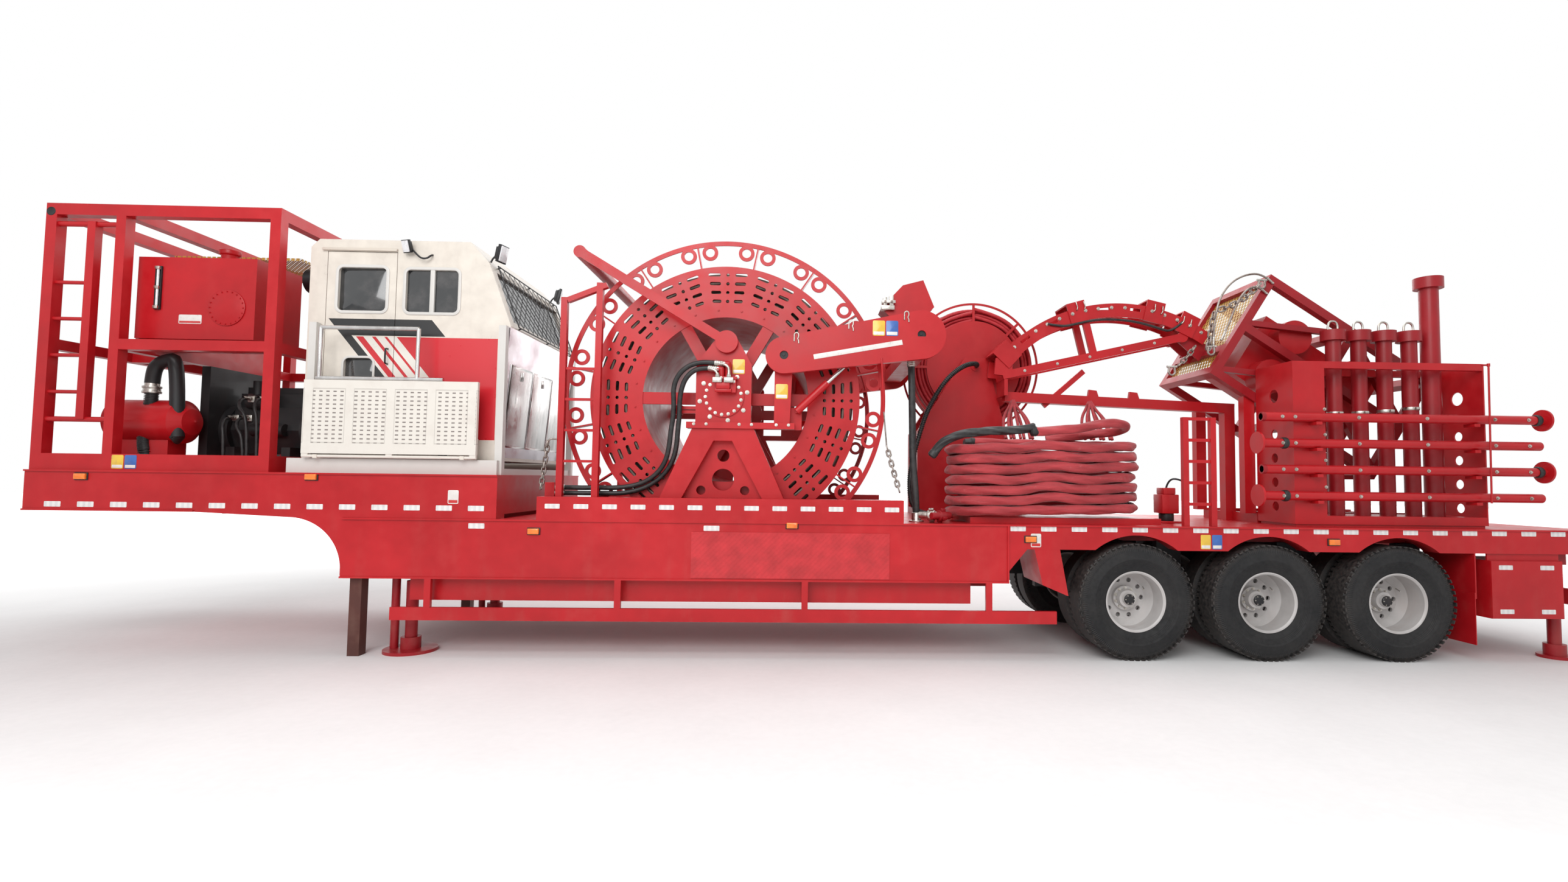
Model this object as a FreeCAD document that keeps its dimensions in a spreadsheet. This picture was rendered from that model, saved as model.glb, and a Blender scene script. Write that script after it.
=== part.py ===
"""Coiled tubing unit on a three-axle gooseneck semi-trailer.

Frame: +Z up, the gooseneck's front towards -X, the left side towards -Y. The origin is on the ground,
midway along the overall length and on the centre plane. Every size is in millimetres.
Lengths named *_x are measured rearwards from the gooseneck's front end.
"""
import FreeCAD, Part
import math
import os
import re
import Sketcher

doc = FreeCAD.newDocument("CoiledTubingUnit")
sheet = doc.addObject("Spreadsheet::Sheet", "Sizes")
names = []
nodes = []


# ---------------------------------------------------------------------------------------------
# The sheet, and pieces bound to it
# ---------------------------------------------------------------------------------------------

def sizes(**values):
    """Puts driving sizes into the sheet, each in a cell whose alias is the size's name."""
    for name, value in values.items():
        names.append(name)
        sheet.set(f"A{len(names)}", name)
        sheet.set(f"B{len(names)}", str(value))
        sheet.setAlias(f"B{len(names)}", name)
    sheet.recompute()


def linked(text):
    """An expression in plain size names, rewritten so that FreeCAD reads them from the sheet."""
    text = re.sub(r"\bfront\b", "(-overall_length / 2)", text)
    return re.sub(r"[a-z][a-z_0-9]*", lambda m: "Sizes." + m[0] if m[0] in names else m[0], text)


def value(text):
    """The present value of an expression."""
    result = sheet.evalExpression(linked(text))
    return float(getattr(result, "Value", result))


def bind(piece, **properties):
    for name, text in properties.items():
        piece.setExpression(name, linked(text))


def place(piece, corner):
    for axis, text in zip("xyz", corner):
        piece.setExpression("Placement.Base." + axis, linked(text))
    return piece


def box(label, size, corner):
    """A block from its lowest corner; size is (along X, along Y, along Z)."""
    piece = doc.addObject("Part::Box", label)
    bind(piece, Length=size[0], Width=size[1], Height=size[2])
    return place(piece, corner)


def cylinder(label, radius, height, start, axis="Z"):
    """A round bar that starts at a point and runs along +X, +Y or +Z."""
    piece = doc.addObject("Part::Cylinder", label)
    bind(piece, Radius=radius, Height=height)
    turns = {"X": ((0, 1, 0), 90), "Y": ((1, 0, 0), -90), "Z": ((0, 0, 1), 0)}
    piece.Placement.Rotation = FreeCAD.Rotation(FreeCAD.Vector(*turns[axis][0]), turns[axis][1])
    return place(piece, start)


def slope(start, end):
    """Length, cosine, sine and angle, as expressions, of a line between two (x, z) points."""
    run = f"(({end[0]}) - ({start[0]}))"
    rise = f"(({end[1]}) - ({start[1]}))"
    length = f"sqrt({run} ^ 2 + {rise} ^ 2)"
    return length, f"({run} / {length})", f"({rise} / {length})", f"atan2({rise}; {run})"


def bar(label, start, end, depth, width, side):
    """A flat bar between two (x, z) points: depth across it, width along Y from side."""
    length, cosine, sine, angle = slope(start, end)
    piece = doc.addObject("Part::Box", label)
    bind(piece, Length=length, Width=width, Height=depth)
    piece.Placement.Rotation = FreeCAD.Rotation(FreeCAD.Vector(0, 1, 0), -1)
    piece.setExpression("Placement.Rotation.Angle", linked(f"-{angle}"))
    corner_x = f"{start[0]} + {sine} * ({depth}) / 2"
    corner_z = f"{start[1]} - {cosine} * ({depth}) / 2"
    return place(piece, (corner_x, side, corner_z))


def rod(label, start, end, radius, side):
    """A round bar between two (x, z) points, with its axis at the given Y."""
    length, _, _, angle = slope(start, end)
    piece = doc.addObject("Part::Cylinder", label)
    bind(piece, Radius=radius, Height=length)
    piece.Placement.Rotation = FreeCAD.Rotation(FreeCAD.Vector(0, 1, 0), 1)
    piece.setExpression("Placement.Rotation.Angle", linked(f"90 deg - {angle}"))
    return place(piece, (start[0], side, start[1]))


def add_outline(sketch, outline):
    """A closed outline of bound corners; a third entry makes the next edge an arc of that radius,
    bulging to the right of its direction of travel, or to the left if it is negative."""
    corners = [FreeCAD.Vector(value(c[0]), value(c[1]), 0) for c in outline]
    edges = []
    for i, corner in enumerate(outline):
        start = corners[i]
        end = corners[(i + 1) % len(corners)]
        if len(corner) == 2:
            edges.append((sketch.addGeometry(Part.LineSegment(start, end), False), 1, 2))
            continue
        radius = value(corner[2])
        chord = end - start
        left = FreeCAD.Vector(-chord.y, chord.x, 0).normalize()
        depth = math.sqrt(radius ** 2 - (chord.Length / 2) ** 2)
        centre = (start + end) / 2 + left * math.copysign(depth, radius)
        circle = Part.Circle(centre, FreeCAD.Vector(0, 0, 1), abs(radius))
        ends = (start, end) if radius > 0 else (end, start)
        angles = [math.atan2((p - centre).y, (p - centre).x) for p in ends]
        number = sketch.addGeometry(Part.ArcOfCircle(circle, *angles), False)
        edges.append((number, 1, 2) if radius > 0 else (number, 2, 1))
    for i, (number, _, last) in enumerate(edges):
        following, first, _ = edges[(i + 1) % len(edges)]
        sketch.addConstraint(Sketcher.Constraint("Coincident", number, last, following, first))
    for (number, first, _), corner, point in zip(edges, outline, corners):
        fix(sketch, "DistanceX", (-1, 1, number, first, point.x), corner[0])
        fix(sketch, "DistanceY", (-1, 1, number, first, point.y), corner[1])
        if len(corner) == 3:
            fix(sketch, "Radius", (number, abs(value(corner[2]))), f"abs({corner[2]})")


def fix(sketch, kind, where, text):
    number = sketch.addConstraint(Sketcher.Constraint(kind, *where))
    sketch.setExpression(f"Constraints[{number}]", linked(text))


def add_hole(sketch, hole):
    centre = FreeCAD.Vector(value(hole[0]), value(hole[1]), 0)
    circle = Part.Circle(centre, FreeCAD.Vector(0, 0, 1), value(hole[2]))
    number = sketch.addGeometry(circle, False)
    fix(sketch, "DistanceX", (-1, 1, number, 3, centre.x), hole[0])
    fix(sketch, "DistanceY", (-1, 1, number, 3, centre.y), hole[1])
    fix(sketch, "Radius", (number, value(hole[2])), hole[2])


def add_slot(sketch, across, up, half, radius):
    """A round-ended slot that runs up the sketch, half its straight length either side of its centre."""
    bend = f"{radius} * 1.0001"
    add_outline(sketch, [
        (f"{across} + {radius}", f"{up} - {half}"), (f"{across} + {radius}", f"{up} + {half}", bend),
        (f"{across} - {radius}", f"{up} + {half}"), (f"{across} - {radius}", f"{up} - {half}", bend),
    ])


def new_sketch(body, plane, offset):
    sketch = body.newObject("Sketcher::SketchObject", body.Name + "_outline")
    origin = next(f for f in body.Origin.OriginFeatures if f.Role == plane + "_Plane")
    sketch.AttachmentSupport = (origin, [""])
    sketch.MapMode = "FlatFace"
    sketch.setExpression("AttachmentOffset.Base.z", linked(offset))
    return sketch


def plate(label, plane, outline, thickness, start, holes=(), windows=()):
    """A padded outline on the XZ, YZ or XY plane. It fills from start to start + thickness along
    the third axis. Holes are (across, up, radius); windows are closed outlines cut through."""
    body = doc.addObject("PartDesign::Body", label)
    towards_minus = plane == "XZ"
    offset = f"-(({start}) + ({thickness}))" if towards_minus else start
    sketch = new_sketch(body, plane, offset)
    add_outline(sketch, outline)
    for hole in holes:
        add_hole(sketch, hole)
    for window in windows:
        add_outline(sketch, window)
    pad = body.newObject("PartDesign::Pad", body.Name + "_pad")
    pad.Profile = sketch
    bind(pad, Length=thickness)
    return body


def turned(label, profile, centre):
    """A revolved profile of (along Y, radius) corners about an axis along Y through (x, z)."""
    body = doc.addObject("PartDesign::Body", label)
    sketch = new_sketch(body, "XY", "0")
    add_outline(sketch, [(radius, along) for along, radius in profile])
    turn = body.newObject("PartDesign::Revolution", body.Name + "_turn")
    turn.Profile = sketch
    turn.ReferenceAxis = (sketch, ["V_Axis"])
    turn.Angle = 360
    return place(body, (centre[0], "0", centre[1]))


def mirrored(piece):
    """The same piece on the right side."""
    twin = doc.addObject("Part::Mirroring", piece.Label + "_twin")
    twin.Source = piece
    twin.Normal = FreeCAD.Vector(0, 1, 0)
    return twin


def both_sides(pieces):
    return list(pieces) + [mirrored(p) for p in pieces]


def joined(label, pieces):
    """Several pieces as one; a single piece only gets a placement of its own."""
    pieces = list(pieces)
    if len(pieces) == 1:
        whole = doc.addObject("Part::Compound", label)
        whole.Links = pieces
        return whole
    whole = doc.addObject("Part::MultiFuse", label)
    whole.Shapes = pieces
    return whole


def cut(label, base, tools):
    tool = tools[0] if len(tools) == 1 else joined(label + "_cutters", tools)
    whole = doc.addObject("Part::Cut", label)
    whole.Base = base
    whole.Tool = tool
    return whole


def node(label, piece):
    """Marks a finished sub-part, whose label names its file."""
    piece.Label = label
    nodes.append(piece)
    return piece


# ---------------------------------------------------------------------------------------------
# Trailer
# ---------------------------------------------------------------------------------------------

sizes(
    overall_length=15240, trailer_width=2500, web_inset=15, girder_thickness=190,
    goose_length=4360, goose_deck=1720, goose_underside=1340, goose_slope_x=1560,
    goose_drop_x=2430, goose_drop_top=1300, goose_drop_radius=500,
    deck_height=1300, deck_thickness=30, beam_bottom=735, beam_end_x=9270,
    beam_gusset_x=9450, skirt_bottom=1063, flange_thickness=16,
    rear_beam_thickness=70, cross_member_width=100, cross_member_depth=170,
    well_front_x=5130, well_rear_x=7830, well_floor=780,
    axle_x=10525, axle_pitch=1310, arch_radius=645, tyre_radius=562.5,
)
half = "trailer_width / 2"
web_side = "-(trailer_width / 2) + web_inset"
girder_inside = "(trailer_width / 2 - web_inset - girder_thickness)"
frame_end = "front + overall_length - rear_beam_thickness"
axles = [f"front + axle_x + {i} * axle_pitch" for i in range(3)]


def trailer_frame():
    drop_bottom = "goose_drop_top - goose_drop_radius"
    girder = plate(
        "side_girder", "XZ",
        [
            ("front", "goose_underside"), ("front + goose_slope_x", "goose_underside"),
            ("front + goose_drop_x", "goose_drop_top", "-goose_drop_radius"),
            ("front + goose_drop_x + goose_drop_radius", drop_bottom),
            ("front + goose_drop_x + goose_drop_radius", "beam_bottom"),
            ("front + beam_end_x", "beam_bottom"),
            ("front + beam_end_x", "beam_bottom + 115"), ("front + beam_gusset_x", "skirt_bottom"),
            (frame_end, "skirt_bottom"), (frame_end, "deck_height"),
            ("front + goose_length", "deck_height"), ("front + goose_length", "goose_deck"),
            ("front", "goose_deck"),
        ],
        "girder_thickness", web_side,
    )
    arches = [
        cylinder(f"arch_{i}", "arch_radius", "girder_thickness + web_inset",
                 (axle, "-" + half, "tyre_radius"), "Y")
        for i, axle in enumerate(axles)
    ]
    girder = cut("girder_with_arches", girder, arches)
    flange = "web_inset + girder_thickness"
    beam_start = "front + goose_drop_x + goose_drop_radius"
    rails = [
        box("goose_top_flange", ("goose_length", flange, "flange_thickness"),
            ("front", "-" + half, "goose_deck - flange_thickness")),
        box("goose_low_flange", ("goose_slope_x", flange, "flange_thickness"),
            ("front", "-" + half, "goose_underside")),
        box("beam_low_flange", ("front + beam_end_x - (" + beam_start + ")", flange, "flange_thickness"),
            (beam_start, "-" + half, "beam_bottom")),
        box("deck_side_flange", (f"{frame_end} - ({beam_start})", flange, "flange_thickness"),
            (beam_start, "-" + half, "deck_height - flange_thickness")),
        box("beam_end_plate", ("flange_thickness", flange, "deck_height - beam_bottom"),
            ("front + beam_end_x - flange_thickness", "-" + half, "beam_bottom")),
    ]
    across = f"2 * {girder_inside}"
    member_top = "deck_height - deck_thickness"
    members = []
    for i, x in enumerate(("beam_start_x", "well_front_x - cross_member_width", "well_rear_x",
                           "beam_end_x - 600", "axle_x - 655", "axle_x + 655", "axle_x + 1965",
                           "axle_x + 3275")):
        members.append(box(f"cross_member_{i}", ("cross_member_width", across, "cross_member_depth"),
                           (f"front + {x}", f"-{girder_inside}", f"{member_top} - cross_member_depth")))
    for i, x in enumerate(("0", "goose_slope_x", "goose_length / 2 + 400",
                           "goose_length - cross_member_width")):
        members.append(box(f"goose_member_{i}",
                           ("cross_member_width", across, "goose_deck - goose_underside - deck_thickness"),
                           (f"front + {x}", f"-{girder_inside}", "goose_underside")))
    members.append(box("drop_panel", ("flange_thickness", across, "goose_drop_top - beam_bottom - 100"),
                       (beam_start + " - 120", f"-{girder_inside}", "beam_bottom")))
    members.append(box("well_floor_plate", ("well_rear_x - well_front_x", across, "flange_thickness"),
                       ("front + well_front_x", f"-{girder_inside}", "well_floor - flange_thickness")))
    for i, x in enumerate(("well_front_x", "well_rear_x - flange_thickness")):
        members.append(box(f"well_end_{i}", ("flange_thickness", across, "well_depth"),
                           (f"front + {x}", f"-{girder_inside}", "well_floor - flange_thickness")))
    spine = [
        box("rear_spine", (f"{frame_end} - (front + well_rear_x)", "spine_width", "cross_member_depth"),
            ("front + well_rear_x", "-spine_offset - spine_width / 2",
             f"{member_top} - cross_member_depth")),
    ]
    coupler = box("coupler_plate", ("coupler_length", across, "coupler_thickness"),
                  ("front", f"-{girder_inside}", "goose_underside"))
    kingpin = [
        cylinder("kingpin_collar", "kingpin_collar_radius", "kingpin_collar_height",
                 ("front + kingpin_x", "0", "goose_underside - kingpin_collar_height")),
        cylinder("kingpin_neck", "kingpin_radius", "kingpin_neck_height + kingpin_collar_height",
                 ("front + kingpin_x", "0",
                  "goose_underside - kingpin_collar_height - kingpin_neck_height")),
        cylinder("kingpin_head", "kingpin_head_radius", "kingpin_head_height",
                 ("front + kingpin_x", "0", "goose_underside - kingpin_collar_height"
                  " - kingpin_neck_height - kingpin_head_height")),
    ]
    pieces = both_sides([girder] + rails + spine) + members + [coupler] + kingpin
    pieces += bumper() + deck_ladder()
    node("trailer_frame", joined("frame_weldment", pieces))


sizes(
    beam_start_x=2950, spine_width=160, spine_offset=450, well_depth=400,
    coupler_length=1560, coupler_thickness=12, kingpin_x=900, kingpin_radius=25.4,
    kingpin_collar_radius=36.5, kingpin_collar_height=30, kingpin_neck_height=35,
    kingpin_head_radius=35.7, kingpin_head_height=19,
)


def decks():
    across = f"2 * {girder_inside}"
    side = f"-{girder_inside}"
    goose = box("goose_deck_plate", ("goose_length", across, "deck_thickness"),
                ("front", side, "goose_deck - deck_thickness"))
    before = box("low_deck_plate", ("well_front_x - goose_length", across, "deck_thickness"),
                 ("front + goose_length", side, "deck_height - deck_thickness"))
    behind = box("rear_deck_plate", (f"{frame_end} - (front + well_rear_x)", across, "deck_thickness"),
                 ("front + well_rear_x", side, "deck_height - deck_thickness"))
    pile = box("pile_plate", ("pile_plate_length", "pile_plate_width", "pile_plate_thickness"),
               ("front + pile_plate_x", f"-{half} + 220", "deck_height"))
    node("deck_plates", joined("deck_plate_set", [goose, before, behind, pile]))


# ---------------------------------------------------------------------------------------------
# Running gear
# ---------------------------------------------------------------------------------------------

sizes(
    tyre_width=315, twin_spacing=360, outer_tyre_offset=1088, rim_radius=300, bead_radius=296,
    rim_wall=14, rim_seat_gap=0.3, rim_well_radius=272, disc_dish=76, disc_wall=14,
    disc_face_radius=216, hand_hole_count=10, hand_hole_radius=23, hand_hole_pitch_radius=182,
    hub_radius=120, hub_length=150, hub_cap_radius=58, drum_radius=205, drum_face=40,
    axle_tube_radius=75, bearing_gap=0.3, axle_seat=25, spring_width=90,
    spring_offset=520, spring_thickness=70, 
)


def wheel(name, x, side):
    """Twin tyres on their two rims, with the hub they share; side is -1 on the left."""
    outer = "-outer_tyre_offset"
    inner = "-(outer_tyre_offset - twin_spacing)"
    tyres = []
    for place_name, centre in (("outer", outer), ("inner", inner)):
        tyres.append(turned(
            f"{name}_{place_name}_tyre",
            [
                (f"{centre} - 0.36 * tyre_width", "bead_radius"),
                (f"{centre} + 0.36 * tyre_width", "bead_radius"),
                (f"{centre} + tyre_width / 2", "bead_radius + 0.45 * (tyre_radius - bead_radius)"),
                (f"{centre} + 0.44 * tyre_width", "tyre_radius - 40"),
                (f"{centre} + 0.36 * tyre_width", "tyre_radius"),
                (f"{centre} - 0.36 * tyre_width", "tyre_radius"),
                (f"{centre} - 0.44 * tyre_width", "tyre_radius - 40"),
                (f"{centre} - tyre_width / 2", "bead_radius + 0.45 * (tyre_radius - bead_radius)"),
            ],
            (x, "tyre_radius"),
        ))
    rims = []
    middle = "-(outer_tyre_offset - twin_spacing / 2)"
    for place_name, centre, sign in (("outer", outer, "-"), ("inner", inner, "+")):
        rims.append(turned(
            f"{name}_{place_name}_rim",
            [
                (f"{centre} - 0.38 * tyre_width", "rim_radius - rim_wall"),
                (f"{centre} - 0.34 * tyre_width", "rim_well_radius"),
                (f"{centre} + 0.34 * tyre_width", "rim_well_radius"),
                (f"{centre} + 0.38 * tyre_width", "rim_radius - rim_wall"),
                (f"{centre} + 0.38 * tyre_width", "bead_radius - rim_seat_gap"),
                (f"{centre} - 0.38 * tyre_width", "bead_radius - rim_seat_gap"),
            ],
            (x, "tyre_radius"),
        ))
        disc = turned(
            f"{name}_{place_name}_disc",
            [
                (f"{middle} {sign} (disc_dish + disc_wall)", "rim_well_radius + 2"),
                (f"{middle} {sign} disc_dish", "rim_well_radius + 2"),
                (middle, "disc_face_radius"), (middle, "hub_radius - 1"),
                (f"{middle} {sign} disc_wall", "hub_radius - 1"),
                (f"{middle} {sign} disc_wall", "disc_face_radius - 4"),
            ],
            (x, "tyre_radius"),
        )
        start = f"{middle} - disc_dish" if sign == "-" else middle
        holes = []
        for i in range(int(value("hand_hole_count"))):
            angle = f"({i} * 360 / hand_hole_count)"
            holes.append(cylinder(
                f"{name}_{place_name}_hand_hole_{i}", "hand_hole_radius", "disc_dish",
                (f"{x} + hand_hole_pitch_radius * cos({angle})", start,
                 f"tyre_radius + hand_hole_pitch_radius * sin({angle})"), "Y"))
        rims.append(cut(f"{name}_{place_name}_web", disc, holes))
    hub = turned(
        f"{name}_hub",
        [
            (f"{middle} - hub_length", "0"), (f"{middle} + hub_length", "0"),
            (f"{middle} + hub_length", "drum_radius"), (f"{middle} + drum_face", "drum_radius"),
            (f"{middle} + drum_face", "hub_radius"), (f"{middle} - 0.4 * hub_length", "hub_radius"),
            (f"{middle} - 0.4 * hub_length", "0.8 * hub_radius"),
            (f"{middle} - 0.8 * hub_length", "0.7 * hub_radius"),
            (f"{middle} - 0.8 * hub_length", "hub_cap_radius"),
            (f"{middle} - hub_length", "0.9 * hub_cap_radius"),
        ],
        (x, "tyre_radius"),
    )
    tyres = joined(name + "_tyre_pair", tyres)
    rims = joined(name + "_rim_pair", rims + [hub])
    if side > 0:
        tyres = mirrored(tyres)
        rims = mirrored(rims)
    node(name + "_tyres", tyres)
    node(name + "_rims", rims)


def running_gear():
    for axle, place_name in zip(axles, ("front", "middle", "rear")):
        for side, side_name in ((-1, "left"), (1, "right")):
            wheel(f"wheel_{place_name}_{side_name}", axle, side)
    tubes = []
    springs = []
    axle_reach = "(outer_tyre_offset - twin_spacing / 2 - hub_length - bearing_gap)"
    for i, axle in enumerate(axles):
        tubes.append(cylinder(f"axle_tube_{i}", "axle_tube_radius", f"2 * {axle_reach}",
                              (axle, f"-{axle_reach}", "tyre_radius"), "Y"))
        springs += both_sides([
            box(f"spring_{i}", ("0.8 * axle_pitch", "spring_width", "spring_thickness"),
                (f"{axle} - 0.4 * axle_pitch", "-spring_offset - spring_width / 2",
                 "tyre_radius + axle_tube_radius - axle_seat")),
        ])
    hanger_top = "deck_height - deck_thickness - cross_member_depth"
    hanger_bottom = "(tyre_radius + axle_tube_radius - axle_seat)"
    for i in range(4):
        springs += both_sides([
            box(f"hanger_{i}", ("0.2 * axle_pitch", "spring_width", f"{hanger_top} - {hanger_bottom}"),
                (f"front + axle_x + ({i} - 0.6) * axle_pitch", "-spring_offset - spring_width / 2",
                 hanger_bottom)),
        ])
    node("axles_and_springs", joined("axle_set", tubes + springs))


sizes(
    guard_thickness=12, front_guard_x=9600, guard_bottom=620,
    rear_guard_x=13900, guard_width=600, flap_thickness=8, flap_bottom=170,
    rail_front_x=3410, rail_rear_x=9730, rail_bottom=350, rail_height=120, rail_thickness=40,
    rail_post_width=60, locker_front_x=3530, locker_rear_x=8920, locker_bottom=520,
    locker_inset=120, locker_depth=700,
    door_front_x=6210, door_length=1900, door_bottom=763, door_top=1200, door_thickness=8,
    toolbox_x=14050, toolbox_length=730, toolbox_bottom=430, toolbox_top=995, toolbox_depth=480,
    toolbox_wall=4, toolbox_gap=3, bumper_height=160, bumper_z=520, bumper_thickness=60,
)


def guards():
    fronts = [
        plate("front_mudguard", "XZ",
              [
                  ("front + front_guard_x - 80", "skirt_bottom"),
                  ("front + front_guard_x + 170", "skirt_bottom"),
                  ("front + front_guard_x + 250", "guard_bottom"),
                  ("front + front_guard_x + 238", "guard_bottom"),
                  ("front + front_guard_x", "guard_bottom + 100"),
              ][::-1], "guard_width", "-" + half + " + flange_thickness"),
        box("rear_mudguard", ("guard_thickness", "guard_width", "skirt_bottom - guard_bottom"),
            ("front + rear_guard_x", "-" + half + " + flange_thickness", "guard_bottom")),
    ]
    flap = box("mud_flap", ("flap_thickness", "guard_width", "guard_bottom + 60 - flap_bottom"),
                ("front + rear_guard_x - flap_thickness", "-" + half + " + flange_thickness",
                 "flap_bottom"))
    rail = [box("guard_rail", ("rail_rear_x - rail_front_x", "rail_thickness", "rail_height"),
                ("front + rail_front_x", "-" + half, "rail_bottom"))]
    for i in range(4):
        rail.append(box(f"rail_post_{i}",
                        ("rail_post_width", "rail_thickness", "beam_bottom - rail_bottom"),
                        (f"front + rail_front_x + 310 + {i} * 1775", "-" + half, "rail_bottom")))
    node("guards", joined("guard_set", both_sides(fronts + [flap] + rail)))
    node("beam_door", box("beam_door_leaf", ("door_length", "door_thickness", "door_top - door_bottom"),
                          ("front + door_front_x", web_side + " - door_thickness - seat_gap",
                           "door_bottom")))


def underbeam_locker():
    return box("locker", ("locker_rear_x - locker_front_x", "locker_depth", "beam_bottom - locker_bottom"),
               ("front + locker_front_x", "-" + half + " + locker_inset", "locker_bottom"))


def lockers():
    outer = box("toolbox_outer", ("toolbox_length", "toolbox_depth", "toolbox_top - toolbox_bottom"),
                ("front + toolbox_x", "-" + half + " + door_thickness + seat_gap", "toolbox_bottom"))
    inner = box("toolbox_hollow",
                ("toolbox_length - 2 * toolbox_wall", "toolbox_depth - toolbox_wall",
                 "toolbox_top - toolbox_bottom - 2 * toolbox_wall"),
                ("front + toolbox_x + toolbox_wall", "-" + half,
                 "toolbox_bottom + toolbox_wall"))
    shell = cut("toolbox_shell", outer, [inner])
    hangers = box("toolbox_hanger", ("toolbox_length", "toolbox_wall * 4", "skirt_bottom - toolbox_top"),
                  ("front + toolbox_x", "-" + half + " + 40", "toolbox_top"))
    node("lockers", joined("locker_set", both_sides([shell, hangers, underbeam_locker()])))
    door = box("toolbox_door", ("toolbox_length - 2 * toolbox_gap", "door_thickness",
                                "toolbox_top - toolbox_bottom - 2 * toolbox_gap"),
               ("front + toolbox_x + toolbox_gap", "-" + half, "toolbox_bottom + toolbox_gap"))
    node("toolbox_door_left", door)
    node("toolbox_door_right", mirrored(door))


def bumper():
    cross = box("bumper_bar", ("bumper_thickness", "trailer_width", "bumper_height"),
                ("front + overall_length - bumper_thickness", "-" + half, "bumper_z"))
    rear_beam = box("rear_beam", ("rear_beam_thickness", "trailer_width", "deck_height - skirt_bottom"),
                    (frame_end, "-" + half, "skirt_bottom"))
    stays = both_sides([box("bumper_stay", ("bumper_thickness", "spine_width",
                                            "skirt_bottom - bumper_z"),
                            ("front + overall_length - bumper_thickness", "-700", "bumper_z"))])
    return [cross, rear_beam] + stays


# ---------------------------------------------------------------------------------------------
# Jacks
# ---------------------------------------------------------------------------------------------

sizes(
    front_jack_x=3470, rear_jack_x=14930, front_jack_offset=960, rear_jack_offset=1000,
    jack_radius=55, jack_housing_radius=75, jack_fit=0.5, dish_radius=240, dish_thickness=30,
    dish_hub_radius=90, dish_hub_height=110, pin_leg_x=3310, pin_leg_radius=38, jack_bracket_height=120,
    jack_clearance=5, pin_clamp_wall=15, pin_clamp_height=100, pin_leg_rise=150, front_jack_top=1100,
    front_leg_top=680, rear_jack_bottom=560, rear_leg_top=740, prop_x=3000, prop_width=110,
)


def jack(name, x, offset, foot, top, side):
    """A jack's leg, with its dished foot, on the ground."""
    leg = [
        cylinder(name + "_leg", "jack_radius", f"{top} - dish_thickness",
                 (x, f"-{offset}", "dish_thickness")),
        cylinder(name + "_hub", "dish_hub_radius", "dish_hub_height", (x, f"-{offset}", "dish_thickness")),
        cylinder(name + "_dish", foot, "dish_thickness", (x, f"-{offset}", "0")),
    ]
    if name.startswith("front"):
        leg.append(cylinder(name + "_pin_leg", "pin_leg_radius",
                            "beam_bottom + pin_leg_rise - dish_thickness",
                            ("front + pin_leg_x", f"-{offset}", "dish_thickness")))
    whole = joined(name + "_set", leg)
    node(name, mirrored(whole) if side > 0 else whole)


def jacks():
    housings = []
    for name, x, offset, bottom, top in (
        ("front", "front + front_jack_x", "front_jack_offset", "beam_bottom + jack_clearance",
         "front_jack_top"),
        ("rear", "front + rear_jack_x", "rear_jack_offset", "rear_jack_bottom",
         "skirt_bottom - seat_gap"),
    ):
        outside = cylinder(name + "_housing_outside", "jack_housing_radius", f"{top} - ({bottom})",
                           (x, f"-{offset}", bottom))
        bore = cylinder(name + "_housing_bore", "jack_radius + jack_fit", f"{top} - ({bottom})",
                        (x, f"-{offset}", f"{bottom} - 1"))
        housings.append(cut(name + "_housing", outside, [bore]))
        bracket_side = f"-{offset} - jack_housing_radius"
        if name == "front":
            bracket_side = f"-({girder_inside} - seat_gap)"
        housings.append(box(name + "_housing_bracket",
                            ("2 * jack_housing_radius",
                             f"-({offset} + jack_radius + jack_clearance) - ({bracket_side})",
                             "jack_bracket_height"),
                            (f"{x} - jack_housing_radius", bracket_side, f"{top} - jack_bracket_height")))
    clamp_body = box("pin_clamp_body",
                     ("2 * (pin_leg_radius + pin_clamp_wall)",
                      f"{girder_inside} - seat_gap - front_jack_offset + pin_leg_radius + pin_clamp_wall",
                      "pin_clamp_height"),
                     ("front + pin_leg_x - pin_leg_radius - pin_clamp_wall",
                      f"-({girder_inside} - seat_gap)", "beam_bottom + jack_clearance"))
    clamp = cut("pin_clamp", clamp_body,
                [cylinder("pin_clamp_bore", "pin_leg_radius + jack_fit", "pin_clamp_height + 2",
                          ("front + pin_leg_x", "-front_jack_offset", "beam_bottom + jack_clearance - 1"))])
    node("jack_housings", joined("housing_set", both_sides(housings + [clamp])))
    for side, side_name in ((-1, "left"), (1, "right")):
        jack("front_jack_" + side_name, "front + front_jack_x", "front_jack_offset",
             "dish_radius", "front_leg_top", side)
        jack("rear_jack_" + side_name, "front + rear_jack_x", "rear_jack_offset",
             "0.6 * dish_radius", "rear_leg_top", side)
    prop = box("prop", ("prop_width", "prop_width", "beam_bottom"),
               ("front + prop_x", "-" + half + " + 60", "0"))
    node("prop_posts", joined("prop_set", both_sides([prop])))


# ---------------------------------------------------------------------------------------------
# Power pack
# ---------------------------------------------------------------------------------------------

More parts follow.
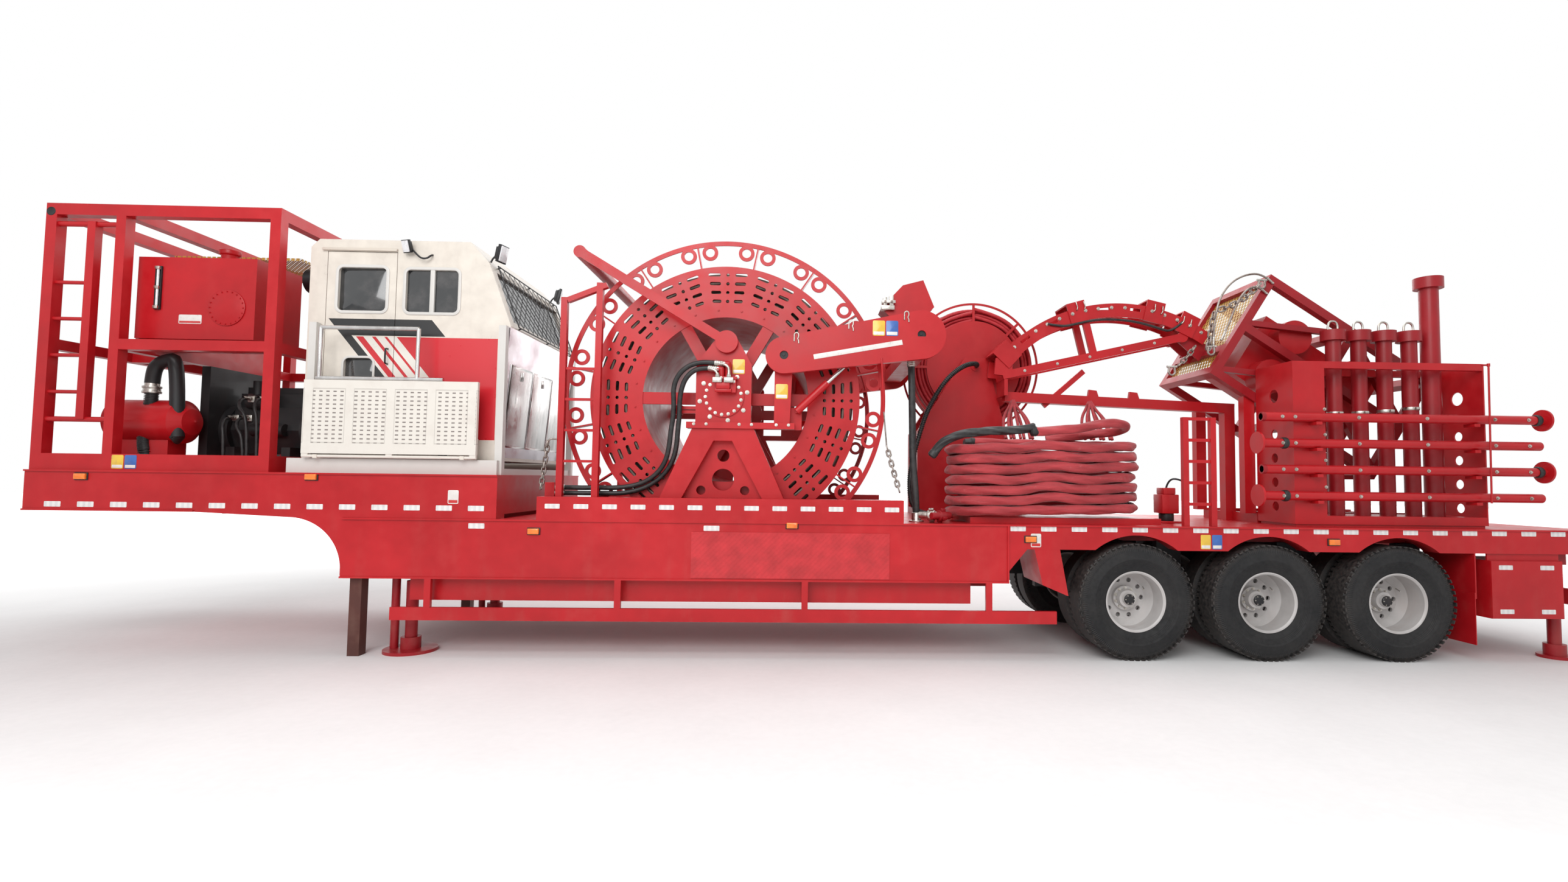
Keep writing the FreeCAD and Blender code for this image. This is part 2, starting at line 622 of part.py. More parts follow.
sizes(
    pack_length=2200, pack_width=2400, pack_bottom=1720, pack_top=4270, pack_post=100,
    pack_base_rail=154, pack_top_rail=110, pack_mid_rail_z=2870, pack_mid_post_x=655,
    pack_mid_post=90, ladder_post_x=390, ladder_post=75, pack_ladder_z=2200, pack_ladder_height=1900,
    pack_rung_z=2460, pack_rung_pitch=350, pack_high_bar_z=4080, rung_radius=18,
    tank_x=706, tank_length=1140, tank_bottom=3015, tank_top=3824, tank_side=1000, tank_depth=640,
    fuel_x=120, fuel_length=560, fuel_top=3730, fuel_side=340, fuel_depth=1240,
    receiver_x=200, receiver_length=850, receiver_radius=220, receiver_z=2220, receiver_side=650,
    engine_x=900, engine_length=1150, engine_width=840, engine_foot=90,
    crankcase_height=460, head_height=150, radiator_depth=90, cowl_depth=90, gearbox_length=110,
    turbo_radius=85, engine_top=2830,
    muffler_x=1450, muffler_length=650, muffler_radius=140, muffler_z=3960, muffler_side=350,
    grating_thickness=30, grating_length=1400, grating_width=1000,
)


def engine():
    """Crankcase, head, flywheel housing, radiator with its fan cowl, turbocharger and pumps."""
    foot = "pack_bottom + pack_base_rail"
    crank = f"({foot} + engine_foot + 0.45 * crankcase_height)"
    start = "(engine_x + radiator_depth + cowl_depth)"
    end = "(engine_x + engine_length - 2 * gearbox_length)"
    pieces = [
        box(f"engine_foot_{i}", ("engine_foot", "0.8 * engine_width", "engine_foot + 20"),
            (f"front + {x}", "-0.4 * engine_width", foot))
        for i, x in enumerate((f"{start} + 40", f"{end} - engine_foot - 40"))
    ]
    pieces.append(plate("crankcase", "YZ",
                        [
                            ("-0.16 * engine_width", f"{foot} + 0.5 * engine_foot"),
                            ("0.16 * engine_width", f"{foot} + 0.5 * engine_foot"),
                            ("0.28 * engine_width", crank),
                            ("0.2 * engine_width", f"{foot} + engine_foot + crankcase_height"),
                            ("-0.2 * engine_width", f"{foot} + engine_foot + crankcase_height"),
                            ("-0.28 * engine_width", crank),
                        ], f"{end} - {start}", f"front + {start}"))
    head = f"{foot} + engine_foot + crankcase_height"
    pieces.append(box("cylinder_head", (f"{end} - {start} - 60", "0.34 * engine_width", "head_height"),
                      (f"front + {start} + 30", "-0.17 * engine_width", head)))
    pieces.append(box("rocker_cover", (f"{end} - {start} - 120", "0.22 * engine_width", "0.5 * head_height"),
                      (f"front + {start} + 60", "-0.11 * engine_width", f"{head} + head_height")))
    pieces.append(cylinder("flywheel_housing", "0.33 * engine_width", "gearbox_length",
                           (f"front + {end}", "0", crank), "X"))
    pieces.append(cylinder("pump_gearbox", "0.22 * engine_width", "gearbox_length",
                           (f"front + {end} + gearbox_length", "0", crank), "X"))
    pieces.append(box("radiator", ("radiator_depth", "engine_width", f"engine_top - ({foot})"),
                      ("front + engine_x", "-engine_width / 2", foot)))
    pieces.append(cylinder("fan_cowl", "0.34 * engine_width", "cowl_depth",
                           ("front + engine_x + radiator_depth", "0", crank), "X"))
    pieces.append(cylinder("turbocharger", "turbo_radius", "3 * turbo_radius",
                           (f"front + {start} + 2 * turbo_radius", "-0.24 * engine_width",
                            f"{head} + 0.4 * head_height"), "X"))
    pieces.append(cylinder("exhaust_riser", "0.6 * turbo_radius", "2.6 * turbo_radius",
                           (f"front + {start} + 3 * turbo_radius", "-0.24 * engine_width",
                            f"{head} + 0.4 * head_height")))
    pieces.append(cylinder("side_pump", "0.8 * turbo_radius", "4 * turbo_radius",
                           (f"front + {start} + 3 * turbo_radius", "-0.3 * engine_width", crank), "X"))
    return pieces


def power_pack():
    side = "-pack_width / 2"
    tall = "pack_top - pack_bottom"
    pieces = []
    for i, x in enumerate(("0", "pack_length - pack_post")):
        pieces.append(box(f"pack_post_{i}", ("pack_post", "pack_post", tall),
                          (f"front + {x}", side, "pack_bottom")))
    pieces.append(box("pack_mid_post", ("pack_mid_post", "pack_post", tall),
                      ("front + pack_mid_post_x", side, "pack_bottom")))
    pieces.append(box("pack_base", ("pack_length", "pack_post", "pack_base_rail"),
                      ("front", side, "pack_bottom")))
    pieces.append(box("pack_top_side", ("pack_length", "pack_post", "pack_top_rail"),
                      ("front", side, "pack_top - pack_top_rail")))
    pieces.append(box("pack_mid_rail", ("pack_length - pack_mid_post_x", "pack_post", "pack_post"),
                      ("front + pack_mid_post_x", side, "pack_mid_rail_z")))
    ladder = [box("pack_ladder_post", ("ladder_post", "ladder_post", "pack_ladder_height"),
                  ("front + ladder_post_x", side, "pack_ladder_z"))]
    for i in range(4):
        ladder.append(cylinder(f"pack_rung_{i}", "rung_radius", "ladder_post_x",
                               ("front + pack_post / 2", side + " + ladder_post / 2",
                                f"pack_rung_z + {i} * pack_rung_pitch"), "X"))
    ladder.append(cylinder("pack_low_bar", "1.4 * rung_radius", "pack_mid_post_x",
                           ("front + pack_post / 2", side + " + ladder_post / 2", "pack_ladder_z"), "X"))
    ladder.append(cylinder("pack_high_bar", "1.4 * rung_radius", "pack_mid_post_x",
                           ("front + pack_post / 2", side + " + ladder_post / 2", "pack_high_bar_z"), "X"))
    across = []
    for i, (x, z, size) in enumerate((
        ("0", "pack_bottom", "pack_base_rail"), ("pack_length - pack_post", "pack_bottom", "pack_base_rail"),
        ("0", "pack_top - pack_top_rail", "pack_top_rail"),
        ("pack_length - pack_post", "pack_top - pack_top_rail", "pack_top_rail"),
        ("pack_mid_post_x", "pack_top - pack_top_rail", "pack_top_rail"),
        ("pack_mid_post_x", "pack_mid_rail_z", "pack_post"),
        ("pack_length - pack_post", "pack_mid_rail_z", "pack_post"),
        ("0", "pack_mid_rail_z", "pack_post"),
        ("engine_x", "pack_bottom", "pack_base_rail"),
        ("engine_x + engine_length - pack_post", "pack_bottom", "pack_base_rail"),
    )):
        across.append(box(f"pack_cross_{i}", ("pack_post", "pack_width", size), (f"front + {x}", side, z)))
    for i, y in enumerate(("-fuel_side", "fuel_depth - fuel_side - pack_post")):
        across.append(box(f"fuel_bearer_{i}", ("pack_mid_post_x", "pack_post", "pack_post"),
                          ("front", y, "pack_mid_rail_z")))
    node("power_pack_frame", joined("pack_cage", both_sides(pieces) + ladder + across))

    tank = box("tank_body", ("tank_length", "tank_depth", "tank_top - tank_bottom"),
               ("front + tank_x", "-tank_side", "tank_bottom"))
    feet = box("tank_feet", ("tank_length", "tank_depth - 100", "tank_bottom - pack_mid_rail_z - pack_post"),
               ("front + tank_x", "-tank_side + 50", "pack_mid_rail_z + pack_post"))
    fuel = box("fuel_body", ("fuel_length", "fuel_depth", "fuel_top - pack_mid_rail_z - pack_post"),
               ("front + fuel_x", "-fuel_side", "pack_mid_rail_z + pack_post"))
    receiver = turned("receiver_body",
                      [
                          ("0", "0"), ("receiver_length", "0"),
                          ("receiver_length - 30", "0.6 * receiver_radius"),
                          ("receiver_length - 110", "receiver_radius"), ("110", "receiver_radius"),
                          ("30", "0.6 * receiver_radius"),
                      ], ("0", "0"))
    receiver.Placement.Rotation = FreeCAD.Rotation(FreeCAD.Vector(0, 0, 1), -90)
    place(receiver, ("front + receiver_x", "-receiver_side", "receiver_z"))
    cradle = box("receiver_cradle", ("0.6 * receiver_length", "receiver_radius",
                                     "receiver_z - pack_bottom - seat_gap - 0.8 * receiver_radius"),
                 ("front + receiver_x + 0.2 * receiver_length", "-receiver_side - receiver_radius / 2",
                  "pack_bottom + seat_gap"))
    node("tanks", joined("tank_set", [tank, feet, fuel, receiver, cradle]))
    node("engine_block", joined("engine_set", engine()))
    silencer = cylinder("muffler_body", "muffler_radius", "muffler_length",
                        ("front + muffler_x", "muffler_side", "muffler_z"), "X")
    strap = box("muffler_strap", ("pack_post + 60", "80", "pack_top - pack_top_rail - muffler_z"),
                ("front + pack_length - pack_post - 60", "muffler_side - 40", "muffler_z"))
    node("exhaust_muffler", joined("muffler_set", [silencer, strap]))


# ---------------------------------------------------------------------------------------------
# Control cabin
# ---------------------------------------------------------------------------------------------

sizes(
    cabin_x=2363, cabin_back_x=4228, cabin_waist_x=4342, cabin_screen_top_x=4110,
    cabin_roof_x=3920, cabin_bottom=1860, door_stop=20, cabin_waist_z=3203, cabin_screen_top_z=3830,
    cabin_roof=4040, cabin_width=2000, cabin_wall=60, cabin_roof_corner=80,
    cabin_door_x=2527, cabin_door_length=683, cabin_door_bottom=2060, cabin_door_top=3920,
    cabin_door_gap=6, seat_gap=0.3, door_window_x=2644, door_window_length=464, door_window_z=3328,
    door_window_height=431, low_window_x=2730, low_window_length=280, low_window_z=2560,
    low_window_height=295, side_window_x=3303, side_window_length=510, side_window_z=3324,
    side_window_height=423, glass_thickness=6, glass_gap=0.3, screen_margin=120, screen_inset=60,
    base_front_x=2320, base_rear_x=4310, base_height=62, base_rail_width=100,
    lift_post_width=70, lift_post_top=3190, lift_front_x=2435, lift_rear_x=4262,
    lift_post_gap=15, platform_x=2490, platform_length=1640, platform_bottom=1905,
    platform_top=2610, platform_thickness=40, platform_side=1200, platform_hinge_z=1880,
    hinge_bar_radius=15, platform_arm_inset=110, platform_arm_width=40, platform_arm_height=35,
    handrail_radius=19, handrail_top=3120, handrail_gap=0.3,
    handrail_inset=125, handrail_length=925, handrail_foot_inset=100, handrail_foot_length=1200,
)


def cabin_outline(inset):
    return [
        (f"front + cabin_x + {inset}", f"cabin_bottom + {inset}"),
        (f"front + cabin_back_x - {inset}", f"cabin_bottom + {inset}"),
        (f"front + cabin_waist_x - {inset}", f"cabin_waist_z"),
        (f"front + cabin_screen_top_x - {inset}", f"cabin_screen_top_z - {inset} / 3"),
        (f"front + cabin_roof_x - {inset} / 2", f"cabin_roof - {inset}"),
        (f"front + cabin_x + cabin_roof_corner", f"cabin_roof - {inset}"),
        (f"front + cabin_x + {inset}", f"cabin_roof - cabin_roof_corner"),
    ]


def rectangle(x, length, z, height):
    """Corners of a rectangle on the XZ plane, with x measured from the gooseneck's front."""
    return [
        (f"front + {x}", z), (f"front + {x} + {length}", z),
        (f"front + {x} + {length}", f"{z} + {height}"), (f"front + {x}", f"{z} + {height}"),
    ]


def cabin():
    side = "-cabin_width / 2"
    outer = plate("cabin_outside", "XZ", cabin_outline("0"), "cabin_width", side)
    inner = plate("cabin_inside", "XZ", cabin_outline("cabin_wall"), "cabin_width - 2 * cabin_wall",
                  side + " + cabin_wall")
    openings = [
        box("door_opening", ("cabin_door_length", "cabin_wall + 4", "cabin_door_top - cabin_door_bottom"),
            ("front + cabin_door_x", side + " - 2", "cabin_door_bottom")),
        box("side_window_opening", ("side_window_length", "cabin_width + 4", "side_window_height"),
            ("front + side_window_x", side + " - 2", "side_window_z")),
        plate("screen_opening", "XZ",
              [
                  ("front + cabin_waist_x - 200", "cabin_waist_z + screen_inset"),
                  ("front + cabin_waist_x + 50", "cabin_waist_z + screen_inset"),
                  ("front + cabin_waist_x + 50", "cabin_screen_top_z - screen_inset"),
                  ("front + cabin_screen_top_x - 200", "cabin_screen_top_z - screen_inset"),
              ], "cabin_width - 2 * screen_margin", side + " + screen_margin"),
    ]
    hollow = cut("cabin_hollow", outer, [inner])
    walls = cut("cabin_walls", hollow, openings)
    stop = plate("door_stop_frame", "XZ",
                 rectangle("cabin_door_x - door_stop", "cabin_door_length + 2 * door_stop",
                           "cabin_door_bottom - door_stop",
                           "cabin_door_top - cabin_door_bottom + 2 * door_stop"),
                 "door_stop", side + " + cabin_wall + seat_gap",
                 windows=[rectangle("cabin_door_x + door_stop", "cabin_door_length - 2 * door_stop",
                                    "cabin_door_bottom + door_stop",
                                    "cabin_door_top - cabin_door_bottom - 2 * door_stop")])
    stop_seat = plate("door_stop_seat", "XZ",
                      rectangle("cabin_door_x - door_stop", "cabin_door_length + 2 * door_stop",
                                "cabin_door_bottom - door_stop",
                                "cabin_door_top - cabin_door_bottom + 2 * door_stop"),
                      "door_stop", side + " + cabin_wall - 1",
                      windows=[rectangle("cabin_door_x", "cabin_door_length", "cabin_door_bottom",
                                         "cabin_door_top - cabin_door_bottom")])
    arms = [
        cut(f"platform_arm_{i}",
            box(f"platform_arm_body_{i}", ("platform_arm_width", "platform_side - cabin_width / 2 + 1",
                                           "platform_arm_height"),
                (f"front + platform_x + {x}", "-platform_side", "cabin_bottom")),
            [cylinder(f"platform_arm_bore_{i}", "hinge_bar_radius + bearing_gap", "100",
                      (f"front + platform_x + {x} - 20", "-platform_side + platform_thickness / 2",
                       "platform_hinge_z"), "X")])
        for i, x in enumerate(("platform_arm_inset",
                               "platform_length - platform_arm_inset - platform_arm_width"))
    ]
    node("cabin_shell", joined("cabin_weldment", [walls, stop, stop_seat] + arms))

    leaf = box("door_leaf",
               ("cabin_door_length - 2 * cabin_door_gap", "cabin_wall",
                "cabin_door_top - cabin_door_bottom - 2 * cabin_door_gap"),
               ("front + cabin_door_x + cabin_door_gap", side, "cabin_door_bottom + cabin_door_gap"))
    holes = [
        box("door_window_opening", ("door_window_length", "cabin_wall + 4", "door_window_height"),
            ("front + door_window_x", side + " - 2", "door_window_z")),
        box("low_window_opening", ("low_window_length", "cabin_wall + 4", "low_window_height"),
            ("front + low_window_x", side + " - 2", "low_window_z")),
    ]
    node("cabin_door", cut("door_panel", leaf, holes))

    side_pane = box("side_pane", ("side_window_length - 2 * glass_gap", "glass_thickness",
                                  "side_window_height - 2 * glass_gap"),
                    ("front + side_window_x + glass_gap", side + " + 25", "side_window_z + glass_gap"))
    screen = bar("screen_pane",
                 ("front + cabin_waist_x - 55", "cabin_waist_z + screen_inset + 1.5"),
                 ("front + cabin_screen_top_x - 9", "cabin_screen_top_z - screen_inset - 1.5"),
                 "glass_thickness", "cabin_width - 2 * screen_margin - 2 * glass_gap",
                 side + " + screen_margin + glass_gap")
    node("cabin_glazing", joined("pane_set", both_sides([side_pane]) + [screen]))

    rail = box("base_rail",
               ("base_rear_x - base_front_x", "base_rail_width", "cabin_bottom - goose_deck - seat_gap"),
               ("front + base_front_x", "-platform_side + 60", "goose_deck"))
    posts = [
        box(f"lift_post_{i}", ("lift_post_width", "lift_post_width", "lift_post_top - goose_deck"),
            (f"front + {x}", side + " - lift_post_width - lift_post_gap", "goose_deck"))
        for i, x in enumerate(("lift_front_x", "lift_rear_x"))
    ]
    across = [
        box(f"base_cross_{i}", ("base_rail_width", "2 * platform_side - 200", "base_height"),
            (f"front + {x}", "-platform_side + 100", "goose_deck"))
        for i, x in enumerate(("base_front_x", "(base_front_x + base_rear_x) / 2",
                               "base_rear_x - base_rail_width"))
    ]
    node("cabin_base", joined("base_frame", both_sides([rail] + posts) + across))

    panel = box("platform_panel", ("platform_length", "platform_thickness",
                                   "platform_top - platform_bottom"),
                ("front + platform_x", "-platform_side", "platform_bottom"))
    hinge_bar = cylinder("platform_hinge_bar", "hinge_bar_radius", "platform_length",
                         ("front + platform_x", "-platform_side + platform_thickness / 2",
                          "platform_hinge_z"), "X")
    lugs = [
        box(f"platform_lug_{i}", ("60", "2 * hinge_bar_radius", "platform_bottom - platform_hinge_z + 1"),
            (f"front + platform_x + {x}", "-platform_side + platform_thickness / 2 - hinge_bar_radius",
             "platform_hinge_z"))
        for i, x in enumerate(("0", "(platform_length - 60) / 2", "platform_length - 60"))
    ]
    node("side_platform", joined("platform_frame", [panel, hinge_bar] + lugs))
    rail_bottom = "(platform_top + handrail_radius + handrail_gap)"
    uprights = [
        cylinder(f"handrail_post_{i}", "handrail_radius", f"handrail_top - {rail_bottom}",
                 (f"front + platform_x + {x}", "-platform_side + platform_thickness / 2", rail_bottom))
        for i, x in enumerate(("handrail_inset", "handrail_inset + handrail_length"))
    ]
    top = cylinder("handrail_top_bar", "handrail_radius", "handrail_length",
                   ("front + platform_x + handrail_inset", "-platform_side + platform_thickness / 2",
                    "handrail_top"), "X")
    foot = cylinder("handrail_foot_bar", "handrail_radius", "handrail_foot_length",
                    ("front + platform_x + handrail_foot_inset", "-platform_side + platform_thickness / 2",
                     rail_bottom), "X")
    node("platform_handrail", joined("handrail_frame", uprights + [top, foot]))


# ---------------------------------------------------------------------------------------------
# Main reel
# ---------------------------------------------------------------------------------------------

sizes(
    skid_x=4742, skid_length=3503, skid_rail_height=220, skid_rail_width=180,
    reel_x=6480, reel_z=2510, rim_radius_out=1610, rim_depth=45, disc_radius=1350,
    disc_inner_radius=850, disc_thickness=14, flange_side=950, flange_depth=90,
    barrel_wall=20, spoke_count=16, spoke_thickness=14, window_rows=4,
    window_first_radius=994, window_row_pitch=90, window_half=28, window_half_step=5.5,
    window_share=0.108, window_slot_radius=17, lug_radius=80, lug_hole_radius=45,
    lug_pitch_radius=1500, lug_angle=4.2, axle_radius=110, reel_hub_radius=260,
    wrap_radius=1285, wrap_gap=4, bearing_running_gap=0.3,
    stand_side=1150, stand_thickness=110, stand_foot_x=600, stand_foot_width=210,
    stand_top_half=300, stand_crown=120, bearing_plate_z=2200, bearing_plate_thickness=60,
    bearing_plate_front_x=6126, bearing_plate_rear_x=7178, housing_half=270, housing_top=2830,
    hold_pivot_x=6504, hold_pivot_z=3048, arm_pivot_x=7067, arm_pivot_z=2920,
    arm_post_x=6976, arm_post_width=154, pivot_pin_radius=45,
    arm_head_x=8413, arm_head_z=3145, arm_root_radius=180, arm_head_radius=240,
    arm_thickness=70, arm_side=1230, arm_recess_radius=42, arm_recess_depth=30,
    cylinder_foot_x=7197, cylinder_foot_z=2381, cylinder_eye_x=7683, cylinder_eye_z=2850,
    lift_pin_radius=15, lift_eye_radius=36, lift_eye_play=3.6, lift_offset=1095,
    cylinder_radius=38, cylinder_rod_radius=20, cylinder_split=0.62,
    web_head_inset=100, web_foot_inset=150, web_thickness=20, web_hole_z=1700, web_hole_radius=108,
    web_side_hole_x=215,
    web_side_hole_z=1595, web_side_hole_radius=45, web_top_hole_z=1937, web_top_hole_radius=60,
    stand_rung_z=1850, stand_rung_pitch=300, head_slide_radius=35, head_width=330,
    head_bottom=3420, head_top=3870,
    bearing_cover_radius=200, bearing_cover_thickness=14, hose_diameter=48, spigot_gap=3.2, valve_x=5980,
    valve_side=-1058, valve_z=2381, valve_size=90, valve_bar=30, swivel_x=6425, swivel_length=180,
    swivel_depth=80, swivel_z=2545, swivel_height=130, manifold_length=92, manifold_width=92,
    manifold_height=135,
    head_rest_side=400, ladder_front_x=4890, ladder_rear_x=5230, ladder_bar=60,
    ladder_tall_z=3460, ladder_short_z=2790, hold_tip_x=5060, hold_tip_z=3910,
    hold_bar_depth=90, hold_bar_thickness=30, hold_roller_radius=60, hold_boss_radius=110,
)
reel_at = ("front + reel_x", "reel_z")
hoses = {
    "reel_hose_outer": [
        (6477, -1200, 2827), (6353, -1200, 2841), (6230, -1200, 2836), (6116, -1195, 2790),
        (6031, -1185, 2701), (5992, -1170, 2579), (5998, -1150, 2448), (5994, -1140, 2315),
        (5971, -1130, 2167), (5956, -1105, 2025), (5920, -1065, 1882), (5835, -1025, 1756),
        (5703, -1000, 1664), (5551, -996, 1620), (5385, -995, 1605), (5240, -994, 1609),
        (5100, -996, 1603), (4965, -995, 1607), (4835, -995, 1604),
    ],
    "reel_hose_inner": [
        (6416, -1205, 2774), (6307, -1205, 2786), (6197, -1200, 2764), (6115, -1190, 2686),
        (6071, -1170, 2579), (6053, -1150, 2457), (6054, -1140, 2329), (6039, -1125, 2187),
        (6027, -1095, 2040), (5991, -1055, 1892), (5906, -1015, 1756), (5780, -996, 1649),
        (5629, -994, 1581), (5458, -995, 1551), (5300, -996, 1556), (5145, -995, 1550),
        (4988, -996, 1553), (4835, -995, 1550),
    ],
}


def reel_skid():
    side = "-" + half
    rail = box("skid_rail", ("skid_length", "skid_rail_width", "skid_rail_height"),
               ("front + skid_x", side, "deck_height"))
    ends = [
        box(f"skid_cross_{i}", ("well_front_x - skid_x - 20", "trailer_width - 2", "skid_rail_height - 60"),
            (f"front + {x}", side + " + 1", "deck_height"))
        for i, x in enumerate(("skid_x", "skid_x + skid_length - (well_front_x - skid_x - 20)"))
    ]
    manifold = box("hose_manifold", ("manifold_length", "manifold_width", "manifold_height"),
                   ("front + skid_x", "-flange_side - manifold_width", "deck_height + skid_rail_height"))
    node("reel_skid", joined("skid_frame", both_sides([rail]) + ends + [manifold]))


def reel_stand():
    skid_top = "deck_height + skid_rail_height"
    side = "-stand_side"
    foot = "front + reel_x - stand_foot_x"
    foot_end = "front + reel_x + stand_foot_x"
    top = "front + reel_x - stand_top_half"
    top_end = "front + reel_x + stand_top_half"
    legs = plate("stand_legs", "XZ",
                 [
                     (foot, skid_top), (foot + " + stand_foot_width", skid_top),
                     (top + " + stand_foot_width", "bearing_plate_z - stand_crown"),
                     (top_end + " - stand_foot_width", "bearing_plate_z - stand_crown"),
                     (foot_end + " - stand_foot_width", skid_top), (foot_end, skid_top),
                     (top_end, "bearing_plate_z"), (top, "bearing_plate_z"),
                 ], "stand_thickness", side)
    web = plate("stand_web", "XZ",
                [
                    (foot + " + web_foot_inset", skid_top), (foot_end + " - web_foot_inset", skid_top),
                    (top_end + " - web_head_inset", "bearing_plate_z"),
                    (top + " + web_head_inset", "bearing_plate_z"),
                ], "web_thickness", side + " + stand_thickness - web_thickness",
                holes=[("front + reel_x", "web_hole_z", "web_hole_radius"),
                       ("front + reel_x - web_side_hole_x", "web_side_hole_z", "web_side_hole_radius"),
                       ("front + reel_x + web_side_hole_x", "web_side_hole_z", "web_side_hole_radius"),
                       ("front + reel_x", "web_top_hole_z", "web_top_hole_radius")])
    shelf = box("bearing_shelf",
                ("bearing_plate_rear_x - bearing_plate_front_x", "stand_thickness + 30",
                 "bearing_plate_thickness"),
                ("front + bearing_plate_front_x", side + " - 30", "bearing_plate_z"))
    housing = plate("bearing_housing", "XZ",
                    [
                        ("front + reel_x - housing_half", "bearing_plate_z + bearing_plate_thickness"),
                        ("front + reel_x + housing_half", "bearing_plate_z + bearing_plate_thickness"),
                        ("front + reel_x + housing_half", "housing_top"),
                        ("front + hold_pivot_x + 90", "hold_pivot_z + 60"),
                        ("front + hold_pivot_x - 90", "hold_pivot_z + 60"),
                        ("front + reel_x - housing_half", "housing_top"),
                    ], "stand_thickness", side,
                    holes=[("front + reel_x", "reel_z", "axle_radius + bearing_running_gap"),
                           ("front + hold_pivot_x", "hold_pivot_z",
                            "pivot_pin_radius + bearing_running_gap")])
    cover = cylinder("bearing_cover", "bearing_cover_radius", "bearing_cover_thickness",
                     ("front + reel_x", side + " - bearing_cover_thickness", "reel_z"), "Y")
    post = plate("arm_post", "XZ",
                 [
                     ("front + arm_post_x", "bearing_plate_z + bearing_plate_thickness"),
                     ("front + arm_post_x + arm_post_width", "bearing_plate_z + bearing_plate_thickness"),
                     ("front + arm_pivot_x + 90", "arm_pivot_z + 90"),
                     ("front + arm_pivot_x - 90", "arm_pivot_z + 90"),
                 ], "stand_thickness", side,
                 holes=[("front + arm_pivot_x", "arm_pivot_z",
                         "pivot_pin_radius + bearing_running_gap")])
    cylinder_ear = plate("cylinder_ear", "XZ",
                         [
                             ("front + arm_post_x + arm_post_width - 10",
                              "bearing_plate_z + bearing_plate_thickness"),
                             ("front + cylinder_foot_x + 50",
                              "bearing_plate_z + bearing_plate_thickness"),
                             ("front + cylinder_foot_x + 50", "cylinder_foot_z + 40"),
                             ("front + arm_post_x + arm_post_width - 10", "cylinder_foot_z + 40"),
                         ], "20", side + " + 100",
                         holes=[("front + cylinder_foot_x", "cylinder_foot_z",
                                 "lift_pin_radius + bearing_running_gap")])
    ear_base = box("ear_base", ("cylinder_foot_x + 50 - bearing_plate_rear_x", "20",
                                "bearing_plate_thickness"),
                   ("front + bearing_plate_rear_x", side + " + 100", "bearing_plate_z"))
    valves = [
        box("valve_block", ("valve_size", "valve_size", "valve_size"),
            ("front + valve_x", "valve_side - valve_size / 2", "valve_z - valve_size / 2")),
        box("swivel_body", ("swivel_length", "swivel_depth", "swivel_height"),
            ("front + swivel_x", side + " - swivel_depth", "swivel_z")),
        box("swivel_cap", ("1.15 * swivel_length", "1.1 * swivel_depth", "0.2 * swivel_height"),
            ("front + swivel_x - 0.1 * swivel_length", side + " - 1.1 * swivel_depth",
             "swivel_z + swivel_height - 1")),
    ]
    for i, rise in enumerate(("-0.35", "0.1")):
        valves.append(box(f"valve_bracket_{i}",
                          ("reel_x - housing_half + 10 - valve_x", "valve_bar", "valve_bar"),
                          ("front + valve_x", "valve_side - valve_bar / 2",
                           f"valve_z + {rise} * valve_size")))
    for name, route in hoses.items():
        x, y, z = route[0]
        drop = f"{z} - swivel_z - swivel_height"
        valves.append(cylinder(f"{name}_elbow", "0.6 * hose_diameter", drop,
                               (f"front + {x} + hose_diameter", str(y), "swivel_z + swivel_height")))
        valves.append(cylinder(f"{name}_spigot", "0.6 * hose_diameter", "hose_diameter - spigot_gap",
                               (f"front + {x} + spigot_gap", str(y), str(z)), "X"))
        valves.append(doc.addObject("Part::Sphere", f"{name}_corner"))
        bind(valves[-1], Radius="0.6 * hose_diameter")
        place(valves[-1], (f"front + {x} + hose_diameter", str(y), str(z)))
    ladder = [
        box("ladder_tall", ("ladder_bar", "ladder_bar", "ladder_tall_z - (" + skid_top + ")"),
            ("front + ladder_front_x", side + " - ladder_bar / 2", skid_top)),
        box("ladder_short", ("ladder_bar", "ladder_bar", "ladder_short_z - (" + skid_top + ")"),
            ("front + ladder_rear_x", side + " - ladder_bar / 2", skid_top)),
    ]
    for i in range(4):
        ladder.append(box(f"ladder_rung_{i}", ("ladder_rear_x - ladder_front_x", "ladder_bar / 2", "25"),
                          ("front + ladder_front_x", side + " - ladder_bar / 4",
                           f"stand_rung_z + {i} * stand_rung_pitch")))
    ladder.append(bar("ladder_brace", ("front + ladder_front_x + 60", "ladder_tall_z - 26"),
                      ("front + ladder_rear_x + 97", "3700 - hold_bar_depth - 20"), "50", "ladder_bar",
                      side + " - ladder_bar / 2"))
    ladder.append(box("ladder_top_post", ("ladder_bar", "ladder_bar", "3610 - ladder_short_z"),
                      ("front + ladder_rear_x", side + " - ladder_bar / 2", "ladder_short_z")))
    node("reel_stand", joined("stand_set", both_sides(
        [legs, web, shelf, housing, cover, post, cylinder_ear, ear_base] + ladder) + valves))
    for name, route in hoses.items():
        hose(name, route)


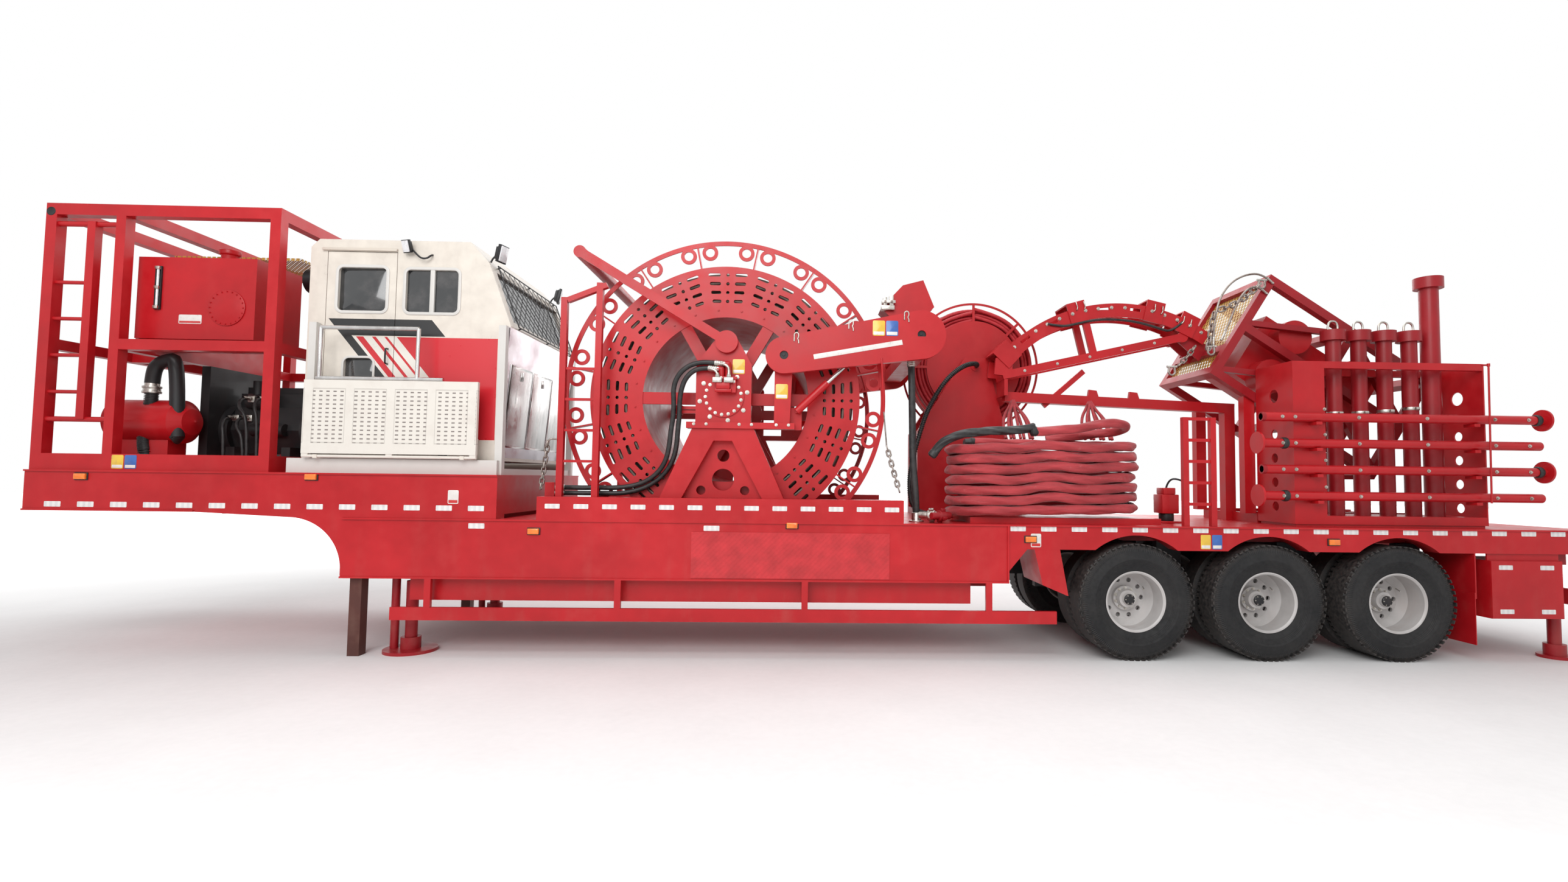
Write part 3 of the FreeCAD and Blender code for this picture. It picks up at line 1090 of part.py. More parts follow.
def hose(name, route):
    """A free hose: straight runs joined by arcs as large as the runs allow, with its radii printed."""
    points = [FreeCAD.Vector(value(f"front + {x}"), y, z) for x, y, z in route]
    edges = []
    at = points[0]
    radii = []
    for before, corner, after in zip(points, points[1:], points[2:]):
        back = before - corner
        on = after - corner
        reach = 0.45 * min(back.Length, on.Length)
        turn = math.pi - back.getAngle(on)
        radius = reach / math.tan(turn / 2)
        start = corner + FreeCAD.Vector(back).normalize() * reach
        end = corner + FreeCAD.Vector(on).normalize() * reach
        inward = ((start + end) / 2 - corner).normalize()
        crown = corner + inward * (radius / math.cos(turn / 2) - radius)
        edges.append(Part.LineSegment(at, start).toShape())
        edges.append(Part.Arc(start, crown, end).toShape())
        at = end
        radii.append(round(radius))
    edges.append(Part.LineSegment(at, points[-1]).toShape())
    path = Part.Wire(edges)
    section = Part.Wire(Part.makeCircle(value("hose_diameter / 2"), points[0], points[1] - points[0]))
    tube = doc.addObject("Part::Feature", name + "_tube")
    tube.Shape = path.makePipeShell([section], True, True)
    area = math.pi * value("hose_diameter / 2") ** 2
    print(name, "length", round(path.Length), "radii", radii,
          "volume share", round(tube.Shape.Volume / (area * path.Length), 4))
    node(name, tube)


def flange_disc():
    """The left flange's web: rows of two slots and a round hole, repeated round the disc."""
    body = turned("flange_disc",
                  [
                      ("-flange_side", "disc_inner_radius - barrel_wall"), ("-flange_side", "disc_radius"),
                      ("-flange_side + disc_thickness", "disc_radius"),
                      ("-flange_side + disc_thickness", "disc_inner_radius - barrel_wall"),
                  ], reel_at)
    sketch = new_sketch(body, "XZ", "flange_side - disc_thickness")
    for row in range(int(value("window_rows"))):
        radius = f"(window_first_radius + {row} * window_row_pitch)"
        half = f"(window_half + {row} * window_half_step)"
        for side in ("-", "+"):
            add_slot(sketch, radius, f"{side}window_share * {radius}", half, "window_slot_radius")
        add_hole(sketch, (radius, "0.0001", "window_slot_radius"))
    pocket = body.newObject("PartDesign::Pocket", "flange_windows")
    pocket.Profile = sketch
    pocket.Reversed = True
    bind(pocket, Length="disc_thickness")
    doc.recompute()
    pattern = body.newObject("PartDesign::PolarPattern", "flange_window_ring")
    pattern.Originals = [pocket]
    pattern.Axis = (sketch, ["N_Axis"])
    pattern.Angle = 360
    bind(pattern, Occurrences="spoke_count")
    body.Tip = pattern
    return body


def reel_drum():
    flange_y = "-flange_side"
    disc = flange_disc()
    rim = turned("flange_rim",
                 [
                     (flange_y, "rim_radius_out - rim_depth"), (flange_y, "rim_radius_out"),
                     (flange_y + " + flange_depth", "rim_radius_out"),
                     (flange_y + " + flange_depth", "rim_radius_out - rim_depth / 3"),
                     (flange_y + " + disc_thickness", "rim_radius_out - rim_depth / 3"),
                     (flange_y + " + disc_thickness", "rim_radius_out - rim_depth"),
                 ], reel_at)
    side_pieces = [disc, rim]
    count = int(value("spoke_count"))
    for i in range(count):
        spoke = box(f"flange_spoke_{i}",
                    ("rim_radius_out - disc_radius - rim_depth / 3 + 10", "flange_depth", "spoke_thickness"),
                    ("0", "0", "0"))
        spoke.Placement = FreeCAD.Placement()
        angle = f"({i} + 0.5) * 360 / spoke_count"
        spoke.Placement.Rotation = FreeCAD.Rotation(FreeCAD.Vector(0, 1, 0), 1)
        spoke.setExpression("Placement.Rotation.Angle", linked(angle))
        reach = "(disc_radius - 10)"
        place(spoke, (f"front + reel_x + {reach} * cos({angle})",
                      flange_y, f"reel_z - {reach} * sin({angle})"))
        side_pieces.append(spoke)
        for direction in ("-", "+"):
            where = f"(({angle}) {direction} lug_angle)"
            x = f"front + reel_x + lug_pitch_radius * cos({where})"
            z = f"reel_z - lug_pitch_radius * sin({where})"
            ring = cylinder(f"lug_{i}_{direction}", "lug_radius", "disc_thickness", (x, flange_y, z), "Y")
            bore = cylinder(f"lug_bore_{i}_{direction}", "lug_hole_radius", "disc_thickness + 4",
                            (x, flange_y + " - 2", z), "Y")
            side_pieces.append(cut(f"lug_ring_{i}_{direction}", ring, [bore]))
    hub = turned("flange_hub",
                 [
                     (flange_y, "axle_radius + seat_gap"), (flange_y, "reel_hub_radius"),
                     (flange_y + " + 60", "reel_hub_radius"), (flange_y + " + 60", "axle_radius + seat_gap"),
                 ], reel_at)
    side_pieces.append(hub)
    for i in range(6):
        arm = box(f"hub_arm_{i}",
                  ("disc_inner_radius - reel_hub_radius - barrel_wall + 20", "40", "120"),
                  ("0", "0", "0"))
        angle = f"{i} * 60"
        arm.Placement.Rotation = FreeCAD.Rotation(FreeCAD.Vector(0, 1, 0), 1)
        arm.setExpression("Placement.Rotation.Angle", linked(angle))
        place(arm, (f"front + reel_x + (reel_hub_radius - 10) * cos({angle}) - 60 * sin({angle})",
                    flange_y + " + 10",
                    f"reel_z - (reel_hub_radius - 10) * sin({angle}) - 60 * cos({angle})"))
        side_pieces.append(arm)
    barrel = turned("reel_barrel",
                    [
                        (flange_y, "disc_inner_radius - barrel_wall"), (flange_y, "disc_inner_radius"),
                        ("flange_side", "disc_inner_radius"),
                        ("flange_side", "disc_inner_radius - barrel_wall"),
                    ], reel_at)
    node("reel_drum", joined("drum_weldment", both_sides(side_pieces) + [barrel]))
    end = "(stand_side - 20)"
    node("reel_shaft", turned("reel_axle",
                              [
                                  (f"-{end}", "0"), (f"-{end}", "axle_radius - 8"),
                                  (f"-{end} + 8", "axle_radius"), (f"{end} - 8", "axle_radius"),
                                  (end, "axle_radius - 8"), (end, "0"),
                              ], reel_at))
    wraps = turned("tubing_wraps",
                   [
                       (flange_y + " + disc_thickness + wrap_gap", "disc_inner_radius"),
                       (flange_y + " + disc_thickness + wrap_gap", "wrap_radius"),
                       ("flange_side - disc_thickness - wrap_gap", "wrap_radius"),
                       ("flange_side - disc_thickness - wrap_gap", "disc_inner_radius"),
                   ], reel_at)
    node("tubing_coil", wraps)


def levelwind():
    side = "-arm_side"
    root = ("front + arm_pivot_x", "arm_pivot_z")
    head = ("front + arm_head_x", "arm_head_z")
    length, _, _, angle = slope(root, head)
    spread = f"asin((arm_head_radius - arm_root_radius) / {length})"
    above = f"({angle} + {spread})"
    below = f"({angle} - {spread})"
    body = plate("arm_body", "XZ",
                 [
                     (f"{root[0]} + arm_root_radius * sin({below})",
                      f"{root[1]} - arm_root_radius * cos({below})"),
                     (f"{head[0]} + arm_head_radius * sin({below})",
                      f"{head[1]} - arm_head_radius * cos({below})"),
                     (f"{head[0]} - arm_head_radius * sin({above})",
                      f"{head[1]} + arm_head_radius * cos({above})"),
                     (f"{root[0]} - arm_root_radius * sin({above})",
                      f"{root[1]} + arm_root_radius * cos({above})"),
                 ], "arm_thickness", side)
    blade = cut("arm_plate",
                joined("arm_plate_solid", [
                    body,
                    cylinder("arm_root", "arm_root_radius", "arm_thickness", (root[0], side, root[1]), "Y"),
                    cylinder("arm_head", "arm_head_radius", "arm_thickness", (head[0], side, head[1]), "Y"),
                ]),
                [
                    cylinder(f"arm_recess_{i}", "arm_recess_radius", "arm_recess_depth",
                             (centre[0], side, centre[1]), "Y")
                    for i, centre in enumerate((root, head))
                ])
    arm = joined("arm_plates", both_sides([
        blade,
        cylinder("arm_pin", "pivot_pin_radius", "stand_thickness + arm_thickness - arm_recess_depth - 5",
                 (root[0], side + " + arm_recess_depth + 5", root[1]), "Y"),
        cylinder("arm_lift_pin", "lift_pin_radius", "arm_side - lift_offset + 25",
                 ("front + cylinder_eye_x", side, "cylinder_eye_z"), "Y"),
    ]))
    shafts = [
        cylinder(f"guide_shaft_{i}", "head_slide_radius", "2 * arm_side",
                 (f"front + arm_head_x + {dx}", side, "arm_head_z + 60"), "Y")
        for i, dx in enumerate(("-60", "60"))
    ]
    cross = box("arm_cross_beam", ("200", "2 * arm_side", "140"),
                ("front + arm_head_x - 100", side, "arm_head_z - 160"))
    node("levelwind_arm", joined("levelwind_frame", [arm] + shafts + [cross]))

    side_plates = plate("head_carriage", "XZ",
                        [
                            ("front + arm_head_x - 190", "arm_head_z + 20"),
                            ("front + arm_head_x + 105", "arm_head_z + 20"),
                            ("front + arm_head_x + 105", "arm_head_z + 290"),
                            ("front + arm_head_x + 240", "head_bottom + 160"),
                            ("front + arm_head_x + 120", "head_top"),
                            ("front + arm_head_x - 100", "head_top - 60"),
                            ("front + arm_head_x - 333", "head_bottom + 140"),
                            ("front + arm_head_x - 190", "head_bottom"),
                        ], "head_width", "-head_rest_side - head_width / 2",
                        holes=[("front + arm_head_x - 60", "arm_head_z + 60",
                                "head_slide_radius + bearing_running_gap"),
                               ("front + arm_head_x + 60", "arm_head_z + 60",
                                "head_slide_radius + bearing_running_gap")])
    node("counter_head", side_plates)

    foot = ("front + cylinder_foot_x", "cylinder_foot_z")
    eye = ("front + cylinder_eye_x", "cylinder_eye_z")

    def part_way(share):
        return tuple(f"{a} + ({b} - ({a})) * ({share})" for a, b in zip(foot, eye))

    tube = cut("lift_tube",
               rod("lift_barrel", part_way("0"), part_way("cylinder_split"), "cylinder_radius",
                   "-lift_offset"),
               [rod("lift_bore", part_way("0.1"), part_way("cylinder_split + 0.01"),
                    "cylinder_rod_radius + bearing_running_gap", "-lift_offset")])
    barrel = both_sides([
        tube,
        cylinder("lift_barrel_pin", "lift_pin_radius", "cylinder_radius + 30",
                 (foot[0], "-lift_offset", foot[1]), "Y"),
    ])
    node("levelwind_cylinders", joined("lift_barrels", barrel))
    eye_ring = cylinder("lift_eye", "lift_eye_radius", "30", (eye[0], "-lift_offset - 15", eye[1]), "Y")
    eye_bore = cylinder("lift_eye_bore", "lift_pin_radius + lift_eye_play", "34",
                        (eye[0], "-lift_offset - 17", eye[1]), "Y")
    bar_end = rod("lift_rod", part_way("0.12"), part_way("0.965"), "cylinder_rod_radius",
                  "-lift_offset")
    eyes = cut("lift_eye_ring", eye_ring, [eye_bore])
    node("levelwind_rods", joined("lift_rods", both_sides([bar_end, eyes])))


def hold_down():
    side = "-stand_side - 50"
    pivot = ("front + hold_pivot_x", "hold_pivot_z")
    tip = ("front + hold_tip_x", "hold_tip_z")
    lever = both_sides([
        bar("hold_lever", pivot, tip, "hold_bar_depth", "hold_bar_thickness", side),
        cylinder("hold_boss", "hold_boss_radius", "hold_bar_thickness", (pivot[0], side, pivot[1]), "Y"),
        cylinder("hold_pin", "pivot_pin_radius", "stand_thickness + 50", (pivot[0], side, pivot[1]), "Y"),
    ])
    roller = cylinder("hold_roller", "hold_roller_radius", "2 * (stand_side + 50)",
                      (tip[0], side, tip[1]), "Y")
    node("hold_down_arm", joined("hold_down_set", lever + [roller]))


# ---------------------------------------------------------------------------------------------
# Hose reel and hose pile
# ---------------------------------------------------------------------------------------------

sizes(
    hose_reel_x=9315, hose_reel_z=3090, hose_reel_radius=790, hose_disc_radius=570,
    hose_reel_side=440, hose_reel_width=560, hose_disc_thickness=12, hose_core_radius=300,
    hose_wrap_radius=740, hose_axle_radius=60, hose_stand_x=8620, hose_stand_length=1300,
    hose_stand_height=1000, pile_x=9730,  pile_length=2070,
    pile_height=820, pile_side=-1150, pile_depth=780, pile_strand=230, pile_plate_x=8940,
    pile_plate_length=1930, pile_plate_thickness=60, pile_plate_width=1000,
)


def hose_reel():
    near = "hose_reel_side"
    far = "(hose_reel_side + hose_reel_width)"
    at = ("front + hose_reel_x", "hose_reel_z")
    flanges = []
    for i, (y0, y1) in enumerate(((near, near + " + hose_disc_thickness"),
                                  (far + " - hose_disc_thickness", far))):
        flanges.append(turned(f"hose_flange_{i}",
                              [(y0, "hose_core_radius - 10"), (y0, "hose_disc_radius"),
                               (y1, "hose_disc_radius"), (y1, "hose_core_radius - 10")], at))
        flanges.append(turned(f"hose_rim_{i}",
                              [(y0, "hose_reel_radius - 25"), (y0, "hose_reel_radius"),
                               (y1, "hose_reel_radius"), (y1, "hose_reel_radius - 25")], at))
        for k in range(8):
            angle = f"{k} * 45"
            spoke = box(f"hose_spoke_{i}_{k}",
                        ("hose_reel_radius - hose_disc_radius", "hose_disc_thickness", "30"),
                        ("0", "0", "0"))
            spoke.Placement.Rotation = FreeCAD.Rotation(FreeCAD.Vector(0, 1, 0), 1)
            spoke.setExpression("Placement.Rotation.Angle", linked(angle))
            place(spoke, (f"{at[0]} + (hose_disc_radius - 10) * cos({angle}) - 15 * sin({angle})", y0,
                          f"{at[1]} - (hose_disc_radius - 10) * sin({angle}) - 15 * cos({angle})"))
            flanges.append(spoke)
    core = turned("hose_core",
                  [(near, "hose_core_radius - 20"), (near, "hose_core_radius"),
                   (far, "hose_core_radius"), (far, "hose_core_radius - 20")], at)
    plates = turned("hose_core_plates",
                    [(near, "hose_axle_radius - 5"), (near, "hose_core_radius"),
                     (near + " + 12", "hose_core_radius"), (near + " + 12", "hose_axle_radius - 5")], at)
    axle = turned("hose_axle",
                  [(near + " - 120", "0"), (near + " - 120", "hose_axle_radius"),
                   (far + " + 120", "hose_axle_radius"), (far + " + 120", "0")], at)
    far_plate = turned("hose_far_plate",
                       [(far + " - 12", "hose_axle_radius - 5"), (far + " - 12", "hose_core_radius"),
                        (far, "hose_core_radius"), (far, "hose_axle_radius - 5")], at)
    node("hose_reel_drum", joined("hose_drum_set", flanges + [core, plates, far_plate, axle]))
    node("hose_reel_hoses", turned(
        "wound_hoses",
        [(near + " + 16", "hose_core_radius"), (near + " + 16", "hose_wrap_radius"),
         (far + " - 16", "hose_wrap_radius"), (far + " - 16", "hose_core_radius")], at))

    pieces = []
    for i, y0 in enumerate((near + " - 110", far + " + 30")):
        pieces.append(plate(f"hose_stand_side_{i}", "XZ",
                            [
                                ("front + hose_stand_x", "deck_height"),
                                ("front + hose_stand_x + hose_stand_length", "deck_height"),
                                ("front + hose_stand_x + hose_stand_length", "deck_height + 120"),
                                (f"{at[0]} + 130", "hose_reel_z + 100"),
                                (f"{at[0]} - 130", "hose_reel_z + 100"),
                                ("front + hose_stand_x", "deck_height + hose_stand_height"),
                            ], "80", y0,
                            holes=[(at[0], at[1], "hose_axle_radius + bearing_running_gap")]))
    pieces.append(box("hose_stand_base", ("hose_stand_length", f"{far} + 110 - ({near} - 110)", "80"),
                      ("front + hose_stand_x", near + " - 110", "deck_height")))
    node("hose_reel_stand", joined("hose_stand_set", pieces))


def hose_pile():
    outer = "pile_depth / 2"
    inner = "(pile_depth / 2 - pile_strand)"
    centre = "(pile_side + pile_depth / 2)"
    straight = "(pile_length / 2 - pile_depth / 2)"

    def racetrack(radius):
        return [
            (f"front + pile_x - {straight}", f"{centre} - {radius}"),
            (f"front + pile_x + {straight}", f"{centre} - {radius}", radius + " * 1.0001"),
            (f"front + pile_x + {straight}", f"{centre} + {radius}"),
            (f"front + pile_x - {straight}", f"{centre} + {radius}", radius + " * 1.0001"),
        ]

    pile_foot = "deck_height + pile_plate_thickness + seat_gap"
    node("hose_pile", plate("pile_body", "XY", racetrack(outer), "pile_height", pile_foot,
                            windows=[racetrack(inner)]))


# ---------------------------------------------------------------------------------------------
# Injector, guide arch and the racks behind them
# ---------------------------------------------------------------------------------------------

sizes(
    cage_x=12430, cage_z=4050, cage_tilt=32.4, cage_height=1316, cage_length=2150,
    cage_side=-450, cage_width=1150, cage_bar=90, cage_brace=60, drive_length=1500,
    drive_height=780, drive_width=560, motor_radius=190, motor_length=190,
    injector_stand_x=12250, injector_stand_length=1800,
    arch_x=10900, arch_z=1940, arch_radius_out=1850, arch_depth=160, arch_start=55, arch_end=139,
    arch_side=-50, arch_width=340, arch_plate=14, arch_pin_radius=30,
    arch_lug=16, arch_lug_inset=60, box_half=108, box_rise=75, box_cheek=16, box_depth=250,
    arch_slot=34,
    chord_start_x=9540, chord_start_z=2930, chord_end_x=11640, chord_end_z=3410, chord_depth=90,
    arch_rest_x=9556, arch_rest_length=40, arch_rest_top=2887,
    beam_left_x=9595, beam_left_z=2700, beam_right_x=12300, beam_right_z=2600, beam_depth=110, beam_hook=40,
    beam_hook_x=10560, beam_hook_spacing=480, stay_top_x=10535, stay_top_z=3015, stay_foot_x=10060,
    stay_foot_z=2600, stay_depth=60, stay_width=40, strut_top_x=10495, strut_top_z=3620,
    strut_foot_x=10600, strut_foot_z=3180, chord_width=40, toe_x=1340, toe_z=3120,
    rack_hole_z=1492, rack_hole_pitch=252, rack_hole_radius=50, rack_eye_z=2649, rack_eye_radius=70,
    rack_face_length=330, rack_rail=70,
    rack_x=12226, rack_length=2002, rack_bottom=1325, rack_top=2980, rack_side=-1060,
    rack_depth=600, rack_plate=14, riser_count=4, riser_x=12835, riser_pitch=273,
    riser_radius=72, riser_side=-820, riser_top=3238, riser_cap_radius=115, riser_cap_height=110,
    mast_x=13885, mast_radius=86, mast_top=3929, mast_cap_radius=132, mast_cap_height=115,
    leg_front_x=11820, leg_length=2900, leg_radius=45, leg_side=-1125, leg_pad_radius=110,
    leg_lowest_z=1610, leg_spacing=263,
    gate_x=11000, gate_length=330, gate_top=2372, gate_bar=55, gate_side=-1230,
)


def tilt(piece, pivot=("front + cage_x", "cage_z")):
    """Turns a finished piece about the Y axis through the cage's upper corner by cage_tilt."""
    piece.Placement.Rotation = FreeCAD.Rotation(FreeCAD.Vector(0, 1, 0), 1)
    piece.setExpression("Placement.Rotation.Angle", linked("cage_tilt"))
    return place(piece, (pivot[0], "0", pivot[1]))


def injector():
    """The cage is built square with its upper front corner at the origin, then tilted."""
    pieces = []
    near = "cage_side"
    far = "(cage_side + cage_width - cage_bar)"
    for i, y0 in enumerate((near, far)):
        for k, z0 in enumerate(("-cage_bar", "-cage_height")):
            pieces.append(box(f"cage_long_{i}_{k}", ("cage_length", "cage_bar", "cage_bar"), ("0", y0, z0)))
        for k, x0 in enumerate(("0", "0.5 * cage_length", "cage_length - cage_bar")):
            pieces.append(box(f"cage_upright_{i}_{k}", ("cage_bar", "cage_bar", "cage_height"),
                              (x0, y0, "-cage_height")))
        pieces.append(box(f"cage_mid_rail_{i}", ("cage_length", "cage_bar", "cage_bar"),
                          ("0", y0, "-(cage_height + cage_bar) / 2")))
        for k, (x0, x1) in enumerate((("cage_bar / 2", "0.5 * cage_length"),
                                      ("cage_length - cage_bar / 2", "0.5 * cage_length + cage_bar"))):
            for level, (low, high) in enumerate((("-cage_height + cage_bar", "-(cage_height + cage_bar) / 2"),
                                                 ("-(cage_height - cage_bar) / 2", "-cage_bar"))):
                pieces.append(bar(f"cage_brace_{i}_{k}_{level}", (x0, low), (x1, high), "cage_brace",
                                  "cage_bar - 20", f"{y0} + 10"))
    for k, x0 in enumerate(("0", "0.5 * cage_length", "cage_length - cage_bar")):
        for i, z0 in enumerate(("-cage_bar", "-cage_height")):
            pieces.append(box(f"cage_cross_{k}_{i}", ("cage_bar", "cage_width", "cage_bar"), (x0, near, z0)))
    across = "((chord_end_x - cage_x) * cos(cage_tilt) - (chord_end_z - cage_z) * sin(cage_tilt))"
    up = "((chord_end_x - cage_x) * sin(cage_tilt) + (chord_end_z - cage_z) * cos(cage_tilt))"
    pieces.append(box("cage_hinge_cross", ("cage_bar", "cage_width", "cage_bar"),
                      ("0", near, f"{up} - cage_bar / 2")))
    lug_sides = ("arch_side + arch_lug_inset", "arch_side + arch_width - arch_lug_inset - arch_lug")
    for i, y0 in enumerate(lug_sides):
        pieces.append(plate(f"arch_lug_{i}", "XZ",
                            [
                                ("1", f"{up} - 110"), ("1", f"{up} + 110"), (across, f"{up} + 55"),
                                (f"{across} - 45", f"{up} + 30"), (f"{across} - 45", f"{up} - 30"),
                                (across, f"{up} - 55"),
                            ], "arch_lug", y0,
                            holes=[(across, up, "arch_pin_radius + bearing_running_gap")]))
    node("injector_cage", tilt(joined("cage_weldment", pieces)))
    meshes = [
        box(f"cage_mesh_{i}", ("12", "cage_width - 2 * cage_bar - 2", f"{high} - ({low}) - 2"),
            ("cage_bar / 2", "cage_side + cage_bar + 1", f"{low} + 1"))
        for i, (low, high) in enumerate((("-cage_height + cage_bar", f"({up} - cage_bar / 2)"),
                                         (f"{up} + cage_bar / 2", "(-cage_bar)")))
    ]
    roof = box("roof_panel", ("grating_length", "grating_width", "grating_thickness"),
               ("front + pack_post", "pack_width / 2 - pack_post - grating_width",
                "pack_top - pack_top_rail - seat_gap - grating_thickness"))
    node("grating_panels", joined("grating_set", [roof, tilt(joined("mesh_panels", meshes))]))
    centre_y = "(cage_side + cage_width / 2)"
    drive = box("drive_body", ("drive_length", "drive_width", "drive_height"),
                ("(cage_length - drive_length) / 2", f"{centre_y} - drive_width / 2",
                 "-cage_height / 2 - drive_height / 2"))
    motors = [
        cylinder(f"drive_motor_{i}", "motor_radius", "motor_length",
                 (f"cage_length * {share}", f"{centre_y} - drive_width / 2 - motor_length",
                  f"-cage_height * {rise}"), "Y")
        for i, (share, rise) in enumerate(((0.3, 0.3), (0.3, 0.7), (0.68, 0.3), (0.68, 0.7)))
    ]
    bearers = [
        box(f"drive_bearer_{i}", ("cage_bar", "cage_width - 2 * (cage_bar + seat_gap)", "cage_bar"),
            (x0, "cage_side + cage_bar + seat_gap", "-cage_height / 2 - cage_bar / 2"))
        for i, x0 in enumerate(("0.5 * cage_length",))
    ]
    node("injector_drive", tilt(joined("drive_set", [drive] + motors + bearers)))


def injector_stand():
    pieces = []
    for i, y0 in enumerate(("cage_side + 40", "cage_side + cage_width - 140")):
        pieces.append(box(f"stand_runner_{i}", ("injector_stand_length", "100", "120"),
                          ("front + injector_stand_x", y0, "deck_height")))
        corner_x = "front + cage_x - cage_height * sin(cage_tilt)"
        corner_z = "cage_z - cage_height * cos(cage_tilt)"
        for k, share in enumerate((0.25, 0.78)):
            x = f"{corner_x} + {share} * cage_length * cos(cage_tilt)"
            z = f"{corner_z} - {share} * cage_length * sin(cage_tilt)"
            pieces.append(plate(f"stand_leg_{i}_{k}", "XZ",
                                [
                                    (f"{x} - 60", "deck_height + 100"), (f"{x} + 60", "deck_height + 100"),
                                    (f"{x} + 60", f"{z} - 0.3 - 60 * tan(cage_tilt)"),
                                    (f"{x} - 60", f"{z} - 0.3 + 60 * tan(cage_tilt)"),
                                ], "100", y0))
    for k, x0 in enumerate(("0", "injector_stand_length - 100")):
        pieces.append(box(f"stand_tie_{k}", ("100", "cage_width - 100", "100"),
                          (f"front + injector_stand_x + {x0}", "cage_side + 50", "deck_height")))
    pieces.append(bar("arch_beam", ("front + beam_left_x", "beam_left_z"),
                      ("front + beam_right_x", "beam_right_z"), "beam_depth", "120",
                      "arch_side + arch_width / 2 - 60"))
    pieces.append(bar("beam_stay", ("front + stay_top_x", "stay_top_z"),
                      ("front + stay_foot_x", "stay_foot_z"), "stay_depth",
                      "stay_width", "arch_side + arch_width / 2 - stay_width / 2"))
    pieces.append(box("arch_rest", ("arch_rest_length", "arch_width", "arch_rest_top - beam_left_z"),
                      ("front + arch_rest_x", "arch_side", "beam_left_z")))
    for i, x in enumerate(("beam_hook_x", "beam_hook_x + beam_hook_spacing")):
        share = f"({x} - beam_left_x) / (beam_right_x - beam_left_x)"
        foot = f"beam_left_z + (beam_right_z - beam_left_z) * {share}"
        pieces.append(plate(f"beam_hook_{i}", "XZ",
                            [
                                (f"front + {x}", foot), (f"front + {x} + 150", foot),
                                (f"front + {x} + 110", f"{foot} + 120"),
                                (f"front + {x} + 20", f"{foot} + 130"),
                            ], "beam_hook", "arch_side + arch_width / 2 - 60"))
    pieces.append(box("arch_beam_post", ("120", "120", "beam_right_z - deck_height"),
                      ("front + beam_right_x - 120", "arch_side + arch_width / 2 - 60", "deck_height")))
    node("injector_stand", joined("injector_stand_set", pieces))


def roller_box(top, turn):
    """Two cheek plates outside the arch's blades and the cover that joins them over a guide roller."""
    half = value("box_half")
    depth = value("box_depth")
    cheek = value("box_cheek")
    near = value("arch_side") - cheek
    width = value("arch_width") + 2 * cheek
    pieces = [
        Part.makeBox(2 * half, cheek, depth, FreeCAD.Vector(-half, near, -depth)),
        Part.makeBox(2 * half, cheek, depth, FreeCAD.Vector(-half, near + width - cheek, -depth)),
        Part.makeBox(2 * half, width, cheek, FreeCAD.Vector(-half, near, -cheek)),
        Part.makeCylinder(value("arch_pin_radius"), width, FreeCAD.Vector(0, near, -0.4 * depth),
                          FreeCAD.Vector(0, 1, 0)),
    ]
    for piece in pieces:
        piece.rotate(FreeCAD.Vector(0, 0, 0), FreeCAD.Vector(0, 1, 0), turn)
        piece.translate(FreeCAD.Vector(top.x, 0, top.z))
    return pieces


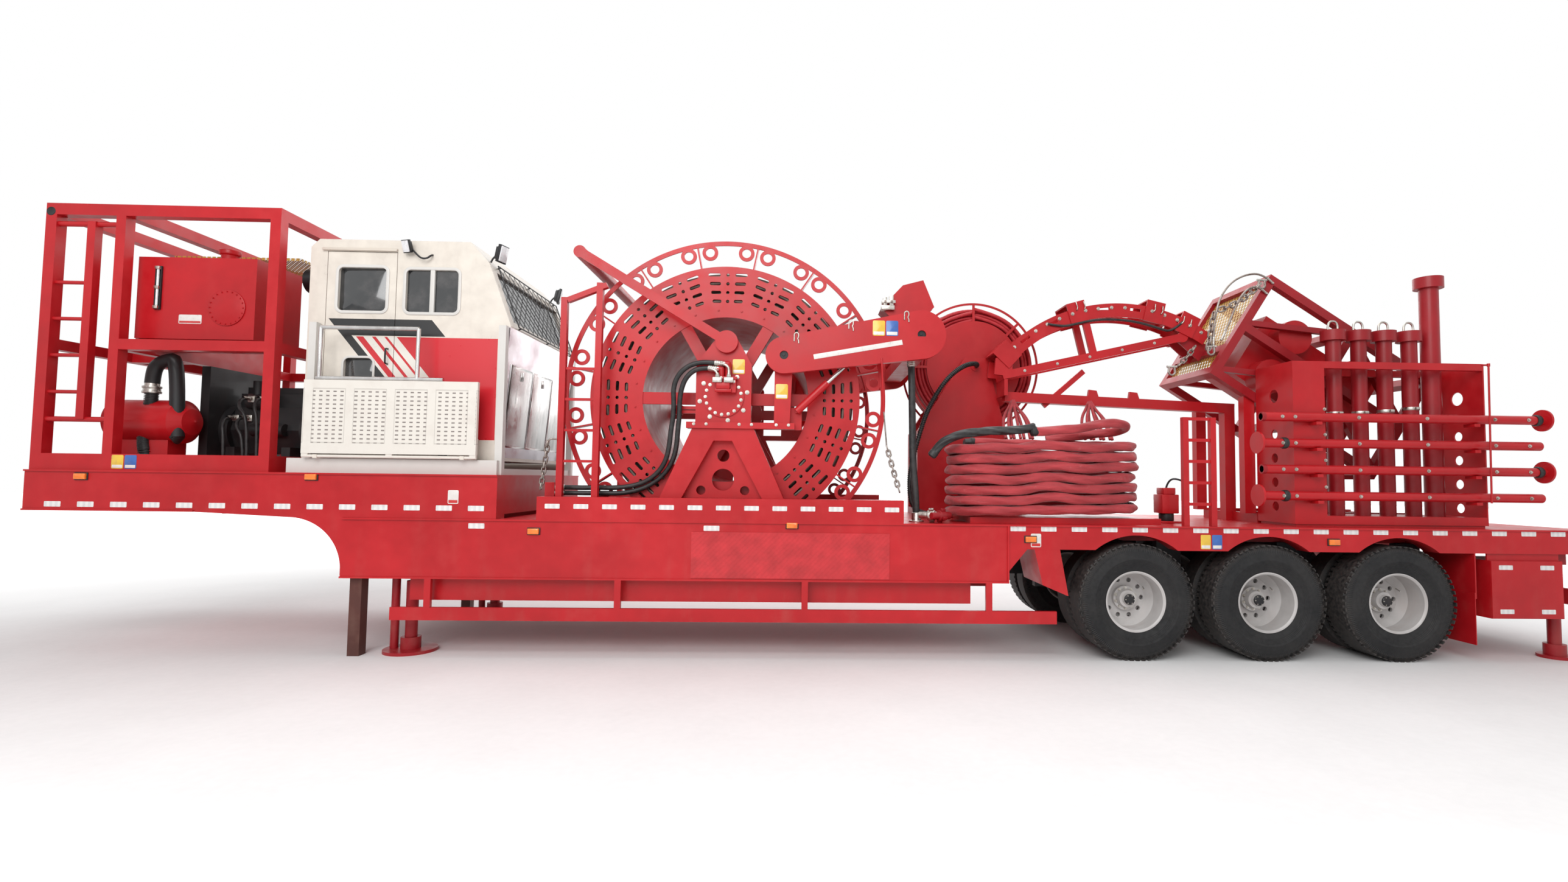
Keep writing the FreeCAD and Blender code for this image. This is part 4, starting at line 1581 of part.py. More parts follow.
def guide_arch():
    """Two curved side plates with roller boxes between them, a chord and a strut."""
    centre_x = value("front + arch_x")
    centre_z = value("arch_z")
    outer = value("arch_radius_out")
    inner = outer - value("arch_depth")
    angles = [math.radians(a) for a in (value("arch_start"), value("arch_end"))]
    middle = sum(angles) / 2

    def point(radius, angle, y=value("arch_side")):
        return FreeCAD.Vector(centre_x + radius * math.cos(angle), y,
                              centre_z + radius * math.sin(angle))

    edges = [
        Part.Arc(point(outer, angles[0]), point(outer, middle), point(outer, angles[1])).toShape(),
        Part.LineSegment(point(outer, angles[1]), point(inner, angles[1])).toShape(),
        Part.Arc(point(inner, angles[1]), point(inner, middle), point(inner, angles[0])).toShape(),
        Part.LineSegment(point(inner, angles[0]), point(outer, angles[0])).toShape(),
    ]
    blade = Part.Face(Part.Wire(edges)).extrude(FreeCAD.Vector(0, value("arch_plate"), 0))
    shapes = [blade, blade.translated(FreeCAD.Vector(0, value("arch_width - arch_plate"), 0))]
    slots = []
    for degrees in (66, 84, 96, 116, 128):
        angle = math.radians(degrees)
        ends = [math.radians(degrees - 2), math.radians(degrees + 2)]
        middle_radius = outer - value("arch_depth") / 2
        half_slot = math.sin(ends[1] - angle) * middle_radius
        slot = Part.makeBox(2 * half_slot, value("arch_width"), value("arch_slot"))
        slot.translate(FreeCAD.Vector(-half_slot, value("arch_side"), 0))
        slot.rotate(FreeCAD.Vector(0, 0, 0), FreeCAD.Vector(0, 1, 0), 90 - degrees)
        slot.translate(point(middle_radius, angle, 0))
        slots.append(slot)
    shapes = [blade.cut(slots) for blade in shapes]
    for degrees in (70, 90, 107, 122, 137):
        shapes.append(Part.makeCylinder(value("arch_pin_radius"), value("arch_width"),
                                        point(outer - value("arch_depth") / 2, math.radians(degrees)),
                                        FreeCAD.Vector(0, 1, 0)))
    for degrees in (63.8, 77.0, 105.9, 136.7):
        shapes += roller_box(point(outer + value("box_rise"), math.radians(degrees), 0), 90 - degrees)
    arch = doc.addObject("Part::Feature", "arch_blades")
    arch.Shape = shapes[0].fuse(shapes[1:])
    start = ("front + chord_start_x", "chord_start_z")
    end = ("front + chord_end_x", "chord_end_z")
    chords = []
    for i, y0 in enumerate(("arch_side", "arch_side + arch_width - chord_width")):
        chords.append(bar(f"arch_chord_{i}", start, end, "chord_depth", "chord_width", y0))
        chords.append(bar(f"arch_strut_{i}", ("front + strut_top_x", "strut_top_z"),
                          ("front + strut_foot_x", "strut_foot_z"), "2 * chord_width", "chord_width", y0))
        chords.append(cylinder(f"arch_hinge_boss_{i}", "2 * arch_pin_radius", "chord_width",
                               (end[0], y0, end[1]), "Y"))
        chords.append(bar(f"arch_toe_{i}", ("front + arch_x - toe_x", "toe_z"), start,
                          "5 * chord_width", "chord_width", y0))
    hinge_pin = cylinder("arch_hinge_pin", "arch_pin_radius", "arch_width",
                         (end[0], "arch_side", end[1]), "Y")
    node("guide_arch", joined("arch_frame", [arch, hinge_pin] + chords))


def racks():
    side = "rack_side"
    pieces = []
    for i, x0 in enumerate(("rack_x", "rack_x + rack_length - rack_plate")):
        pieces.append(plate(f"rack_end_{i}", "YZ",
                            [
                                (side, "rack_bottom"), (side + " + rack_depth", "rack_bottom"),
                                (side + " + rack_depth", "rack_top"), (side, "rack_top"),
                            ], "rack_plate", f"front + {x0}",
                            holes=[(side + " + rack_depth / 2", "rack_eye_z", "rack_eye_radius")] + [
                                (side + " + rack_depth / 2", f"rack_hole_z + {k} * rack_hole_pitch",
                                 "rack_hole_radius")
                                for k in range(4)
                            ]))
    face = box("rack_face", ("rack_face_length", "rack_plate", "rack_top - rack_bottom"),
               ("front + rack_x", side, "rack_bottom"))
    pieces.append(face)
    for k, z0 in enumerate(("rack_bottom", "rack_top - rack_rail")):
        for i, y0 in enumerate((side, side + " + rack_depth - rack_rail")):
            pieces.append(box(f"rack_rail_{k}_{i}", ("rack_length", "rack_rail", "rack_rail"),
                              ("front + rack_x", y0, z0)))
    pieces.append(box("rack_shelf", ("rack_length", "rack_depth", "rack_plate"),
                      ("front + rack_x", side, "rack_bottom + 70")))
    pieces.append(box("rack_sole", ("rack_length - 40", "rack_depth - 40", "rack_bottom - deck_height"),
                      ("front + rack_x + 20", side + " + 20", "deck_height")))
    for i in range(4):
        for k, x0 in enumerate(("160", "rack_length - 220")):
            pieces.append(box(f"leg_bracket_{i}_{k}",
                              ("60", "rack_side + rack_plate - leg_side + leg_radius", "30"),
                              (f"front + rack_x + {x0}", "leg_side - leg_radius",
                               f"leg_lowest_z + {i} * leg_spacing - leg_radius - seat_gap - 30")))
    node("riser_rack", joined("rack_weldment", pieces))

    tubes = []
    stand_on = "rack_bottom + 70 + rack_plate"
    for i in range(int(value("riser_count"))):
        x = f"front + riser_x + {i} * riser_pitch"
        tubes.append(cylinder(f"riser_{i}", "riser_radius", f"riser_top - ({stand_on})",
                              (x, "riser_side", stand_on)))
        tubes.append(cylinder(f"riser_cap_{i}", "riser_cap_radius", "riser_cap_height",
                              (x, "riser_side", "riser_top")))
    tubes.append(cylinder("mast_pipe", "mast_radius", f"mast_top - mast_cap_height - ({stand_on})",
                          ("front + mast_x", "riser_side", stand_on)))
    tubes.append(cylinder("mast_cap", "mast_cap_radius", "mast_cap_height",
                          ("front + mast_x", "riser_side", "mast_top - mast_cap_height")))
    node("riser_pipes", joined("riser_set", tubes))

    legs = []
    for i in range(4):
        z = f"leg_lowest_z + {i} * leg_spacing"
        legs.append(cylinder(f"leg_tube_{i}", "leg_radius", "leg_length",
                             (f"front + leg_front_x + {30 * (i % 2)}", "leg_side", z), "X"))
        legs.append(cylinder(f"leg_pad_{i}", "leg_pad_radius", "20",
                             (f"front + leg_front_x + {30 * (i % 2)}"
                              + (" - 20" if i % 2 == 0 else " + leg_length"), "leg_side", z), "X"))
    node("stabiliser_legs", joined("leg_set", legs))


def deck_ladder():
    pieces = []
    for i, x0 in enumerate(("0", "gate_length - gate_bar")):
        pieces.append(box(f"gate_post_{i}", ("gate_bar", "gate_bar", "gate_top - deck_height"),
                          (f"front + gate_x + {x0}", "gate_side", "deck_height")))
    for i in range(5):
        pieces.append(box(f"gate_rung_{i}", ("gate_length", "gate_bar - 20", "30"),
                          ("front + gate_x", "gate_side + 10", f"gate_top - 30 - {i} * 210")))
    return pieces


# ---------------------------------------------------------------------------------------------
# Build, check and write
# ---------------------------------------------------------------------------------------------

def main():
    for make in (trailer_frame, decks, running_gear, guards, lockers, jacks, power_pack,
                 cabin, reel_skid, reel_stand, reel_drum, levelwind, hold_down, hose_reel, hose_pile,
                 injector, injector_stand, guide_arch, racks):
        make()
    doc.recompute()
    failed = [o.Label for o in doc.Objects if "Invalid" in o.State or "Error" in o.State]
    if failed:
        raise SystemExit(f"objects that failed: {failed}")
    os.makedirs("parts", exist_ok=True)
    for piece in nodes:
        if piece.Shape.isNull() or not piece.Shape.isValid():
            raise SystemExit(f"{piece.Label} has no valid shape")
    for piece in nodes:
        piece.Shape.exportStep(os.path.join("parts", piece.Label + ".step"))
    print(len(nodes), "nodes written")


main()
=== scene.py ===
# %% [markdown]
# # A coiled tubing unit on a three-axle trailer
# The frame comes packed, with every plate, tube and wheel already at its size and place. This lesson gives
# it its paint, rubber and glass, and adds the small pieces: hoses, bolts, lamps, tapes, chains and ties.

# %% Load the frame
import math
import random

import bpy
from mathutils import Matrix, Vector


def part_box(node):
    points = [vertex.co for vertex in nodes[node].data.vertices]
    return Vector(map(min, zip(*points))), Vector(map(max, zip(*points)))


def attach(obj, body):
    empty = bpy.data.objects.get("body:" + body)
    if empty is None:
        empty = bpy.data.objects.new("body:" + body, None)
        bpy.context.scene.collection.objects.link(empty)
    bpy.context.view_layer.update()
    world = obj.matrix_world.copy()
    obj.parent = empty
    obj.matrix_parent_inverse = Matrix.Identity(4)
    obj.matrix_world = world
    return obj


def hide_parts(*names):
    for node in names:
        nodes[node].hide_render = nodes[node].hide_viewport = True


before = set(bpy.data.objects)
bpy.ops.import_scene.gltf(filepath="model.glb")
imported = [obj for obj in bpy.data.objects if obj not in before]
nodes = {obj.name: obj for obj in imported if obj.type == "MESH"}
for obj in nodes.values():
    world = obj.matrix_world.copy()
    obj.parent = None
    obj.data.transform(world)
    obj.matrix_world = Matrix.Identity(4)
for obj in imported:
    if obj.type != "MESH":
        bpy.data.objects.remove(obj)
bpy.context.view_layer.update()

print("pieces in the frame:", len(nodes))

# %% [markdown]
# ## The camera
# A camera held at chest height, eight metres from the side, sees a little of the deck from below. A camera
# is three directions in a matrix: right, up, and backwards. Writing them out keeps the small roll exact,
# where three angles would have to be guessed.

# %% Place the camera
turn, lift, roll = 0.0298, 0.0513, 0.0123
ahead = Vector((math.sin(turn) * math.cos(lift), math.cos(turn) * math.cos(lift), math.sin(lift)))
level = Vector((math.cos(turn), -math.sin(turn), 0))
right = math.cos(roll) * level + math.sin(roll) * level.cross(ahead)
upward = right.cross(ahead)

camera = bpy.data.objects.new("camera", bpy.data.cameras.new("camera"))
bpy.context.scene.collection.objects.link(camera)
camera.data.sensor_width = 36
camera.data.lens = 16.6067
camera.data.shift_x = -0.026747
eye = (-0.343, -8.222, 1.728)
placing = Matrix((right, upward, -ahead)).transposed().to_4x4()
placing.translation = eye
camera.matrix_world = placing
bpy.context.scene.camera = camera
print("lens in mm:", round(camera.data.lens, 2))

# %% [markdown]
# ## Light and floor
# Paint this saturated needs soft light from all sides, or it turns black in the corners. A pale world does
# most of the work, and two wide lamps give the tubes a bright side and a dark side. The world shows white
# to the eye and to mirrors, but lights the steel more gently, which Light Path tells apart.


# %% Light the yard
def wide_lamp(name, place, aim, width, power):
    """An area lamp, square, aimed at a point."""
    lamp = bpy.data.objects.new(name, bpy.data.lights.new(name, "AREA"))
    bpy.context.scene.collection.objects.link(lamp)
    lamp.data.size = width
    lamp.data.energy = power
    lamp.location = place
    lamp.rotation_euler = (Vector(aim) - Vector(place)).to_track_quat("-Z", "Y").to_euler()


world = bpy.data.worlds.new("yard")
world.use_nodes = True
bpy.context.scene.world = world
LIT_BY, SEEN_AS = 0.56, 1.0
kit, links = world.node_tree.nodes, world.node_tree.links
backdrop = kit["Background"]
sight = kit.new("ShaderNodeLightPath")
seen = sight.outputs["Is Camera Ray"]
for kind in ("Is Transmission Ray", "Is Glossy Ray"):
    either = kit.new("ShaderNodeMath")
    either.operation = "MAXIMUM"
    links.new(seen, either.inputs[0])
    links.new(sight.outputs[kind], either.inputs[1])
    seen = either.outputs[0]
strength = kit.new("ShaderNodeMapRange")
strength.inputs["To Min"].default_value = LIT_BY
strength.inputs["To Max"].default_value = SEEN_AS
links.new(seen, strength.inputs["Value"])
links.new(strength.outputs[0], backdrop.inputs["Strength"])
backdrop.inputs["Color"].default_value = (1, 1, 1, 1)

wide_lamp("sky_front", (-3, -12, 9), (0, 0, 1.5), 9, 1250)
wide_lamp("sky_above", (2, 3, 13), (0, 0, 1), 12, 900)
wide_lamp("sky_behind", (5, 12, 7), (0, 0, 1.5), 9, 500)
print("lamps:", len(bpy.data.lights))

# %% [markdown]
# ## Starting shapes
# Each new piece starts as a primitive at its size and place, is shaped in edit mode, and ends with its
# place in its mesh. Two helpers start a block and a round, one picks faces or edges by where they are, and
# one finishes: bevel, smooth, apply, paint, and hand over to the body that it moves with.


# %% Start, pick and finish
def leave_all():
    """Back to object mode, with nothing selected."""
    if bpy.context.object and bpy.context.object.mode != "OBJECT":
        bpy.ops.object.mode_set(mode="OBJECT")
    bpy.ops.object.select_all(action="DESELECT")


def take(piece):
    """This piece alone selected, and active."""
    leave_all()
    bpy.context.view_layer.objects.active = piece
    piece.select_set(True)


def named(name):
    piece = bpy.context.object
    piece.name = name
    piece.data.name = name
    return piece


def start_block(name, low, high):
    """A block from its low corner to its high corner."""
    leave_all()
    middle = [(a + b) / 2 for a, b in zip(low, high)]
    size = [b - a for a, b in zip(low, high)]
    bpy.ops.mesh.primitive_cube_add(size=1, location=middle, scale=size)
    bpy.ops.object.transform_apply(location=True, rotation=True, scale=True)
    return named(name)


def start_round(name, foot, head, radius, sides=32, top=None):
    """A cylinder, or a cone with a top radius, between two points."""
    leave_all()
    foot, head = Vector(foot), Vector(head)
    along = head - foot
    bpy.ops.mesh.primitive_cone_add(
        vertices=sides, radius1=radius, radius2=radius if top is None else top, depth=along.length,
        location=(foot + head) / 2, rotation=along.to_track_quat("Z", "Y").to_euler())
    bpy.ops.object.transform_apply(location=True, rotation=True, scale=True)
    return named(name)


def pick(piece, kind, test):
    """In edit mode, selects the faces or edges whose middle and direction pass a test."""
    take(piece)
    bpy.ops.object.mode_set(mode="EDIT")
    bpy.ops.mesh.select_mode(type=kind)
    bpy.ops.mesh.select_all(action="DESELECT")
    bpy.ops.object.mode_set(mode="OBJECT")
    mesh = piece.data
    if kind == "FACE":
        for face in mesh.polygons:
            face.select = bool(test(face.center, face.normal))
    else:
        for edge in mesh.edges:
            a, b = (mesh.vertices[i].co for i in edge.vertices)
            edge.select = bool(test((a + b) / 2, (b - a).normalized()))
    bpy.ops.object.mode_set(mode="EDIT")


def finish_piece(piece, body, finish, bevel=0.0, steps=2, angle=35):
    """Bevels, smooths and paints a piece, and lets it ride on its body."""
    take(piece)
    if bevel:
        edges = piece.modifiers.new("edges", "BEVEL")
        edges.width = bevel
        edges.segments = steps
        edges.limit_method = "ANGLE"
        bpy.ops.object.modifier_apply(modifier="edges")
    bpy.ops.object.transform_apply(location=True, rotation=True, scale=True)
    bpy.ops.object.shade_smooth_by_angle(angle=math.radians(angle))
    piece.data.materials.clear()
    piece.data.materials.append(finish)
    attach(piece, body)
    return piece


def copy_mesh(piece, name, change):
    """A copy with its own mesh, moved or turned by a matrix."""
    twin = bpy.data.objects.new(name, piece.data.copy())
    bpy.context.scene.collection.objects.link(twin)
    twin.data.transform(change)
    if change.determinant() < 0:
        twin.data.flip_normals()
    return twin


def join_all(name, pieces):
    """Several meshes made into one object."""
    leave_all()
    for piece in pieces:
        piece.select_set(True)
    bpy.context.view_layer.objects.active = pieces[0]
    if len(pieces) > 1:
        bpy.ops.object.join()
    return named(name)


def at_each(piece, name, changes):
    """The same shape at each of several places, as one object."""
    row = [copy_mesh(piece, name, change) for change in changes]
    bpy.data.objects.remove(piece)
    return join_all(name, row)


TO_BOTH_SIDES = Matrix.Identity(4), Matrix.Diagonal((1, -1, 1, 1))


def on_both_sides(piece, name):
    """The shape and its mirror image across the trailer's middle."""
    return at_each(piece, name, TO_BOTH_SIDES)


print("helpers are ready")

# %% [markdown]
# ## Sums on sockets
# A finish is a small sum of patterns: base colour, less dirt, plus wear. A wrapped socket lets Python write
# such a sum directly, and each sign adds its Math node. Every other node comes from one method, which takes
# the node's type, its settings and its inputs.


# %% Wire and finish
class Wire:
    """A node's output that can stand in a sum."""

    def __init__(self, finish, socket):
        self.finish = finish
        self.socket = socket

    def maths(self, operation, first, second):
        return self.finish.add("ShaderNodeMath", {"operation": operation}, {0: first, 1: second})

    def __add__(self, other):
        return self.maths("ADD", self, other)

    __radd__ = __add__

    def __mul__(self, other):
        return self.maths("MULTIPLY", self, other)

    __rmul__ = __mul__

    def __sub__(self, other):
        return self.maths("SUBTRACT", self, other)

    def __rsub__(self, other):
        return self.maths("SUBTRACT", other, self)

    def __truediv__(self, other):
        return self.maths("DIVIDE", self, other)

    def __gt__(self, other):
        return self.maths("GREATER_THAN", self, other)

    def __lt__(self, other):
        return self.maths("LESS_THAN", self, other)

    def __mod__(self, other):
        return self.maths("FLOORED_MODULO", self, other)

    def sine(self):
        return self.finish.add("ShaderNodeMath", {"operation": "SINE"}, {0: self})


class Finish:
    """A material with a Principled shader, and the sums that feed it."""

    def __init__(self, name, **constants):
        self.material = bpy.data.materials.new(name)
        self.material.use_nodes = True
        self.tree = self.material.node_tree
        self.shader = self.tree.nodes["Principled BSDF"]
        for socket, value in constants.items():
            self.shader.inputs[socket.replace("_", " ")].default_value = value
        self.place = self.add("ShaderNodeTexCoord", output="Object")

    def add(self, kind, settings=None, inputs=None, output=0):
        """A node of any type: settings first, then numbers or wires into its sockets."""
        node = self.tree.nodes.new(kind)
        for name, value in (settings or {}).items():
            setattr(node, name, value)
        for name, value in (inputs or {}).items():
            if isinstance(value, Wire):
                self.tree.links.new(value.socket, node.inputs[name])
            else:
                node.inputs[name].default_value = value
        return Wire(self, node.outputs[output])

    def feed(self, **wires):
        """Links wires to the shader's sockets."""
        for socket, wire in wires.items():
            self.tree.links.new(wire.socket, self.shader.inputs[socket.replace("_", " ")])
        return self.material

    def axes(self):
        """The place along X, Y and Z as three numbers."""
        split = {"Vector": self.place}
        return [self.add("ShaderNodeSeparateXYZ", inputs=split, output=name) for name in "XYZ"]

    def stretched(self, scale):
        """The place, with each axis drawn out by its own share."""
        return self.add("ShaderNodeMapping", inputs={"Vector": self.place, "Scale": scale})

    def clouds(self, scale, detail=4.0, roughness=0.55, vector=None):
        """Soft noise from 0 to 1."""
        return self.add("ShaderNodeTexNoise", inputs={
            "Vector": vector or self.place, "Scale": scale, "Detail": detail, "Roughness": roughness})

    def spread(self, wire, low, high, start=0.0, end=1.0):
        """A number carried from one range to another, and held there."""
        return self.add("ShaderNodeMapRange", inputs={
            "Value": wire, "From Min": low, "From Max": high, "To Min": start, "To Max": end})

    def mix(self, share, *colours):
        """Two colours mixed by a share, each a wire or three numbers."""
        first, second = (colour if isinstance(colour, Wire) else (*colour, 1.0) for colour in colours)
        return self.add("ShaderNodeMix", {"data_type": "RGBA"}, {0: share, 6: first, 7: second}, output=2)

    def bump(self, height, distance, strength=1.0, under=None):
        """Small relief from a height, over another relief."""
        inputs = {"Height": height, "Distance": distance, "Strength": strength}
        if under:
            inputs["Normal"] = under
        return self.add("ShaderNodeBump", inputs=inputs)


print("wires are ready")

# %% [markdown]
# ## Gloss paint over steel plate
# The unit is sprayed in one red after welding. Up close the coat has a faint orange peel, broad patches a
# shade apart, dust that settles low down and runs in streaks, and small chips. One recipe takes a colour
# and gives all of that, so red, cream, white, grey and black paint wear alike.


# %% Paint recipe
def paint(name, colour, shade, gloss=0.30, dust=0.30, chips=0.5, peel=0.0006):
    """Sprayed paint: a colour, a darker shade for its patches, dust low down, and chips."""
    finish = Finish(name, Coat_Weight=0.08, Coat_Roughness=0.12, Specular_IOR_Level=0.36)
    _, _, height = finish.axes()
    broad = finish.clouds(0.9, 3)
    fine = finish.clouds(7, 5)
    streaks = finish.clouds(6, 4, vector=finish.stretched((1, 1, 0.12)))
    coat = finish.mix(finish.spread(broad * 0.7 + fine * 0.3, 0.35, 0.68), shade, colour)
    low_down = finish.spread(height, 0.2, 1.5, 1.0, 0.22)
    dirt = finish.spread(streaks * 0.6 + fine * 0.4, 0.50, 0.80) * low_down * dust
    coat = finish.mix(dirt, coat, (0.24, 0.15, 0.12))
    spots = finish.clouds(38, 6, 0.7)
    chipped = finish.spread(spots, 0.735, 0.75) * chips
    coat = finish.mix(chipped, coat, (0.09, 0.05, 0.045))
    skin = finish.bump(finish.clouds(160, 2), peel, 0.35)
    skin = finish.bump(chipped * -1, 0.0006, 0.6, skin)
    skin = finish.bump(finish.clouds(3.5, 2), 0.004, 0.3, skin)
    return finish.feed(
        Base_Color=coat,
        Roughness=finish.spread(fine, 0.3, 0.7, gloss, gloss + 0.16) + dirt * 0.45 + chipped * 0.3,
        Normal=skin)


red_paint = paint("red_gloss", (0.54, 0.010, 0.016), (0.40, 0.006, 0.010))
old_red_paint = paint("red_older_coat", (0.38, 0.010, 0.018), (0.25, 0.006, 0.010), gloss=0.36, dust=0.4)
cream_paint = paint("cream_gloss", (0.63, 0.56, 0.485), (0.55, 0.49, 0.42), dust=0.12, chips=0.15)
white_paint = paint("white_gloss", (0.68, 0.66, 0.63), (0.60, 0.58, 0.55), dust=0.2, chips=0.3)
black_paint = paint("black_satin", (0.018, 0.018, 0.02), (0.008, 0.008, 0.01), gloss=0.36, dust=0.18)
print("paints:", len(bpy.data.materials))

# %% [markdown]
# ## Rubber, steel, glass and cloth
# Everything that isn't paint gets its own small sum. Rings on a tyre need the distance from the nearest
# axle, and a modulo on the axle pitch gives that for all three axles at once. Cloth gets its weave from two
# crossed waves, and mill scale its mottling from noise of two sizes.

# %% Other finishes
AXLE_X, AXLE_PITCH, AXLE_Z = 2.905, 1.31, 0.5625


def around_axle(finish):
    """Distance from the nearest axle, and the angle round it."""
    x, _, z = finish.axes()
    across = (x - (AXLE_X - AXLE_PITCH / 2)) % AXLE_PITCH - AXLE_PITCH / 2
    rise = z - AXLE_Z
    reach = finish.add("ShaderNodeMath", {"operation": "SQRT"}, {0: across * across + rise * rise})
    return reach, finish.add("ShaderNodeMath", {"operation": "ARCTAN2"}, {0: rise, 1: across})


def tyre_rubber():
    """Black rubber: fine rings and radial ribs on the sidewall, and dust on the tread."""
    finish = Finish("tyre_rubber", Specular_IOR_Level=0.35)
    reach, angle = around_axle(finish)
    fine = finish.clouds(30, 5)
    broad = finish.clouds(3, 3)
    base = finish.mix(finish.spread(broad, 0.35, 0.7), (0.010, 0.010, 0.011), (0.022, 0.021, 0.021))
    dusty = finish.spread(reach, 0.5, 0.56) * finish.spread(fine, 0.35, 0.7) * 0.5
    base = finish.mix(dusty, base, (0.12, 0.10, 0.09))
    rings = (reach * 520).sine()
    ribs = (angle * 180).sine()
    on_wall = (reach > 0.35) * (reach < 0.40)
    shoulder = (reach > 0.49) * (reach < 0.53)
    skin = finish.bump(rings * on_wall + ribs * shoulder * 1.6, 0.0016, 0.7)
    skin = finish.bump(fine, 0.0012, 0.4, skin)
    return finish.feed(Base_Color=base, Roughness=finish.spread(fine, 0.3, 0.7, 0.55, 0.8), Normal=skin)


def bare_metal(name, colour, dark, low, high, scale=12, shine=1.0, brushed=(1, 1, 1)):
    """Metal with brush marks, smears and darker patches."""
    finish = Finish(name, Metallic=shine)
    smear = finish.clouds(scale, 5, vector=finish.stretched(brushed))
    patch = finish.clouds(scale / 5, 3)
    tint = finish.mix(finish.spread(smear * 0.5 + patch * 0.5, 0.35, 0.65), dark, colour)
    skin = finish.bump(smear, 0.0005, 0.3)
    return finish.feed(Base_Color=tint, Roughness=finish.spread(smear, 0.3, 0.7, low, high), Normal=skin)


def rubber(name, colour, pale, gloss):
    """Hose rubber with scuffs."""
    finish = Finish(name, Specular_IOR_Level=0.4)
    scuff = finish.clouds(22, 6, 0.65)
    broad = finish.clouds(2.5, 3)
    share = finish.spread(scuff * 0.6 + broad * 0.4, 0.4, 0.72)
    return finish.feed(Base_Color=finish.mix(share, colour, pale), Normal=finish.bump(scuff, 0.0012, 0.4),
                       Roughness=finish.spread(scuff, 0.3, 0.75, gloss, gloss + 0.25))


def woven_sheath():
    """A woven plastic sheath: crossed threads, long folds, fading, painted shade in the folds' hollows, and
    dirt.
    """
    finish = Finish("woven_sheath", Sheen_Weight=0.25, Sheen_Roughness=0.5)
    x, y, z = finish.axes()
    warp = ((x + z * 0.6) * 900).sine()
    weft = ((z - x * 0.6 + y) * 900).sine()
    folds = finish.clouds(9, 5, 0.6, finish.stretched((0.35, 1, 2.4)))
    fade = finish.clouds(1.7, 3)
    # The red darkens partly with real fading and partly where the folds sink: painted shade in the fold
    # hollows.
    cloth = finish.mix(finish.spread(fade * 0.5 + folds * 0.5, 0.36, 0.66),
                       (0.27, 0.012, 0.018), (0.52, 0.045, 0.055))
    dirt = finish.spread(finish.clouds(14, 6, 0.7), 0.6, 0.8) * 0.45
    cloth = finish.mix(dirt, cloth, (0.42, 0.22, 0.19))
    skin = finish.bump(folds, 0.02, 0.8)
    skin = finish.bump(warp * weft, 0.0006, 0.5, skin)
    return finish.feed(Base_Color=cloth, Roughness=finish.spread(folds, 0.3, 0.7, 0.52, 0.75), Normal=skin)


def mesh_coat(name, colour, shade, pitch, share):
    """Painted mesh: the holes are cut by Alpha from two crossed sets of lines."""
    finish = Finish(name, Roughness=0.5)
    x, y, _ = finish.axes()
    gap = ((x + y) / pitch % 1 > share) * ((x - y) / pitch % 1 > share)
    dirt = finish.clouds(9, 5)
    coat = finish.mix(finish.spread(dirt, 0.35, 0.7), shade, colour)
    skin = finish.bump(dirt, 0.002, 0.4)
    return finish.feed(Base_Color=coat, Alpha=1 - gap, Normal=skin)


def glossy_glass(name, colour, haze):
    """Dark tinted glass with smears of a paler haze."""
    finish = Finish(name, Specular_IOR_Level=0.8, Coat_Weight=0.6, Coat_Roughness=0.03)
    smear = finish.clouds(5, 5, 0.6)
    return finish.feed(Base_Color=finish.mix(finish.spread(smear, 0.45, 0.75), colour, haze),
                       Roughness=finish.spread(smear, 0.35, 0.75, 0.04, 0.16),
                       Normal=finish.bump(finish.clouds(2, 2), 0.004, 0.15))


def chequer_paint():
    """Red paint over chequer plate: raised lozenges that lean two ways in turn."""
    finish = Finish("chequer_red", Coat_Weight=0.25, Coat_Roughness=0.14)
    x, _, z = finish.axes()
    bars = []
    for lean in (1, -1):
        a = (x + z * lean) / 0.05 % 1 - 0.5
        b = (x - z * lean) / 0.05 + 0.5 * (lean < 0)
        b = b % 1 - 0.5
        bars.append((a * a < 0.012) * (b * b < 0.075))
    relief = bars[0] + bars[1]
    fine = finish.clouds(7, 5)
    worn = finish.spread(finish.clouds(30, 5, 0.7), 0.6, 0.7) * relief * 0.35
    coat = finish.mix(finish.spread(fine, 0.35, 0.68), (0.44, 0.009, 0.014), (0.60, 0.016, 0.024))
    coat = finish.mix(worn, coat, (0.30, 0.05, 0.05))
    return finish.feed(Base_Color=coat, Roughness=finish.spread(fine, 0.3, 0.7, 0.3, 0.46),
                       Normal=finish.bump(relief, 0.003, 0.9))


